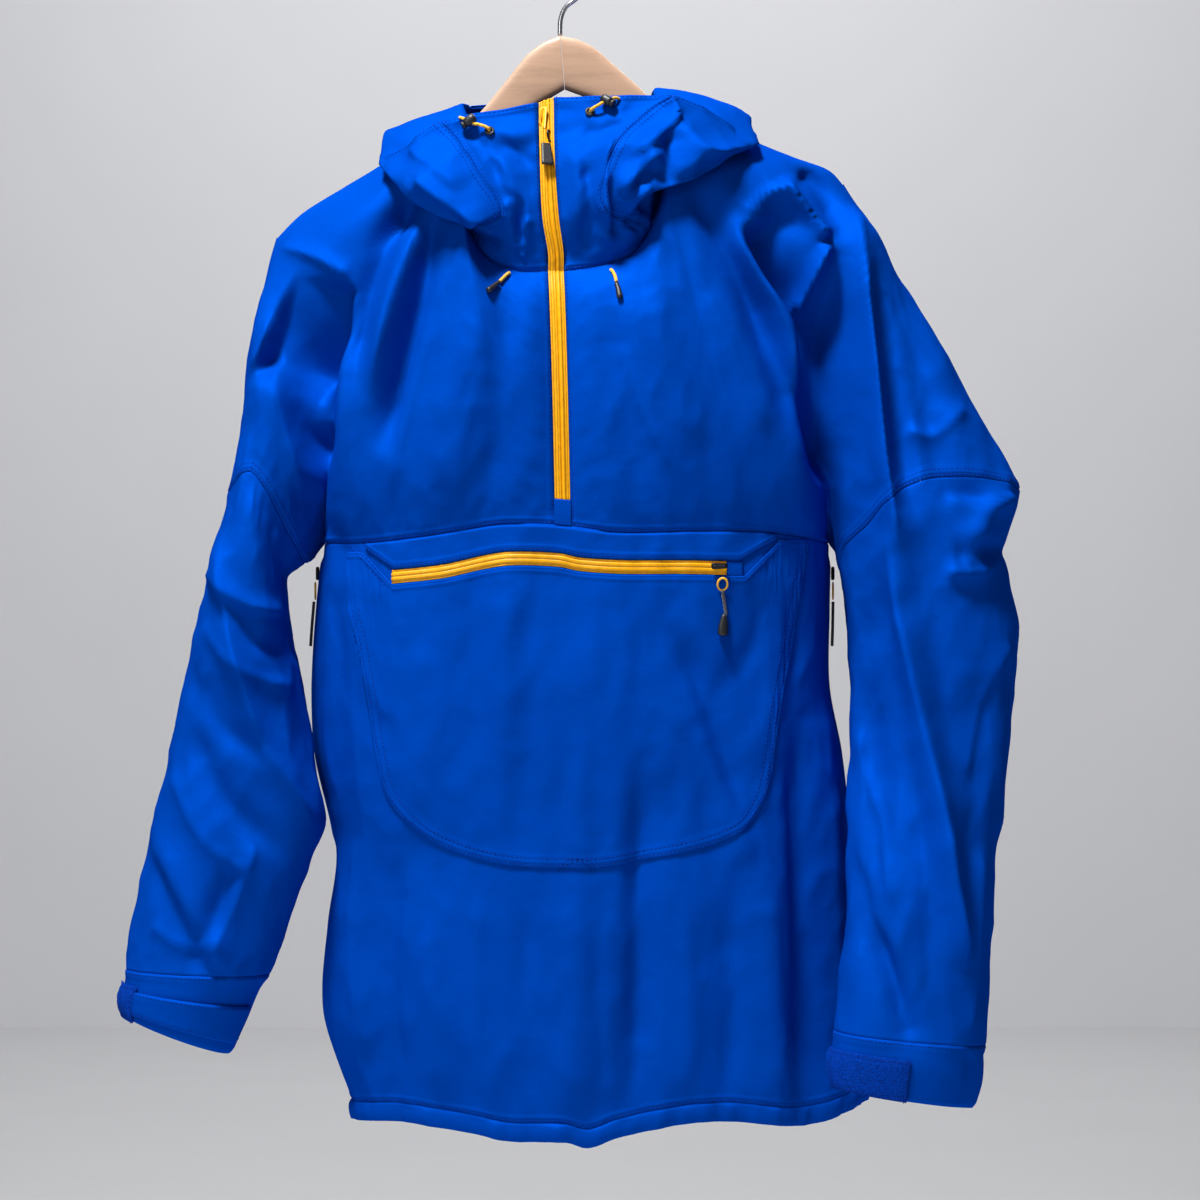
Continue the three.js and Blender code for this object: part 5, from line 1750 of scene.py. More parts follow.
SLEEVE_CREASES = {
    "right": (
        Fold(((-212, -262), (-200, -330), (-186, -400)), 8, 2.6, Form.SHARP),
        Fold(((-224, -330), (-214, -390), (-190, -436)), 8, -2.4),
        Fold(((-240, -418), (-232, -500), (-210, -580), (-176, -636)), 5, 3.0, Form.SHARP),
        Fold(((-252, -450), (-226, -474), (-196, -482)), 8, 3.2, Form.TUCK),
        Fold(((-256, -486), (-228, -520), (-190, -536)), 8, 2.6, Form.SHARP),
        Fold(((-266, -520), (-240, -560), (-200, -584)), 9, -2.4),
        Fold(((-276, -590), (-252, -640), (-220, -668)), 8, 2.4, Form.SHARP),
        Fold(((-296, -650), (-274, -690), (-252, -726)), 8, -2.4),
        Fold(((-214, -640), (-232, -690), (-252, -734)), 7, 2.6, Form.SHARP),
        Fold(((-290, -700), (-268, -716), (-240, -716)), 7, 2.0, Form.SHARP),
    ),
    "left": (
        Fold(((236, -420), (253, -514), (268, -610), (275, -676), (283, -735)), 8, 7, Form.SHARP),
        Fold(((292, -330), (270, -352), (248, -350)), 8, 2.4, Form.SHARP),
        Fold(((326, -396), (300, -404), (276, -396)), 8, 3.0, Form.TUCK),
        Fold(((320, -436), (300, -452), (272, -452)), 8, 3.0, Form.SHARP),
        Fold(((324, -500), (300, -540), (286, -600)), 10, 2.0, Form.SHARP),
        Fold(((214, -560), (226, -620), (236, -690)), 9, 2.2, Form.SHARP),
        Fold(((206, -640), (216, -690), (232, -740), (240, -780)), 7, -3.0),
        Fold(((256, -610), (262, -680), (262, -760)), 9, -2.4),
        Fold(((300, -640), (292, -720), (286, -784)), 8, 2.2, Form.SHARP),
    ),
}


def ring_points(ring: Ring, place: Array) -> Array:
    """Reads one ring of a sleeve.

    Args:
        ring: The ring.
        place: Places round it, counted in columns of the solids from the end towards -X.

    Returns:
        The points.
    """
    ends = (ring.out_x, ring.out_z), (ring.in_x, ring.in_z)
    (low_x, low_z), (high_x, high_z) = sorted(ends)
    angle = np.pi * place / HALF_RING
    across = (1 - np.cos(angle)) / 2
    sine = np.sin(angle)
    depth = np.where(sine > 0, -ring.front, ring.back) * np.abs(sine) ** 0.9
    return np.stack([low_x + (high_x - low_x) * across, ring.mid + depth,
                     low_z + (high_z - low_z) * across], -1)


@dataclass
class Sleeve:
    """One sleeve: upper and lower sleeve, cuff, its fuzzy patch and its tab."""

    side: str
    tag: str
    length: float = 600.0
    girth: float = 330.0
    cuff_height: float = 34.0
    gather_height: float = 1.7
    front_creases: float = 1.6                      # times the height that the creases' rows give
    back_creases: float = 0.8
    back_shift: Point = (9.0, 0.0, 23.0)            # the back's lie this far below them, and towards -X
    panels: dict[str, Panel] = field(default_factory=dict)

    def places(self) -> Array:
        """Returns places round the sleeve, one for each row of the yokes."""
        front = HALF_RING * spaced(YOKE_HEIGHT, CELL)
        back = HALF_RING * (1 + spaced(YOKE_HEIGHT, CELL_BACK)[1:-1])
        return np.concatenate([front, back])

    def armhole(self, place: Array) -> Array:
        """Returns the points of the armhole at places round the sleeve."""
        share = np.where(place <= HALF_RING, place, 2 * HALF_RING - place) / HALF_RING
        if self.side == "left":
            share = 1 - share
        front = ARMHOLES_FRONT[self.side].at(share)
        back = ARMHOLES_BACK[self.side].at(share)
        return np.where((place <= HALF_RING)[:, None], front, back)

    def elbow(self, place: Array) -> Array:
        """Returns how many rings below the armhole the elbow seam crosses."""
        inward = place if self.side == "right" else HALF_RING - place
        across = (1 - np.cos(np.pi * inward / HALF_RING)) / 2
        ends = ELBOW_OUTER + (ELBOW_INNER - ELBOW_OUTER) * across
        middle = ELBOW_MIDDLE - (ELBOW_OUTER + ELBOW_INNER) / 2
        return ends + middle * 4 * across * (1 - across)

    def outward(self, points: Array, stack_middle: Array) -> Array:
        """Returns directions out of the sleeve that both of its parts share."""
        out = points - stack_middle
        out[..., 2] *= 0.35
        return unit(out)

    def shaped(self, name: str, grid: Array) -> Panel:
        """Adds folds and creases to a part of the sleeve."""
        panel = Panel(name, grid, closed=True)
        out = self.outward(grid, grid.mean(axis=1, keepdims=True))
        from_armhole = np.linalg.norm(grid - self.armhole(self.places())[None], axis=-1)
        held = smooth(from_armhole, 0.0, 45.0)
        panel.raise_by(smooth(from_armhole, 0, 20) * fold_heights(SLEEVE_FOLDS[self.side], grid))
        seed = 11.0 if self.side == "right" else 12.0
        front = smooth(-(grid[..., 1] - grid[..., 1].mean(axis=1, keepdims=True)), -6, 8)
        folds = SLEEVE_CREASES[self.side]
        height = self.front_creases * fold_heights(folds, grid) * front
        height += fold_heights(folds, grid + np.array(self.back_shift)) * (1 - front) * self.back_creases
        return panel.raise_by(slack(height, grid, SLEEVE_SLACK, seed) * held, out)

    def build(self) -> None:
        """Makes the two parts of the sleeve and its cuff."""
        place = self.places()
        rings = [ring_points(ring, place) for ring in SLEEVE_RINGS[self.side]]
        stack = np.stack([self.armhole(place), *rings])
        last = len(stack) - 1
        elbow = self.elbow(place)
        upper_rows = spaced(230.0, CELL_SLEEVE, start=False)
        lower_rows = spaced(370.0, CELL_SLEEVE)
        upper = curve_through(stack, upper_rows[:, None] * elbow[None] / last)
        lower = curve_through(stack, (elbow[None] + (last - elbow)[None] * lower_rows[:, None]) / last)
        upper_panel = self.shaped(f"sleeve_upper_{self.tag}_cloth", upper)
        lower_panel = self.shaped(f"sleeve_lower_{self.tag}_cloth", lower)
        lower_panel.points[0] = upper_panel.points[-1]
        around = self.girth * place[None] / (2 * HALF_RING)
        for panel, edge in ((upper_panel, Edge.BOTTOM), (lower_panel, Edge.TOP)):
            away = panel.distance(edge)
            panel.raise_by(puckers(np.broadcast_to(around, away.shape), away, 12, 0.8, 13.0))
        cuff = self.cuff(lower_panel, place)
        upper_panel.seams = {Edge.TOP: Seam.OPEN, Edge.BOTTOM: Seam.DOUBLE}
        lower_panel.seams = {Edge.TOP: Seam.PLAIN, Edge.BOTTOM: Seam.PLAIN}
        cuff.seams = {Edge.TOP: Seam.SINGLE, Edge.BOTTOM: Seam.PLAIN}
        self.panels = {f"sleeve_upper_{self.tag}": upper_panel, f"sleeve_lower_{self.tag}": lower_panel,
                       f"cuff_{self.tag}": cuff}

    def cuff(self, above: Panel, place: Array) -> Panel:
        """Makes the cuff, gathered on elastic but for the part under the patch and the tab.

        Args:
            above: The lower sleeve.
            place: Places round the sleeve.

        Returns:
            The cuff.
        """
        stack = np.stack([above.points[-1], *(ring_points(ring, place) for ring in CUFF_RINGS[self.side])])
        rows = np.linspace(0, 1, 19)
        grid = curve_through(stack, np.repeat(rows[:, None], len(place), axis=1))
        start = HALF_RING if self.side == "right" else 8.5
        gathered = smooth(place, start, start + 1.0) * (1 - smooth(place, 23.0, 24.0))
        bend = 0.5 * waves(np.stack([np.broadcast_to(place / 2.0, grid.shape[:2]), grid[..., 2] / 30,
                                     np.zeros(grid.shape[:2])], -1), (1, 1, 1), 21.0)
        wave = np.sin(np.pi * (place[None] + bend) * 1.02)
        height = self.gather_height * gathered[None] * wave * smooth(rows, 0.05, 0.35)[:, None]
        band = 0.7 * np.sin(np.pi * smooth(rows, 0.15, 1.0))[:, None]
        panel = Panel(f"cuff_{self.tag}_cloth", grid, closed=True)
        return panel.raise_by(height + band, self.outward(grid, grid.mean(axis=1, keepdims=True)))

    def on_cuff(self, name: str, low: float, high: float, top: float, bottom: float, cell: float) -> Panel:
        """Makes a piece that lies on the cuff from the cuff's own points.

        Args:
            name: Name of the piece.
            low: First place round the cuff.
            high: Last place.
            top: Upper edge, as a share of the cuff's rows.
            bottom: Lower edge.
            cell: Size of a cell.

        Returns:
            The piece.
        """
        cuff = self.panels[f"cuff_{self.tag}"].points
        wide = np.linspace(low, high, max(6, round((high - low) * self.girth / 24 / cell)))
        rows = np.linspace(top, bottom, max(5, round((bottom - top) * self.cuff_height / cell)))
        columns = (wide % (2 * HALF_RING)) / (2 * HALF_RING) * cuff.shape[1]
        low_column = np.floor(columns).astype(int) % cuff.shape[1]
        share = (columns - np.floor(columns))[None, :, None]
        row = rows * (len(cuff) - 1)
        low_row = np.minimum(row.astype(int), len(cuff) - 2)
        down = (row - low_row)[:, None, None]

        def read(rows_at: Array) -> Array:
            """Returns the cuff's points on whole rows."""
            left = cuff[rows_at][:, low_column]
            right = cuff[rows_at][:, (low_column + 1) % cuff.shape[1]]
            return left * (1 - share) + right * share

        return Panel(name, read(low_row) * (1 - down) + read(low_row + 1) * down)


# Folds round the arms, which run on from a yoke into the sleeve
ARM_FOLDS = {
    "right": (
        Fold(((-222, -290), (-200, -300), (-166, -314)), 44, -24, Form.TUCK),
        Fold(((-216, -302), (-196, -309), (-166, -320)), 7, 5, Form.SHARP),
        Fold(((-172, -380), (-169, -310), (-161, -262), (-156, -238)), 20, -14, Form.TUCK),
        Fold(((-150, -238), (-154, -262), (-158, -310), (-162, -390)), 7, 5),
        Fold(((-178, -440), (-176, -400), (-172, -340)), 12, -12, Form.TUCK),
        Fold(((-206, -212), (-180, -220), (-152, -236)), 7, 6, Form.SHARP),
        Fold(((-104, -170), (-118, -198), (-131, -222), (-141, -248), (-148, -278), (-150, -306)), 10, -12),
        Fold(((-92, -194), (-97, -228), (-104, -258), (-113, -292), (-121, -326), (-128, -356)), 8, -9),
        Fold(((-100, -186), (-110, -222), (-124, -262), (-136, -310)), 7, 5),
    ),
    "left": (
        Fold(((136, -194), (154, -226), (180, -267), (186, -338), (196, -392)), 22, -30, Form.TUCK),
        Fold(((128, -200), (146, -232), (168, -270), (176, -330)), 7, 5),
        Fold(((136, -190), (148, -178), (162, -168)), 8, 6, Form.SHARP),
        Fold(((160, -163), (176, -184), (196, -209)), 7, 14, Form.SHARP),
        Fold(((174, -158), (190, -170), (206, -198)), 8, -12),
        Fold(((196, -209), (188, -232), (180, -266)), 5, 12, Form.SHARP),
        Fold(((206, -225), (203, -300), (209, -400), (218, -470)), 11, -20),
        Fold(((214, -178), (219, -214), (227, -290), (236, -380), (245, -440)), 9, 10, Form.SHARP),
        Fold(((230, -220), (242, -300), (254, -400)), 9, -8),
        Fold(((222, -470), (228, -540), (230, -620)), 12, -8),
        Fold(((142, -240), (160, -290), (178, -340)), 8, -9),
        Fold(((128, -222), (148, -284), (172, -350)), 8, -6),
    ),
}


@dataclass
class Armhole:
    """The line where a yoke runs on into a sleeve with no seam, so that both share its directions."""

    yoke: Panel
    edge: Edge
    sleeve: Panel
    columns: Array
    reach: int = 16
    rounds: int = 70

    def lines(self) -> Array:
        """Returns the points across the armhole, a line for each row of the yoke."""
        inner = self.yoke.points[:, ::-1] if self.edge is Edge.FIRST else self.yoke.points
        outer = self.sleeve.points[1:self.reach + 1, self.columns].swapaxes(0, 1)
        return np.concatenate([inner[:, -self.reach - 1:], outer], axis=1)

    def round_off(self) -> None:
        """Smooths the bend between the two pieces."""
        line = self.lines()
        count = line.shape[1]
        column = 0 if self.edge is Edge.FIRST else -1
        down, up = (self.yoke.distance(edge)[:, column] for edge in (Edge.TOP, Edge.BOTTOM))
        free = smooth(down, 0.0, 30.0) * smooth(up, 0.0, 20.0)
        weight = np.sin(np.pi * np.arange(count) / (count - 1))[None, 1:-1, None] ** 1.5 * free[:, None, None]
        for _ in range(self.rounds):
            before = np.linalg.norm(line[:, 1:-1] - line[:, :-2], axis=-1, keepdims=True)
            after = np.linalg.norm(line[:, 2:] - line[:, 1:-1], axis=-1, keepdims=True)
            chord = (line[:, :-2] * after + line[:, 2:] * before) / (before + after)
            line[:, 1:-1] += 0.8 * weight * (chord - line[:, 1:-1])
        inner = line[:, :self.reach + 1]
        if self.edge is Edge.FIRST:
            self.yoke.points[:, :self.reach + 1] = inner[:, ::-1]
        else:
            self.yoke.points[:, -self.reach - 1:] = inner
        self.sleeve.points[:self.reach + 1, self.columns] = line[:, self.reach:].swapaxes(0, 1)

    def share(self) -> None:
        """Gives both pieces the same outward directions along the armhole."""
        self.sleeve.points[0, self.columns] = self.yoke.points[:, 0 if self.edge is Edge.FIRST else -1]
        edge_column = 0 if self.edge is Edge.FIRST else -1
        yoke = self.yoke.normals(own=True)[:, edge_column]
        sleeve = self.sleeve.normals(own=True)[0]
        both = unit(yoke + sleeve[self.columns])
        self.yoke.shared[self.edge] = both
        known = self.sleeve.shared.get(Edge.TOP, sleeve)
        known[self.columns] = both
        self.sleeve.shared[Edge.TOP] = known


def armholes(yokes: Yokes, sleeves: Sequence[Sleeve]) -> list[Armhole]:
    """Finds which columns of each sleeve meet which rows of the yokes."""
    found = []
    for sleeve in sleeves:
        upper = sleeve.panels[f"sleeve_upper_{sleeve.tag}"]
        front, back = yokes.panels[f"yoke_front_{sleeve.tag}"], yokes.panels["yoke_back"]
        rows, back_rows = len(front.points), len(back.points)
        ahead = np.arange(rows)
        behind = np.concatenate([[rows - 1], rows + np.arange(back_rows - 2), [0]])
        if sleeve.side == "right":
            found.append(Armhole(front, Edge.FIRST, upper, ahead))
            found.append(Armhole(back, Edge.LAST, upper, behind[::-1]))
        else:
            found.append(Armhole(front, Edge.LAST, upper, ahead[::-1]))
            found.append(Armhole(back, Edge.FIRST, upper, behind))
    return found


class Profile(NamedTuple):
    """One place along the neck seam, and where the hood's cloth runs there, as x, y and z."""

    at: float
    stand_x: float
    stand_y: float
    stand_z: float
    keel_x: float
    keel_y: float
    keel_z: float
    belly_x: float
    belly_y: float
    belly_z: float
    rim_x: float
    rim_y: float
    rim_z: float


HOOD_PROFILES = (
    Profile(0, 0, -2, 12, -12, -66, -200, -14, -60, -156, -15, -46, -114),
    Profile(2, -3, -8, 12, -42, -76, -198, -62, -72, -160, -84, -52, -128),
    Profile(3.3, 5, -20, 8, -66, -84, -208, -94, -76, -176, -108, -48, -143),
    Profile(4.8, 9, -26, 2, -100, -66, -184, -124, -46, -164, -128, -26, -151),
    Profile(6.5, 3, -8, 2, -110, -8, -126, -124, 4, -130, -114, 14, -126),
    Profile(9, -8, 10, -4, -92, 92, -236, -116, 108, -204, -92, 96, -146),
    Profile(12, 0, 14, -6, 0, 98, -308, 0, 138, -250, 0, 122, -150),
    Profile(15, 8, 10, -4, 96, 92, -228, 120, 108, -194, 96, 96, -140),
    Profile(17.5, -3, -8, 6, 120, -8, -112, 136, 0, -120, 124, 12, -114),
    Profile(19.2, -9, -26, 4, 106, -64, -164, 132, -46, -149, 140, -24, -139),
    Profile(20.7, -5, -20, 8, 68, -84, -182, 88, -76, -150, 104, -46, -118),
    Profile(22, 3, -8, 12, 30, -76, -192, 38, -72, -150, 76, -50, -110),
    Profile(24, 0, -2, 12, 0, -66, -198, -3, -60, -154, -4, -46, -110),
)
HOOD_PIECES = (
    ("collar_l", 24.0, 22.0), ("hood_side_l", 22.0, 14.0), ("hood_centre", 14.0, 10.0),
    ("hood_side_r", 10.0, 2.0), ("collar_r", 2.0, 0.0),
)
HOOD_CREASES = (
    Fold(((-104, -158), (-85, -177), (-60, -196), (-41, -206)), 8, 5, Form.SHARP),
    Fold(((-92, -186), (-66, -206), (-42, -214)), 6, -5),
    Fold(((-80, -122), (-58, -148), (-44, -177), (-34, -201)), 9, -5),
    Fold(((-112, -140), (-92, -152), (-70, -172)), 8, 3, Form.SHARP),
    Fold(((-40, -178), (-35, -196), (-32, -218)), 4, 3.4, Form.SHARP),
    Fold(((-29, -176), (-30, -196), (-30, -218)), 4, -3.4),
    Fold(((-22, -190), (-26, -208), (-28, -224)), 4, 3.0, Form.SHARP),
    Fold(((-52, -140), (-38, -143), (-20, -150)), 7, -3.6),
    Fold(((-46, -128), (-30, -132), (-18, -130)), 6, 2.4),
    Fold(((18, -126), (30, -131), (46, -124)), 6, -3.2),
    Fold(((14, -150), (22, -170), (20, -200), (12, -224)), 7, -3.0),
    Fold(((10, -138), (14, -170), (10, -200)), 7, 2.2),
    Fold(((40, -124), (32, -150), (34, -190), (36, -214)), 6, 3.0, Form.SHARP),
    Fold(((70, -100), (81, -119), (67, -132), (50, -148)), 6, 6, Form.SHARP),
    Fold(((80, -128), (84, -142), (83, -156), (72, -166)), 8, -7),
    Fold(((85, -122), (96, -134), (108, -144), (128, -142), (147, -138)), 7, 5, Form.SHARP),
    Fold(((78, -170), (104, -160), (128, -148), (148, -142)), 6, -5),
    Fold(((70, -142), (56, -158), (42, -175)), 5, 5.5, Form.SHARP),
    Fold(((72, -152), (60, -166), (46, -182)), 5, -5),
    Fold(((66, -168), (56, -180), (47, -190)), 4.5, 5, Form.SHARP),
    Fold(((66, -178), (56, -192), (48, -200)), 5, -5),
    Fold(((61, -185), (54, -196), (47, -205)), 4, 4, Form.SHARP),
    Fold(((38, -160), (40, -186), (38, -212)), 5, -4),
)


@dataclass
class Hood:
    """The collar and the hood that stands up from the neck seam and leans back."""

    around: float = 560.0
    down: float = 150.0
    crease_depth: float = 1.5                       # times the height that the creases' rows give
    panels: dict[str, Panel] = field(default_factory=dict)

    @staticmethod
    def neck(column: Array) -> Array:
        """Returns points of the neck seam, counted from the zip's right edge round the back."""
        front_r = NECKS["right"].at(1 - column / 6)
        back = NECKS["back"].at(1 - (column - 6) / 12)
        front_l = NECKS["left"].at((column - 18) / 6)
        middle = np.where((column < 18)[:, None], back, front_l)
        return np.where((column < 6)[:, None], front_r, middle)

    def grid(self, column: Array, down: Array) -> Array:
        """Returns the hood's points from the rim down to the neck seam."""
        neck = self.neck(column)
        rows = []
        for part in ("rim", "belly", "keel", "stand"):
            point = np.stack([lookup(HOOD_PROFILES, f"{part}_{axis}", column) for axis in "xyz"], -1)
            rows.append(point + neck if part == "stand" else point)
        stack = np.stack([*rows, neck])
        return curve_through(stack, np.repeat(down[:, None], len(column), axis=1))

    def build(self) -> None:
        """Makes the five pieces."""
        for index, (name, start, stop) in enumerate(HOOD_PIECES):
            width = self.around * abs(start - stop) / 24
            back = name == "hood_centre"
            share = spaced(width, 2.6 if not back else CELL_BACK, start != 24.0, stop != 0.0)
            down = spaced(self.down, 2.4 if not back else 3.4)
            panel = Panel(f"{name}_cloth", self.grid(start + (stop - start) * share, down))
            out = panel.points - np.array([0.0, 20.0, -150.0])
            out[..., 2] *= 0.25
            height = slack(np.zeros(panel.points.shape[:2]), panel.points, HOOD_SLACK)
            front = smooth(-panel.points[..., 1], 0, 25)
            height += self.crease_depth * front * fold_heights(HOOD_CREASES, seen(panel.points))
            across, below, above = (panel.distance(e) for e in (Edge.FIRST, Edge.BOTTOM, Edge.TOP))
            height *= smooth(below, 0, 14)
            height += puckers(across, below, 14, 1.1, 35.0 + index, 7.0)
            height += puckers(above, across, 12, 0.9, 41.0 + index, 8.0)
            height += puckers(above, panel.distance(Edge.LAST), 12, 0.9, 51.0 + index, 8.0)
            height += 0.8 * np.exp(-((above / 9) ** 2))
            panel.raise_by(height, unit(out))
            self.panels[name] = panel
        sides = {"collar_l": {Edge.LAST: Seam.SINGLE, Edge.FIRST: Seam.SINGLE},
                 "collar_r": {Edge.FIRST: Seam.SINGLE, Edge.LAST: Seam.SINGLE},
                 "hood_side_l": {Edge.FIRST: Seam.DOUBLE, Edge.LAST: Seam.DOUBLE},
                 "hood_side_r": {Edge.FIRST: Seam.DOUBLE, Edge.LAST: Seam.DOUBLE},
                 "hood_centre": {Edge.FIRST: Seam.PLAIN, Edge.LAST: Seam.PLAIN}}
        for name, seams in sides.items():
            self.panels[name].seams = {Edge.TOP: Seam.SINGLE, Edge.BOTTOM: Seam.SINGLE, **seams}


POCKET_ZIP = (
    Height(-119, -455), Height(-82, -451), Height(-55, -445), Height(-34, -442), Height(0, -443),
    Height(15, -446), Height(45, -448), Height(88, -448), Height(132, -449),
)
POCKET_OUTLINE = (
    (-151.5, -467), (-149.5, -484), (-145, -500), (-137, -542), (-131, -580), (-124, -608), (-117, -620),
    (-103, -634), (-86, -645), (-61, -654), (-30, -660), (0, -661), (26, -661), (52, -657), (94, -649),
    (115, -643), (132, -634), (144, -618), (151, -596), (155, -567), (161, -531), (167, -502), (170, -480),
    (175, -452), (177.5, -438),
)


class Slant(NamedTuple):
    """A slanted edge: the place where it starts, how far it runs along X and how much it rises."""

    x: float
    z: float
    run: float
    rise: float

    def at(self, x: Array) -> Array:
        """Returns its height at places on X."""
        return self.z + (x - self.x) / self.run * self.rise


PANEL_SLANTS = (Slant(-141, -437, 22, -22.5), Slant(132, -454.4, 26, 26.4))
BAND_SLANTS = (Slant(-138, -435, 21, -14.7), Slant(128, -443.7, 27, 15.7))
POCKET_SLANTS = (((-148, -433), (-123, -460)), ((160, -427), (134, -455)))
ZIP_HALF = 4.8


@dataclass
class Pocket:
    """The kangaroo pocket: band, panel, zip tape, welt end and the pull on its slider."""

    skin: Skin
    under: Piece
    lift: float = 1.3
    zip_ends: Place = (-119, 119)
    welt_end: float = 131.0
    slider_at: Place = (114.0, -447.2)
    slider_lift: float = 2.1
    pull_x: float = 116.0
    ring_z: float = -459.5
    ring_lift: float = 2.3
    cord_top: float = -464.6
    cord_lean: float = -0.12                        # how far it goes aside for each millimetre up
    cord_path: Sequence[Place] = ((-464.6, 2.5), (-468, 2.3), (-472, 2.2), (-477, 2.2), (-482, 2.4))
    grip_z: float = -489.2
    grip_lift: float = 2.8
    slant_half: float = 2.2                         # the two stitches of a slant lie this far off its line
    patch_foot: Place = (13.0, -663.0)              # the arched patch at the pocket's foot
    patch_size: Place = (12.5, 9.0)                 # half its width, and its height
    patch_reach: Place = (1.0, 0.78)                # sizes of its two rows of stitches
    panels: dict[str, Panel] = field(default_factory=dict)
    stitches: Piece | None = None

    def sewing(self) -> Piece:
        """Returns the stitches round the pocket, on its slanted corners and on the patch at its foot."""
        made = Stitching("stitches_pocket")
        made.sew(self.panels["pocket_band"])
        outline = Route([(x, 0.0, z) for x, z in POCKET_OUTLINE]).at(np.linspace(0.02, 0.98, 160))[:, [0, 2]]
        way = np.gradient(outline, axis=0)
        way /= np.linalg.norm(way, axis=1)[:, None]
        inward = np.column_stack([-way[:, 1], way[:, 0]])
        rows = [outline + away * inward for away in STITCH_ROWS[Seam.DOUBLE]]
        for (ax, az), (bx, bz) in POCKET_SLANTS:
            share = np.linspace(0, 1, 20)[:, None]
            for away in (-self.slant_half, self.slant_half):
                rows.append(np.array([[ax + away, az]]) * (1 - share) + np.array([[bx + away, bz]]) * share)
        turn = np.linspace(0, np.pi, 24)
        (x, z), (half_width, height) = self.patch_foot, self.patch_size
        for reach in self.patch_reach:
            across, up = half_width * reach * np.cos(turn), height * reach * np.sin(turn)
            rows.append(np.column_stack([x - across, z + up]))
        whole = Skin(self.panels["pocket_panel"].cloth, self.panels["pocket_band"].cloth, self.under)
        for row in rows:
            points, outward = whole.drape(row[None])
            made.follow(points[0], outward[0])
        return made.build()

    def laid(self, name: str, x: Array, top: Array, bottom: Array, rows: Array, lift: float) -> Panel:
        """Lays a panel between two edges on the lower front.

        Args:
            name: Name of the panel.
            x: Places of its columns.
            top: Height of the upper edge at each column.
            bottom: Height of the lower edge.
            rows: Shares down the columns.
            lift: How far it lies out of the cloth.

        Returns:
            The panel.
        """
        share = rows[:, None]
        places = np.stack([x + 0 * share, top * (1 - share) + bottom * share], -1)
        points, outward = self.skin.drape(places)
        return Panel(name, points + lift * outward)

    def build(self) -> None:
        """Makes the flat pieces of the pocket."""
        outline = Route([(x, 0.0, z) for x, z in POCKET_OUTLINE])
        share = spaced(outline.length, 4.0)
        edge = outline.at(share)
        zip_low = lookup(POCKET_ZIP, "z", edge[:, 0]) - ZIP_HALF - 0.5
        slant_r, slant_l = (slant.at(edge[:, 0]) for slant in PANEL_SLANTS)
        top = np.where(edge[:, 0] < -119, np.minimum(-437, slant_r), zip_low)
        top = np.where(edge[:, 0] > 132, np.minimum(slant_l, -428), top)
        top = np.maximum(top, edge[:, 2] + 1.0)
        rows = spaced(190.0, 3.2)
        panel = self.laid("pocket_panel_cloth", edge[:, 0], top, edge[:, 2], rows, self.lift)
        across = np.broadcast_to(share * outline.length, panel.points.shape[:2])
        up, down = panel.distance(Edge.BOTTOM), panel.distance(Edge.TOP)
        deep = smooth(up + down, 60.0, 130.0)
        height = puckers(across, up, 13, 0.9, 61.0, 10.0) + deep * puckers(across, down, 12, 0.9, 62.0, 8.0)
        height += 0.6 * creased(panel.points, (30, 30, 80), 63.0) * smooth(up, 0, 20) * smooth(down, 0, 20)
        panel.raise_by(height)
        self.panels["pocket_panel"] = panel
        low, high = -138.0, 155.0
        x = low + (high - low) * spaced(high - low, CELL)
        zip_high = lookup(POCKET_ZIP, "z", x) + ZIP_HALF + 0.5
        slant_r, slant_l = (slant.at(x) for slant in BAND_SLANTS)
        under = np.where(x < -117, slant_r, zip_high)
        under = np.where(x > 128, slant_l, under)
        level = lookup(CHEST_SEAM, "z", x) - 1.2
        band = self.laid("pocket_band_cloth", x, level, under, np.linspace(0, 1, 20), self.lift + 0.3)
        along = np.broadcast_to(x, band.points.shape[:2])
        band.raise_by(puckers(along, band.distance(Edge.BOTTOM), 9, 0.35, 64.0, 9.0))
        self.panels["pocket_band"] = band
        self.panels["pocket_panel"].seams = {Edge.TOP: Seam.SINGLE, Edge.BOTTOM: Seam.DOUBLE}
        self.panels["pocket_band"].seams = {Edge.TOP: Seam.PLAIN, Edge.BOTTOM: Seam.SINGLE,
                                            Edge.FIRST: Seam.SINGLE, Edge.LAST: Seam.SINGLE}
        self.panels["pocket_zip_tape"] = self.zip_strip("pocket_zip_film", *self.zip_ends, ribs=True)
        welt_start = self.zip_ends[1] + 0.3
        self.panels["pocket_zip_end"] = self.zip_strip("pocket_welt_end", welt_start, self.welt_end)

    def zip_strip(self, name: str, start: float, stop: float, ribs: bool = False) -> Panel:
        """Makes the tape of the zip, or the welt at its end.

        Args:
            name: Name of the piece.
            start: First place on X.
            stop: Last place.
            ribs: Whether the teeth show under the film.

        Returns:
            The piece.
        """
        x = np.linspace(start, stop, max(8, round((stop - start) / 1.6)))
        middle = lookup(POCKET_ZIP, "z", x)
        rows = np.linspace(0, 1, 25)
        tape = self.laid(name, x, middle + ZIP_HALF, middle - ZIP_HALF, rows, self.lift - 0.4)
        if ribs:
            away = (rows[:, None] - 0.5) * 2 * ZIP_HALF
            height = 0.9 * (1 - smooth(np.abs(away), 2.4, 3.1)) - 0.8 * hump(away, 0.0, 0.35)
            height = height - 0.35 * hump(np.abs(away), 3.2, 0.3) + 0.0 * x[None]
            tape.raise_by(height)
        return tape

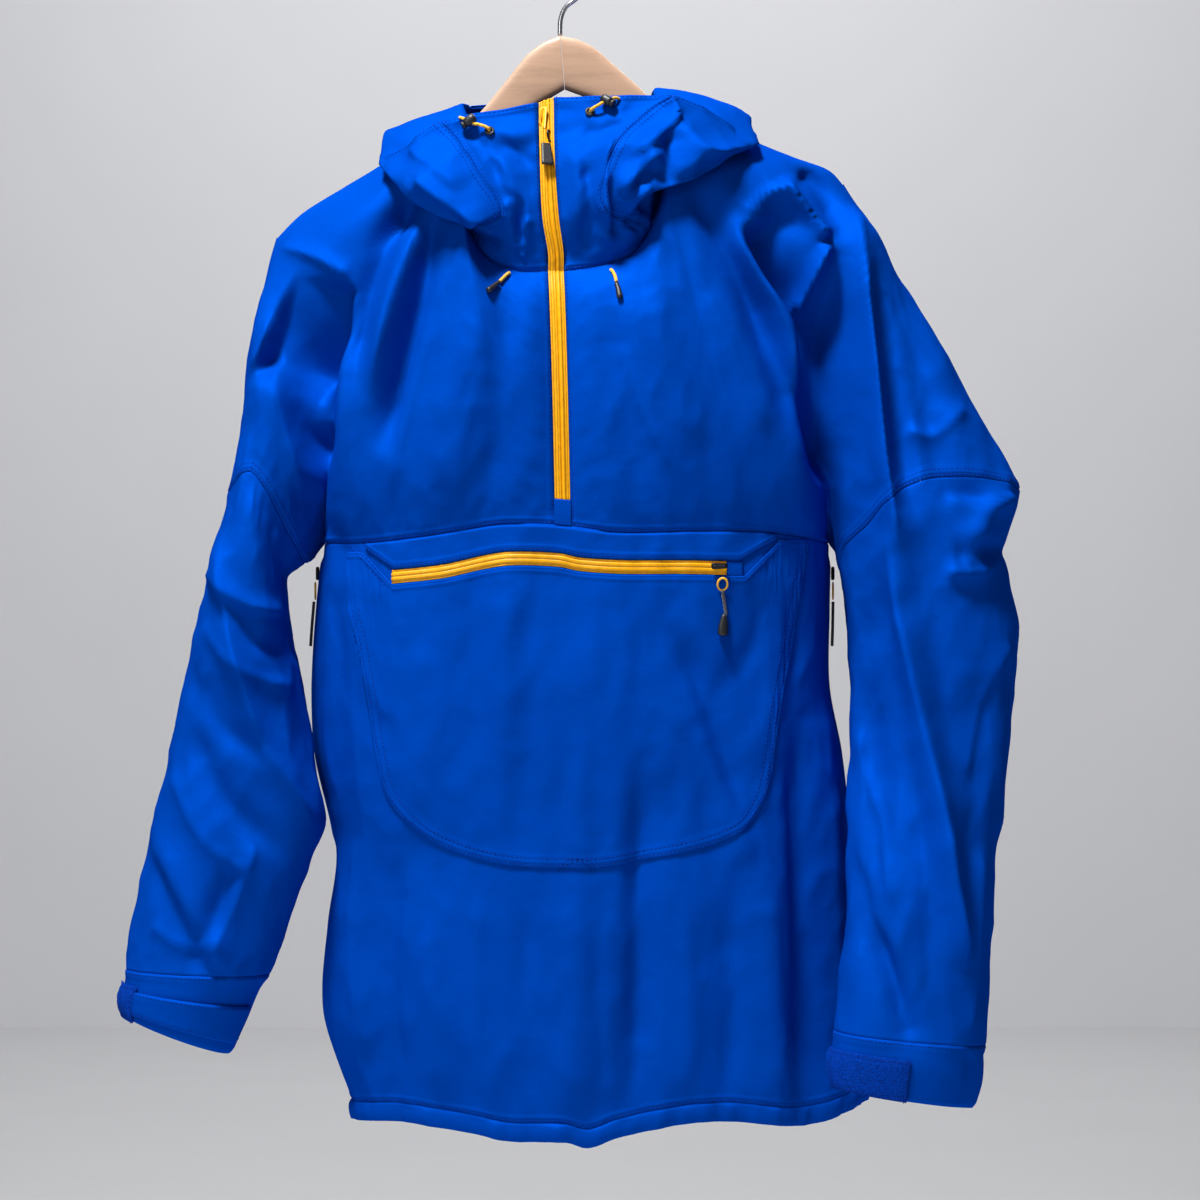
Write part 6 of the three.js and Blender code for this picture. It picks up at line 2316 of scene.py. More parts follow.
    def dress(self, dresser: Dresser) -> None:
        """Makes the slider, ring, cord and grip, and finishes all of the pocket."""
        for node, panel in self.panels.items():
            if node == "pocket_zip_tape":
                dresser.dress(panel.build(0.8), FILM, nodes=[node])
            else:
                panel.finish_seams()
                dresser.dress(panel.build(0.9), SHELL, nodes=[node])
        self.stitches = dresser.dress(self.sewing(), SEWING)
        tape = Skin(self.panels["pocket_zip_tape"].cloth)
        cloth = Skin(self.panels["pocket_panel"].cloth)
        seat = tape.seat(*self.slider_at, self.slider_lift, math.pi / 2)
        slider = pillow("pocket_zip_slider_body", seat, rounded_outline(4.8, 12.0, 1.8, 0.8), 2.6, 0.5)
        dresser.dress(slider, GUNMETAL, nodes=["pocket_zip_slider"])
        ring_seat = cloth.seat(self.pull_x, self.ring_z, self.ring_lift)
        ring = ring_tube("pocket_pull_wire", ring_seat, (3.5, 4.5), 0.8)
        dresser.dress(ring, ENAMEL, "pocket_pull", ["pocket_pull_ring"])
        strands = [cloth.seat(self.pull_x + self.cord_lean * (z - self.cord_top), z, out).place
                   for z, out in self.cord_path]
        cord = tube("pocket_pull_braid", Route(strands).at(np.linspace(0, 1, 26)), 1.15, 10)
        dresser.dress(cord, GREY_CORD, "pocket_pull", ["pocket_pull_cord"])
        grip_seat = cloth.seat(self.pull_x, self.grip_z, self.grip_lift, 0.1)
        grip = grip_shape("pocket_pull_handle", grip_seat, 15.4)
        dresser.dress(grip, BLACK, "pocket_pull", ["pocket_pull_grip"])


def ring_tube(name: str, seat: Seat, half: Place, radius: float, sides: int = 10) -> Piece:
    """Makes a closed oval ring of wire.

    Args:
        name: Name of the object.
        seat: Where its middle lies.
        half: Half its width and half its length.
        radius: Radius of the wire.
        sides: Number of sides of the wire.

    Returns:
        The new object.
    """
    turn = np.linspace(0, 2 * np.pi, 33)
    line = seat.moved(np.column_stack([half[0] * np.cos(turn), half[1] * np.sin(turn), 0 * turn]))[:-1]
    along = unit(np.roll(line, -1, axis=0) - np.roll(line, 1, axis=0))
    middle = line.mean(axis=0)
    out = unit(line - middle)
    up = unit(np.cross(along, out))
    turn = np.linspace(0, 2 * np.pi, sides, endpoint=False)
    rings = [line + radius * (math.cos(t) * out + math.sin(t) * up) for t in turn]
    count = len(line)
    vertices = np.concatenate(rings) * MM
    faces = []
    for k in range(sides):
        n = (k + 1) % sides
        for i in range(count):
            j = (i + 1) % count
            faces.append((k * count + i, n * count + i, n * count + j, k * count + j))
    made = mesh_object(name, vertices, faces)
    face_out(made)
    return made


def grip_shape(name: str, seat: Seat, length: float) -> Piece:
    """Makes a moulded grip, slim where the cord goes in and full at its foot."""
    sections = []
    for share, width, depth in ((0.0, 1.2, 0.9), (0.03, 3.3, 2.2), (0.12, 3.9, 2.6), (0.5, 3.5, 2.3),
                                (0.8, 2.4, 1.8), (0.93, 1.9, 1.5), (1.0, 1.1, 0.9)):
        turn = np.linspace(0, 2 * np.pi, 20, endpoint=False)
        sections.append(np.column_stack([width * np.cos(turn), np.full(20, (share - 0.5) * length),
                                         depth * np.sin(turn)]))
    return lofted(name, seat, sections)


@dataclass
class FrontZip:
    """The front zip: tape with its teeth, slider, link, pull tab and the garage at its foot."""

    hood: Hood
    shown: float = 0.9
    width: float = 11.4
    teeth_pitch: float = 1.3
    slider_at: Place = (-9, -126)
    slider_lift: float = 1.9
    link_at: Place = (-9.2, -139.3)
    link_lift: float = 2.4
    tab_at: Place = (-9.4, -153.7)
    tab_lift: float = 2.6

    def edges(self, start: float, stop: float, count: int) -> tuple[Array, Array]:
        """Returns the left and right edges of the slot, from the rim down where start is 0."""
        share = np.linspace(start, stop, count)
        left, right = ZIP_SLOT["left"].at(share), ZIP_SLOT["right"].at(share)
        if start > 0:
            return left, right
        collar_l = self.hood.grid(np.array([24.0]), np.linspace(0, 1, 60))[:-1, 0]
        collar_r = self.hood.grid(np.array([0.0]), np.linspace(0, 1, 60))[:-1, 0]
        return np.concatenate([collar_l, left]), np.concatenate([collar_r, right])

    def strip(self, name: str, start: float, stop: float, pitch: float, columns: int, trim: float) -> Panel:
        """Makes a strip between the edges of the slot.

        Args:
            name: Name of the strip.
            start: Where it starts, as a share of the slot.
            stop: Where it ends.
            pitch: Distance of its rows.
            columns: Number of its columns.
            trim: Space left at each side.

        Returns:
            The strip.
        """
        left, right = self.edges(start, stop, 80)
        both = resampled(np.concatenate([left, right], axis=1), pitch * 1.414)
        left, right = both[:, :3], both[:, 3:]
        share = np.linspace(0, 1, columns)[None, :, None]
        width = np.linalg.norm(left - right, axis=1)[:, None, None]
        share = trim / width + share * (1 - 2 * trim / width)
        return Panel(name, right[:, None] * (1 - share) + left[:, None] * share)

    def dress(self, dresser: Dresser) -> None:
        """Makes and finishes all of the zip."""
        tape = self.strip("front_zip_film", 0, self.shown, 0.6, 29, 0.15)
        away = (np.linspace(0, 1, 29)[None] - 0.5) * self.width
        along = tape.distance(Edge.TOP)
        tooth = 0.5 + 0.5 * np.cos(2 * np.pi * along / self.teeth_pitch + np.where(away > 0, np.pi, 0))
        band = 1 - smooth(np.abs(away), 2.6, 3.2)
        height = 0.7 * band - 1.3 * hump(away, 0, 0.4) + 0.4 * tooth * hump(np.abs(away), 1.5, 0.6)
        dresser.dress(tape.raise_by(height).build(0.8), FILM, nodes=["front_zip_tape"])
        declare_sheet(tape, "hung", ("yoke_front_r", "yoke_front_l"))
        # Rows of darker yellow dashes beside the coil and near the tape's edges: painted shade of the film's grooves,
        # laid over the teeth's own relief
        teeth_shade_dashes = Stitching("front_zip_teeth_painted_shade", self.teeth_pitch, 0.8, 0.3, 0.05)
        for edge in (Edge.FIRST, Edge.LAST):
            teeth_shade_dashes.follow(*tape.line(edge, self.width / 2 - 2.1))
            teeth_shade_dashes.follow(*tape.line(edge, 1.3))
        dresser.dress(teeth_shade_dashes.build(), TEETH_PAINTED_SHADE)
        garage = self.strip("zip_garage_loop", self.shown, 1.0, 0.8, 17, -0.4)
        swell = np.sin(np.pi * np.linspace(0, 1, len(garage.points)))[:, None]
        garage.raise_by(np.broadcast_to(0.9 + 0.5 * swell, garage.points.shape[:2]))
        dresser.dress(garage.build(1.2), SHELL, nodes=["zip_garage"])
        declare_sheet(garage, "laid", ("front_zip_tape",))
        skin = Skin(tape.cloth)
        seat = skin.seat(*self.slider_at, self.slider_lift, 0.05)
        body = pillow("front_zip_slider_body", seat, rounded_outline(7.8, 17.0, 2.6, 0.72), 2.6, 0.5)
        dresser.dress(body, ENAMEL, nodes=["front_zip_slider"])
        arc = [(0, 7.4, 0.9), (0, 6.4, 2.6), (0, 3.0, 3.1), (0, -1.5, 3.0), (0, -4.6, 2.4), (0, -6.0, 0.9)]
        bridge = tube("front_zip_bridge", seat.moved(Route(arc).at(np.linspace(0, 1, 24))), 0.95, 10)
        dresser.dress(bridge, ENAMEL)
        link = ring_tube("front_pull_wire", skin.seat(*self.link_at, self.link_lift), (2.5, 4.1), 0.75)
        dresser.dress(link, GUNMETAL, "front_pull", ["front_pull_link"])
        tab_seat = skin.seat(*self.tab_at, self.tab_lift, 0.04)
        tab = pillow("front_pull_handle", tab_seat, rounded_outline(9.0, 18.5, 1.5, 0.72), 2.6, 0.35)
        dresser.dress(tab, BLACK, "front_pull", ["front_pull_tab"])


@dataclass
class PitZip:
    """The zip in a side seam under one arm, with its slider, wire ring and cord."""

    side: str
    tag: str
    half_width: float = 5.0
    lift: float = 1.2
    slider_z: float = -452.0
    slider_out: float = 3.6
    ring_edge_z: float = -464.0                     # where the edge is read for the ring
    ring_z: float = -464.8
    ring_out: float = 4.0
    tooth_pitch: float = 1.95
    pull_out: float = 4.2
    cord_radius: float = 1.1
    cord_path: Sequence[Place] = ((0, -472.6), (0.4, -480), (-0.6, -492), (0, -505))

    def edge(self, z: Array | float) -> Array:
        """Returns the torso's side edge at a height."""
        return lookup(TORSO, self.side, z)

    def cord(self, dresser: Dresser) -> None:
        sign = -1.0 if self.side == "right" else 1.0
        knots = [(float(self.edge(z)) + sign * self.pull_out, y, z) for y, z in self.cord_path]
        route = Route(knots)
        line = route.at(np.linspace(0, 1, 40))
        name = f"pit_pull_braid_{self.tag}"
        made = tube(name, line, self.cord_radius, 12)
        dresser.dress(made, GREY_CORD, f"pit_pull_{self.tag}", [f"pit_pull_cord_{self.tag}"])
        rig.cord(made, exit=tuple(line[0] * MM), length=route.length * MM, diameter=2 * self.cord_radius * MM,
                far_end="bare", stiffness="limp", lay="hanging", path=(line * MM).tolist())

    def dress(self, dresser: Dresser) -> None:
        """Makes and finishes the tape, slider and ring."""
        sign = -1.0 if self.side == "right" else 1.0
        z = np.linspace(PIT_TOP, PIT_BOTTOM, 300)
        y = np.linspace(1, -1, 21) * self.half_width * -sign
        grid = np.stack(np.broadcast_arrays(self.edge(z)[:, None] + 0 * y[None], y[None] + 0 * z[:, None],
                                            z[:, None]), -1)
        grid[..., 0] += sign * (self.lift - 0.014 * y[None] ** 2)
        phase = 2 * np.pi * z[:, None] / self.tooth_pitch + np.where(y > 0, np.pi, 0)[None]
        tooth = 0.5 + 0.5 * np.cos(phase)
        height = 0.5 * (1 - smooth(np.abs(y), 2.4, 3.0))[None] - 0.7 * hump(y, 0, 0.45)[None]
        height = height + 0.35 * tooth * hump(np.abs(y), 1.4, 0.7)[None]
        tape = Panel(f"pit_zip_{self.tag}_film", grid).raise_by(height)
        dresser.dress(tape.build(0.9), FILM, nodes=[f"pit_zip_{self.tag}"])
        declare_sheet(tape, "hung", ("front_lower", "back_lower"))
        outward = np.array([sign, 0.0, 0.0])
        slider_x = float(self.edge(self.slider_z)) + sign * self.slider_out
        seat = Seat(np.array([slider_x, 0.0, self.slider_z]), outward)
        body = pillow(f"pit_slider_{self.tag}_body", seat, rounded_outline(6.5, 10, 1.8, 0.8), 2.6, 0.4)
        dresser.dress(body, GUNMETAL, nodes=[f"pit_slider_{self.tag}"])
        ring_x = float(self.edge(self.ring_edge_z)) + sign * self.ring_out
        ring_seat = Seat(np.array([ring_x, 0.0, self.ring_z]), outward)
        ring = ring_tube(f"pit_pull_wire_{self.tag}", ring_seat, (3.1, 6.0), 0.62)
        dresser.dress(ring, ENAMEL, f"pit_pull_{self.tag}", [f"pit_pull_ring_{self.tag}"])


@dataclass
class Adjuster:
    """An eyelet in the collar, the elastic cord out of it and the lock on the cord."""

    tag: str
    skin: Skin
    eyelet: Place
    lock: Place

    def dress(self, dresser: Dresser) -> None:
        """Makes and finishes the eyelet, the cord and the lock."""
        start, start_out = self.skin.front(*self.eyelet)
        stop, stop_out = self.skin.front(*self.lock)
        way = unit(stop - start)
        seat = Seat(start + start_out * 1.1, start_out)
        dresser.dress(ring_tube(f"hood_eyelet_{self.tag}_rim", seat, (2.7, 2.7), 0.95), BLACK,
                      nodes=[f"hood_eyelet_{self.tag}"])
        knots = [start - start_out * 0.4, start + start_out * 3.6 + way * 1.2,
                 (start + stop) / 2 + (start_out + stop_out) * 2.6, stop + stop_out * 5.4 - way * 4.6,
                 stop + stop_out * 5.6, stop + stop_out * 5.3 + way * 5.4, stop + stop_out * 2.2 + way * 8.2]
        line = Route(knots).at(np.linspace(0, 1, 48))
        dresser.dress(tube(f"hood_cord_{self.tag}_braid", line, 1.15, 12), YELLOW_CORD,
                      nodes=[f"hood_cord_{self.tag}"])
        body_seat = Seat(stop + stop_out * 5.2, stop_out, 0.9 if self.tag == "r" else -0.9)
        body = self.lock_body(body_seat)
        dresser.dress(body, BLACK, nodes=[f"hood_lock_{self.tag}"])

    def lock_body(self, seat: Seat) -> Piece:
        """Returns the lock: a barrel with a button at one end."""
        sections = []
        for along, radius in ((-5.9, 1.4), (-5.7, 2.7), (-5.0, 3.2), (-3.9, 3.2), (-3.7, 2.2), (-3.1, 2.2),
                              (-2.9, 3.3), (-1.6, 3.7), (2.6, 3.7), (4.4, 3.3), (5.4, 2.3), (5.8, 0.8)):
            turn = np.linspace(0, 2 * np.pi, 28, endpoint=False)
            sections.append(np.column_stack([radius * np.cos(turn), np.full(28, along),
                                             0.95 * radius * np.sin(turn)]))
        return lofted(f"hood_lock_{self.tag}_body", seat, sections)


@dataclass
class NeckCord:
    """The end of the neck's drawcord: yellow cord out of the seam and its black tip."""

    tag: str
    skin: Skin
    knots: Sequence[Point]
    tip: Sequence[Point]
    radius: float = 1.2
    tip_radius: float = 2.1

    def route(self, knots: Sequence[Point], count: int) -> Array:
        """Returns points along knots given as x, z and distance out of the cloth."""
        places = []
        for x, z, out in knots:
            place, outward = self.skin.front(x, z)
            places.append(place + outward * out)
        return Route(places).at(np.linspace(0, 1, count))

    def dress(self, dresser: Dresser) -> None:
        """Makes and finishes the cord and the tip."""
        line = self.route(self.knots, 24)
        dresser.dress(tube(f"neck_cord_{self.tag}_braid", line, self.radius, 12), YELLOW_CORD,
                      nodes=[f"neck_cord_{self.tag}"])
        tip = self.route(self.tip, 20)
        share = np.linspace(0, 1, 20)
        radius = self.tip_radius * (0.78 + 0.3 * smooth(share, 0.0, 0.9))
        radius = radius * (1 - 0.5 * smooth(share, 0.93, 1.0))
        radius[0] *= 0.8
        dresser.dress(tube(f"neck_cord_end_{self.tag}_tip", tip, radius, 14), BLACK,
                      nodes=[f"neck_cord_end_{self.tag}"])


class CuffPart(NamedTuple):
    """A patch or tab on a cuff: its places round the sleeve and its rows down the cuff."""

    low: float
    high: float
    top: float
    bottom: float


@dataclass
class CuffTrim:
    """The fuzzy patch and the tab of one cuff."""

    sleeve: Sleeve
    patch: CuffPart
    tab: CuffPart
    lift: float = 2.2
    cell: float = 1.6

    def dress(self, dresser: Dresser, stitches: Stitching) -> None:
        """Makes and finishes both.

        Args:
            dresser: Gives them their finishes.
            stitches: Takes the stitches round them.
        """
        tag = self.sleeve.tag
        patch = self.sleeve.on_cuff(f"cuff_patch_{tag}_pile", *self.patch, self.cell)
        patch.raise_by(np.full(patch.points.shape[:2], self.lift))
        edge = np.minimum(np.minimum(patch.distance(Edge.TOP), patch.distance(Edge.BOTTOM)),
                          np.minimum(patch.distance(Edge.FIRST), patch.distance(Edge.LAST)))
        patch.raise_by(0.45 * waves(patch.points, (2.4, 2.4, 2.4), 71.0) * smooth(edge, 0.4, 2.0)
                       - 0.7 * hump(edge, 2.0, 0.8))
        patch.seams = {edge: Seam.SINGLE for edge in Edge}
        dresser.dress(patch.build(1.4), PILE, nodes=[f"cuff_patch_{tag}"])
        declare_sheet(patch, "laid", (f"cuff_{tag}",))
        stitches.sew(patch)
        tab = self.sleeve.on_cuff(f"cuff_tab_{tag}_strap", *self.tab, self.cell)
        tab.raise_by(np.full(tab.points.shape[:2], self.lift + 0.2))
        tab.seams = {edge: Seam.SINGLE for edge in Edge}
        tab.finish_seams()
        dresser.dress(tab.build(1.4), SHELL, nodes=[f"cuff_tab_{tag}"])
        declare_sheet(tab, "laid", (f"cuff_{tag}",))
        stitches.sew(tab)


@dataclass
class Hanger:
    """The wooden hanger and its wire hook."""

    tilt: float = 0.087
    pivot: float = -60.0
    thick: float = 11.0
    wire: float = 3.5
    hook_inside: float = 20.0
    tops: Sequence[tuple[float, float, float]] = (
        (0.15, -60, -60), (10, -62, -62), (24, -70, -70), (38, -85, -85), (57, -105, -105),
        (75, -121, -130), (92, -122, -132), (103, -126.6, -136.3), (131, -142.8, -151.8), (150, -153, -161.7),
        (170, -162.8, -171), (186, -171, -183), (191, -177, -190),
    )
    bottoms: Sequence[tuple[float, float, float]] = (
        (0.15, -99, -99), (8, -103, -103), (20, -108, -108), (38, -119, -119), (57, -133, -133),
        (102, -154, -165), (149, -178, -188), (184, -190, -199), (190, -184, -194),
    )

    def arm(self, tag: str, sign: float) -> Piece:
        """Makes one arm, its edges rounded over.

        Args:
            tag: r or l.
            sign: -1 for r and 1 for l.

        Returns:
            The arm.
        """
        column = 1 if tag == "r" else 2
        reach = np.concatenate([[0.15, 0.5], np.linspace(1.2, 189.4, 96), [190.4, 190.9]])
        top = np.interp(reach, *np.array([(row[0], row[column]) for row in self.tops]).T)
        bottom = np.interp(reach, *np.array([(row[0], row[column]) for row in self.bottoms]).T)
        kernel = np.hanning(9) / np.hanning(9).sum()
        top = np.concatenate([top[:3], np.convolve(top, kernel, "same")[3:-4], top[-4:]])
        bottom = np.concatenate([bottom[:3], np.convolve(bottom, kernel, "same")[3:-4], bottom[-4:]])
        top[3:7] = np.interp(reach[3:7], reach[[2, 7]], top[[2, 7]])
        bottom[3:7] = np.interp(reach[3:7], reach[[2, 7]], bottom[[2, 7]])
        sections = []
        turn = np.linspace(0, 2 * np.pi, 28, endpoint=False)
        for x, high, low in zip(reach, top, bottom):
            half, middle = (high - low) / 2, (high + low) / 2
            y = self.thick / 2 * np.sign(np.cos(turn)) * np.abs(np.cos(turn)) ** 0.45
            z = middle + half * np.sign(np.sin(turn)) * np.abs(np.sin(turn)) ** 0.45
            px = sign * x * math.cos(self.tilt) - (z - self.pivot) * math.sin(self.tilt)
            pz = self.pivot + sign * x * math.sin(self.tilt) + (z - self.pivot) * math.cos(self.tilt)
            sections.append(np.column_stack([px, y, pz]))
        flat = Seat(np.zeros(3), np.array([0.0, -1.0, 0.0]))
        inverse = [np.linalg.solve(flat.axes().T, section.T).T for section in sections]
        return lofted(f"hanger_arm_{tag}_wood", flat, inverse)

    def dress(self, dresser: Dresser) -> None:
        """Makes and finishes the hanger."""
        for tag, sign in (("r", -1.0), ("l", 1.0)):
            lean = sign * -0.62 + self.tilt
            wood = PaleWood(f"pale wood {tag}", lean)
            dresser.dress(self.arm(tag, sign), wood, nodes=[f"hanger_arm_{tag}"])
        radius = self.hook_inside + self.wire / 2
        stem = [(0, 0, self.pivot + 0.5), (0, 0, -54), (0.6, 0, -47), (4, 0, -39), (12, 0, -32.5)]
        for step in range(13):
            angle = -0.12 + step / 12 * (math.pi + 0.75)
            stem.append((radius * math.cos(angle), 0, radius * math.sin(angle) - self.hook_inside))
        wire = tube("hanger_hook_wire", Route(stem).at(np.linspace(0, 1, 120)), self.wire / 2, 16)
        dresser.dress(wire, Steel(), nodes=["hanger_hook"])


class Lamp(NamedTuple):
    """A soft square lamp: its place, where it points, the side of its face in metres, and watts."""

    name: str
    place: Point
    target: Point
    size: float
    power: float


@dataclass
class Studio:
    """Camera, pale floor and backdrop, and soft light."""

    camera_place: Point = (CAMERA_X * MM, -CAMERA_AWAY * MM, CAMERA_Z * MM)
    lens: float = 123.3
    floor_z: float = -1.46
    backdrop_y: float = 6.5
    world: float = 0.14                             # strength of the light from all round
    lamps: Sequence[Lamp] = (
        Lamp("top_lamp", (-0.6, -0.9, 2.1), (0.0, 0.0, -0.5), 0.5, 168.0),
        Lamp("side_lamp", (-1.4, -2.6, 0.3), (0.0, 0.0, -0.6), 1.2, 16.0),
        Lamp("back_lamp", (0.5, 1.8, 1.2), (0.0, 0.0, -0.5), 1.6, 26.0),
        Lamp("wall_lamp", (0.0, 4.3, 2.2), (0.0, 6.5, -0.6), 2.4, 56.0),
    )

    def camera(self) -> None:
        """Makes the camera at the photograph's angle."""
        data = bpy.data.cameras.new("camera")
        data.lens = self.lens
        data.sensor_width = 36.0
        data.clip_end = 50.0
        made = bpy.data.objects.new("camera", data)
        made.location = self.camera_place
        made.rotation_euler = (math.pi / 2, 0.0, 0.0)
        bpy.context.scene.collection.objects.link(made)
        bpy.context.scene.camera = made

    def surface(self, name: str, corners: Sequence[Point], color: Sequence[float]) -> None:
        """Makes one flat face of the stage."""
        mesh = bpy.data.meshes.new(name)
        mesh.from_pydata(corners, [], [(0, 1, 2, 3)])
        made = bpy.data.objects.new(name, mesh)
        bpy.context.scene.collection.objects.link(made)
        g = Graph(name)
        g.paint(g.noise(3.0, 3.0), [(0.3, shade(color, 0.98)), (0.7, color)])
        mesh.materials.append(g.done(Roughness=0.9))
        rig.stage(made)

    def lamp(self, lamp: Lamp) -> None:
        """Makes one soft lamp."""
        data = bpy.data.lights.new(lamp.name, "AREA")
        data.size = lamp.size
        data.energy = lamp.power
        made = bpy.data.objects.new(lamp.name, data)
        made.location = lamp.place
        made.rotation_euler = (Vector(lamp.target) - Vector(lamp.place)).to_track_quat("-Z", "Y").to_euler()
        bpy.context.scene.collection.objects.link(made)

    def build(self) -> None:
        """Makes the floor, the backdrop and the lights."""
        z, y = self.floor_z, self.backdrop_y
        self.surface("floor", ((-8, -8, z), (8, -8, z), (8, y, z), (-8, y, z)), (0.74, 0.74, 0.75))
        self.surface("backdrop", ((-8, y, z), (8, y, z), (8, y, 7), (-8, y, 7)), (0.78, 0.78, 0.8))
        for lamp in self.lamps:
            self.lamp(lamp)
        world = bpy.data.worlds.new("studio")
        world.use_nodes = True
        world.node_tree.nodes["Background"].inputs["Color"].default_value = (0.9, 0.93, 1.0, 1.0)
        world.node_tree.nodes["Background"].inputs["Strength"].default_value = self.world
        bpy.context.scene.world = world
        bpy.context.scene.view_settings.view_transform = "Standard"


def sheet_sizes(panel: Panel) -> tuple[tuple[float, float], float]:
    """Works out the flat size of a panel's cut from its points.

    Args:
        panel: The panel.

    Returns:
        Width and length in metres of the oblong that holds the cut, and the cut's area.
    """
    p = panel.points * MM
    if panel.closed:
        p = np.concatenate([p, p[:, :1]], axis=1)
    widths = np.linalg.norm(np.diff(p, axis=1), axis=-1).sum(axis=1)
    lengths = np.linalg.norm(np.diff(p, axis=0), axis=-1).sum(axis=0)
    one = np.cross(p[1:, :-1] - p[:-1, :-1], p[:-1, 1:] - p[:-1, :-1])
    two = np.cross(p[1:, :-1] - p[1:, 1:], p[:-1, 1:] - p[1:, 1:])
    area = float((np.linalg.norm(one, axis=-1) + np.linalg.norm(two, axis=-1)).sum() / 2)
    return (float(widths.max()), float(lengths.max())), area


def declare_sheet(panel: Panel, held: str, rests_on: Sequence[str],
                  pieces: Sequence[Piece] = ()) -> None:
    """Declares a panel as a sheet of cloth with the size of its cut.

    Args:
        panel: The panel, already built.
        held: How it is held.
        rests_on: Names of what it hangs from or lies on.
        pieces: Separate pieces on it.
    """
    flat, area = sheet_sizes(panel)
    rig.sheet(panel.cloth, flat=flat, held=held, rests_on=list(rests_on), area=min(area, flat[0] * flat[1]),
             with_pieces=list(pieces))


class Sheet(NamedTuple):
    """How one cloth piece is held and what it hangs from or lies on."""

    node: str
    held: str
    rests_on: Sequence[str]


SHEETS = (
    Sheet("yoke_front_r", "hung", ("hanger_arm_r",)),
    Sheet("yoke_front_l", "hung", ("hanger_arm_l",)),
    Sheet("yoke_back", "hung", ("hanger_arm_r", "hanger_arm_l")),
    Sheet("front_lower", "hung", ("yoke_front_r", "yoke_front_l")),
    Sheet("back_lower", "hung", ("yoke_back",)),
    Sheet("hem_front", "gathered", ("front_lower",)),
    Sheet("hem_back", "gathered", ("back_lower",)),
    Sheet("sleeve_upper_r", "hung", ("yoke_front_r", "yoke_back")),
    Sheet("sleeve_upper_l", "hung", ("yoke_front_l", "yoke_back")),
    Sheet("sleeve_lower_r", "hung", ("sleeve_upper_r",)),
    Sheet("sleeve_lower_l", "hung", ("sleeve_upper_l",)),
    Sheet("cuff_r", "gathered", ("sleeve_lower_r",)),
    Sheet("cuff_l", "gathered", ("sleeve_lower_l",)),
    Sheet("collar_r", "draped", ("yoke_front_r",)),
    Sheet("collar_l", "draped", ("yoke_front_l",)),
    Sheet("hood_side_r", "draped", ("yoke_front_r", "yoke_back")),
    Sheet("hood_side_l", "draped", ("yoke_front_l", "yoke_back")),
    Sheet("hood_centre", "draped", ("yoke_back",)),
    Sheet("pocket_band", "laid", ("front_lower",)),
    Sheet("pocket_panel", "laid", ("front_lower",)),
    Sheet("pocket_zip_tape", "laid", ("front_lower",)),
)


def fold_arms(yokes: Yokes, lowers: Lowers, sleeves: Sequence[Sleeve]) -> None:
    """Puts the folds round the arms on the yoke, the lower front and the sleeve that share them."""
    for sleeve in sleeves:
        for panel in (yokes.panels[f"yoke_front_{sleeve.tag}"], lowers.panels["front_lower"],
                      *list(sleeve.panels.values())[:2]):
            ahead = smooth(-panel.points[..., 1], 0, 22)
            height = ahead * fold_heights(ARM_FOLDS[sleeve.side], seen(panel.points))
            lean = np.clip(outward_of_torso(panel.points, FRONT), -0.35, 0.35) * [1, 0, 0]
            panel.raise_by(height, unit(lean + np.array([0.0, FRONT, 0.0])))


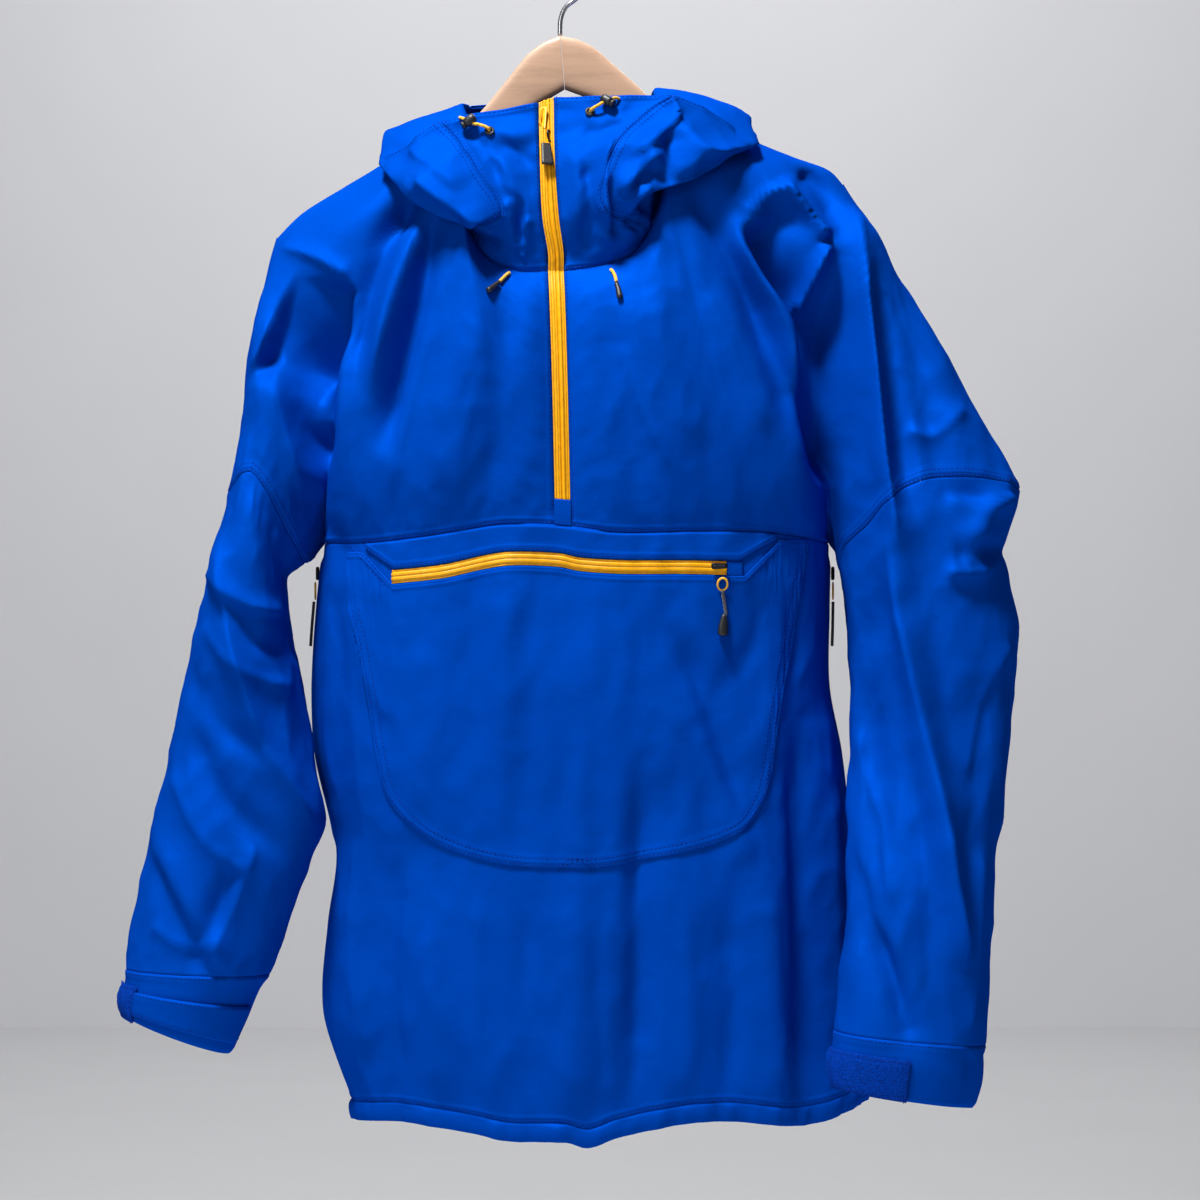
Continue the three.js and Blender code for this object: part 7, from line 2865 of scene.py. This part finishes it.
def main() -> None:
    """Builds the pullover class by class and reports each piece."""
    logging.basicConfig(level=logging.INFO, format="%(message)s")
    studio = Studio()
    studio.camera()
    dresser = Dresser()
    pits = [PitZip("right", "r"), PitZip("left", "l")]
    for pit in pits:
        pit.cord(dresser)
    yokes = Yokes()
    yokes.build()
    lowers = Lowers()
    lowers.build()
    sleeves = [Sleeve("right", "r"), Sleeve("left", "l")]
    for sleeve in sleeves:
        sleeve.build()
    joints = armholes(yokes, sleeves)
    for joint in joints:
        joint.round_off()
    fold_arms(yokes, lowers, sleeves)
    for joint in joints:
        joint.share()
    hood = Hood()
    hood.build()
    sewn = {}
    panels = {}
    for part in (yokes, lowers, *sleeves, hood):
        stitches = Stitching(f"stitches_{type(part).__name__.lower()}{getattr(part, 'tag', '')}")
        for node, panel in part.panels.items():
            panel.finish_seams()
            panel.build()
            stitches.sew(panel)
            dresser.dress(panel.cloth, SHELL, nodes=[node])
        sewn[next(iter(part.panels))] = [dresser.dress(stitches.build(), SEWING)]
        panels.update(part.panels)
    front = lowers.panels["front_lower"].cloth
    pocket = Pocket(Skin(front), front)
    pocket.build()
    pocket.dress(dresser)
    panels.update({node: panel for node, panel in pocket.panels.items() if node != "pocket_zip_end"})
    sewn["pocket_panel"] = [pocket.stitches]
    sewn["pocket_band"] = [pocket.panels["pocket_zip_end"].cloth]
    FrontZip(hood).dress(dresser)
    for pit in pits:
        pit.dress(dresser)
    for sheet in SHEETS:
        declare_sheet(panels[sheet.node], sheet.held, sheet.rests_on, sewn.get(sheet.node, ()))
    collar_r = Skin(hood.panels["collar_r"].cloth, hood.panels["hood_side_r"].cloth)
    collar_l = Skin(hood.panels["collar_l"].cloth, hood.panels["hood_side_l"].cloth)
    Adjuster("r", collar_r, (-50, -136), (-64, -129)).dress(dresser)
    Adjuster("l", collar_l, (22, -122), (36, -116)).dress(dresser)
    NeckCord("r", Skin(yokes.panels["yoke_front_r"].cloth),
             ((-35.6, -238.6, 1.0), (-37, -240, 2.0), (-40, -243, 2.2), (-43, -246, 2.4)),
             ((-43.6, -246.6, 2.4), (-47, -249.4, 2.5), (-52, -253, 2.6))).dress(dresser)
    NeckCord("l", Skin(yokes.panels["yoke_front_l"].cloth),
             ((37, -236.6, 1.0), (38, -238, 2.0), (40, -242, 2.2), (41, -246, 2.4)),
             ((41.2, -247, 2.4), (42.8, -252, 2.5), (44, -258, 2.6))).dress(dresser)
    trim_stitches = Stitching("stitches_cuffs")
    CuffTrim(sleeves[0], CuffPart(0, 4, 1 / 3, 1), CuffPart(4, 12, 0.42, 0.86)).dress(dresser, trim_stitches)
    CuffTrim(sleeves[1], CuffPart(0, 7, 1 / 3, 1), CuffPart(-8, 0, 0.42, 0.86)).dress(dresser, trim_stitches)
    dresser.dress(trim_stitches.build(), SEWING)
    Hanger().dress(dresser)
    studio.build()
    with open("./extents.json", "w", encoding="utf-8") as out:
        json.dump({"cad": [list(c) for c in cad_box], "visual": [list(c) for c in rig.bounds()]}, out)


if __name__ == "__main__":
    main()
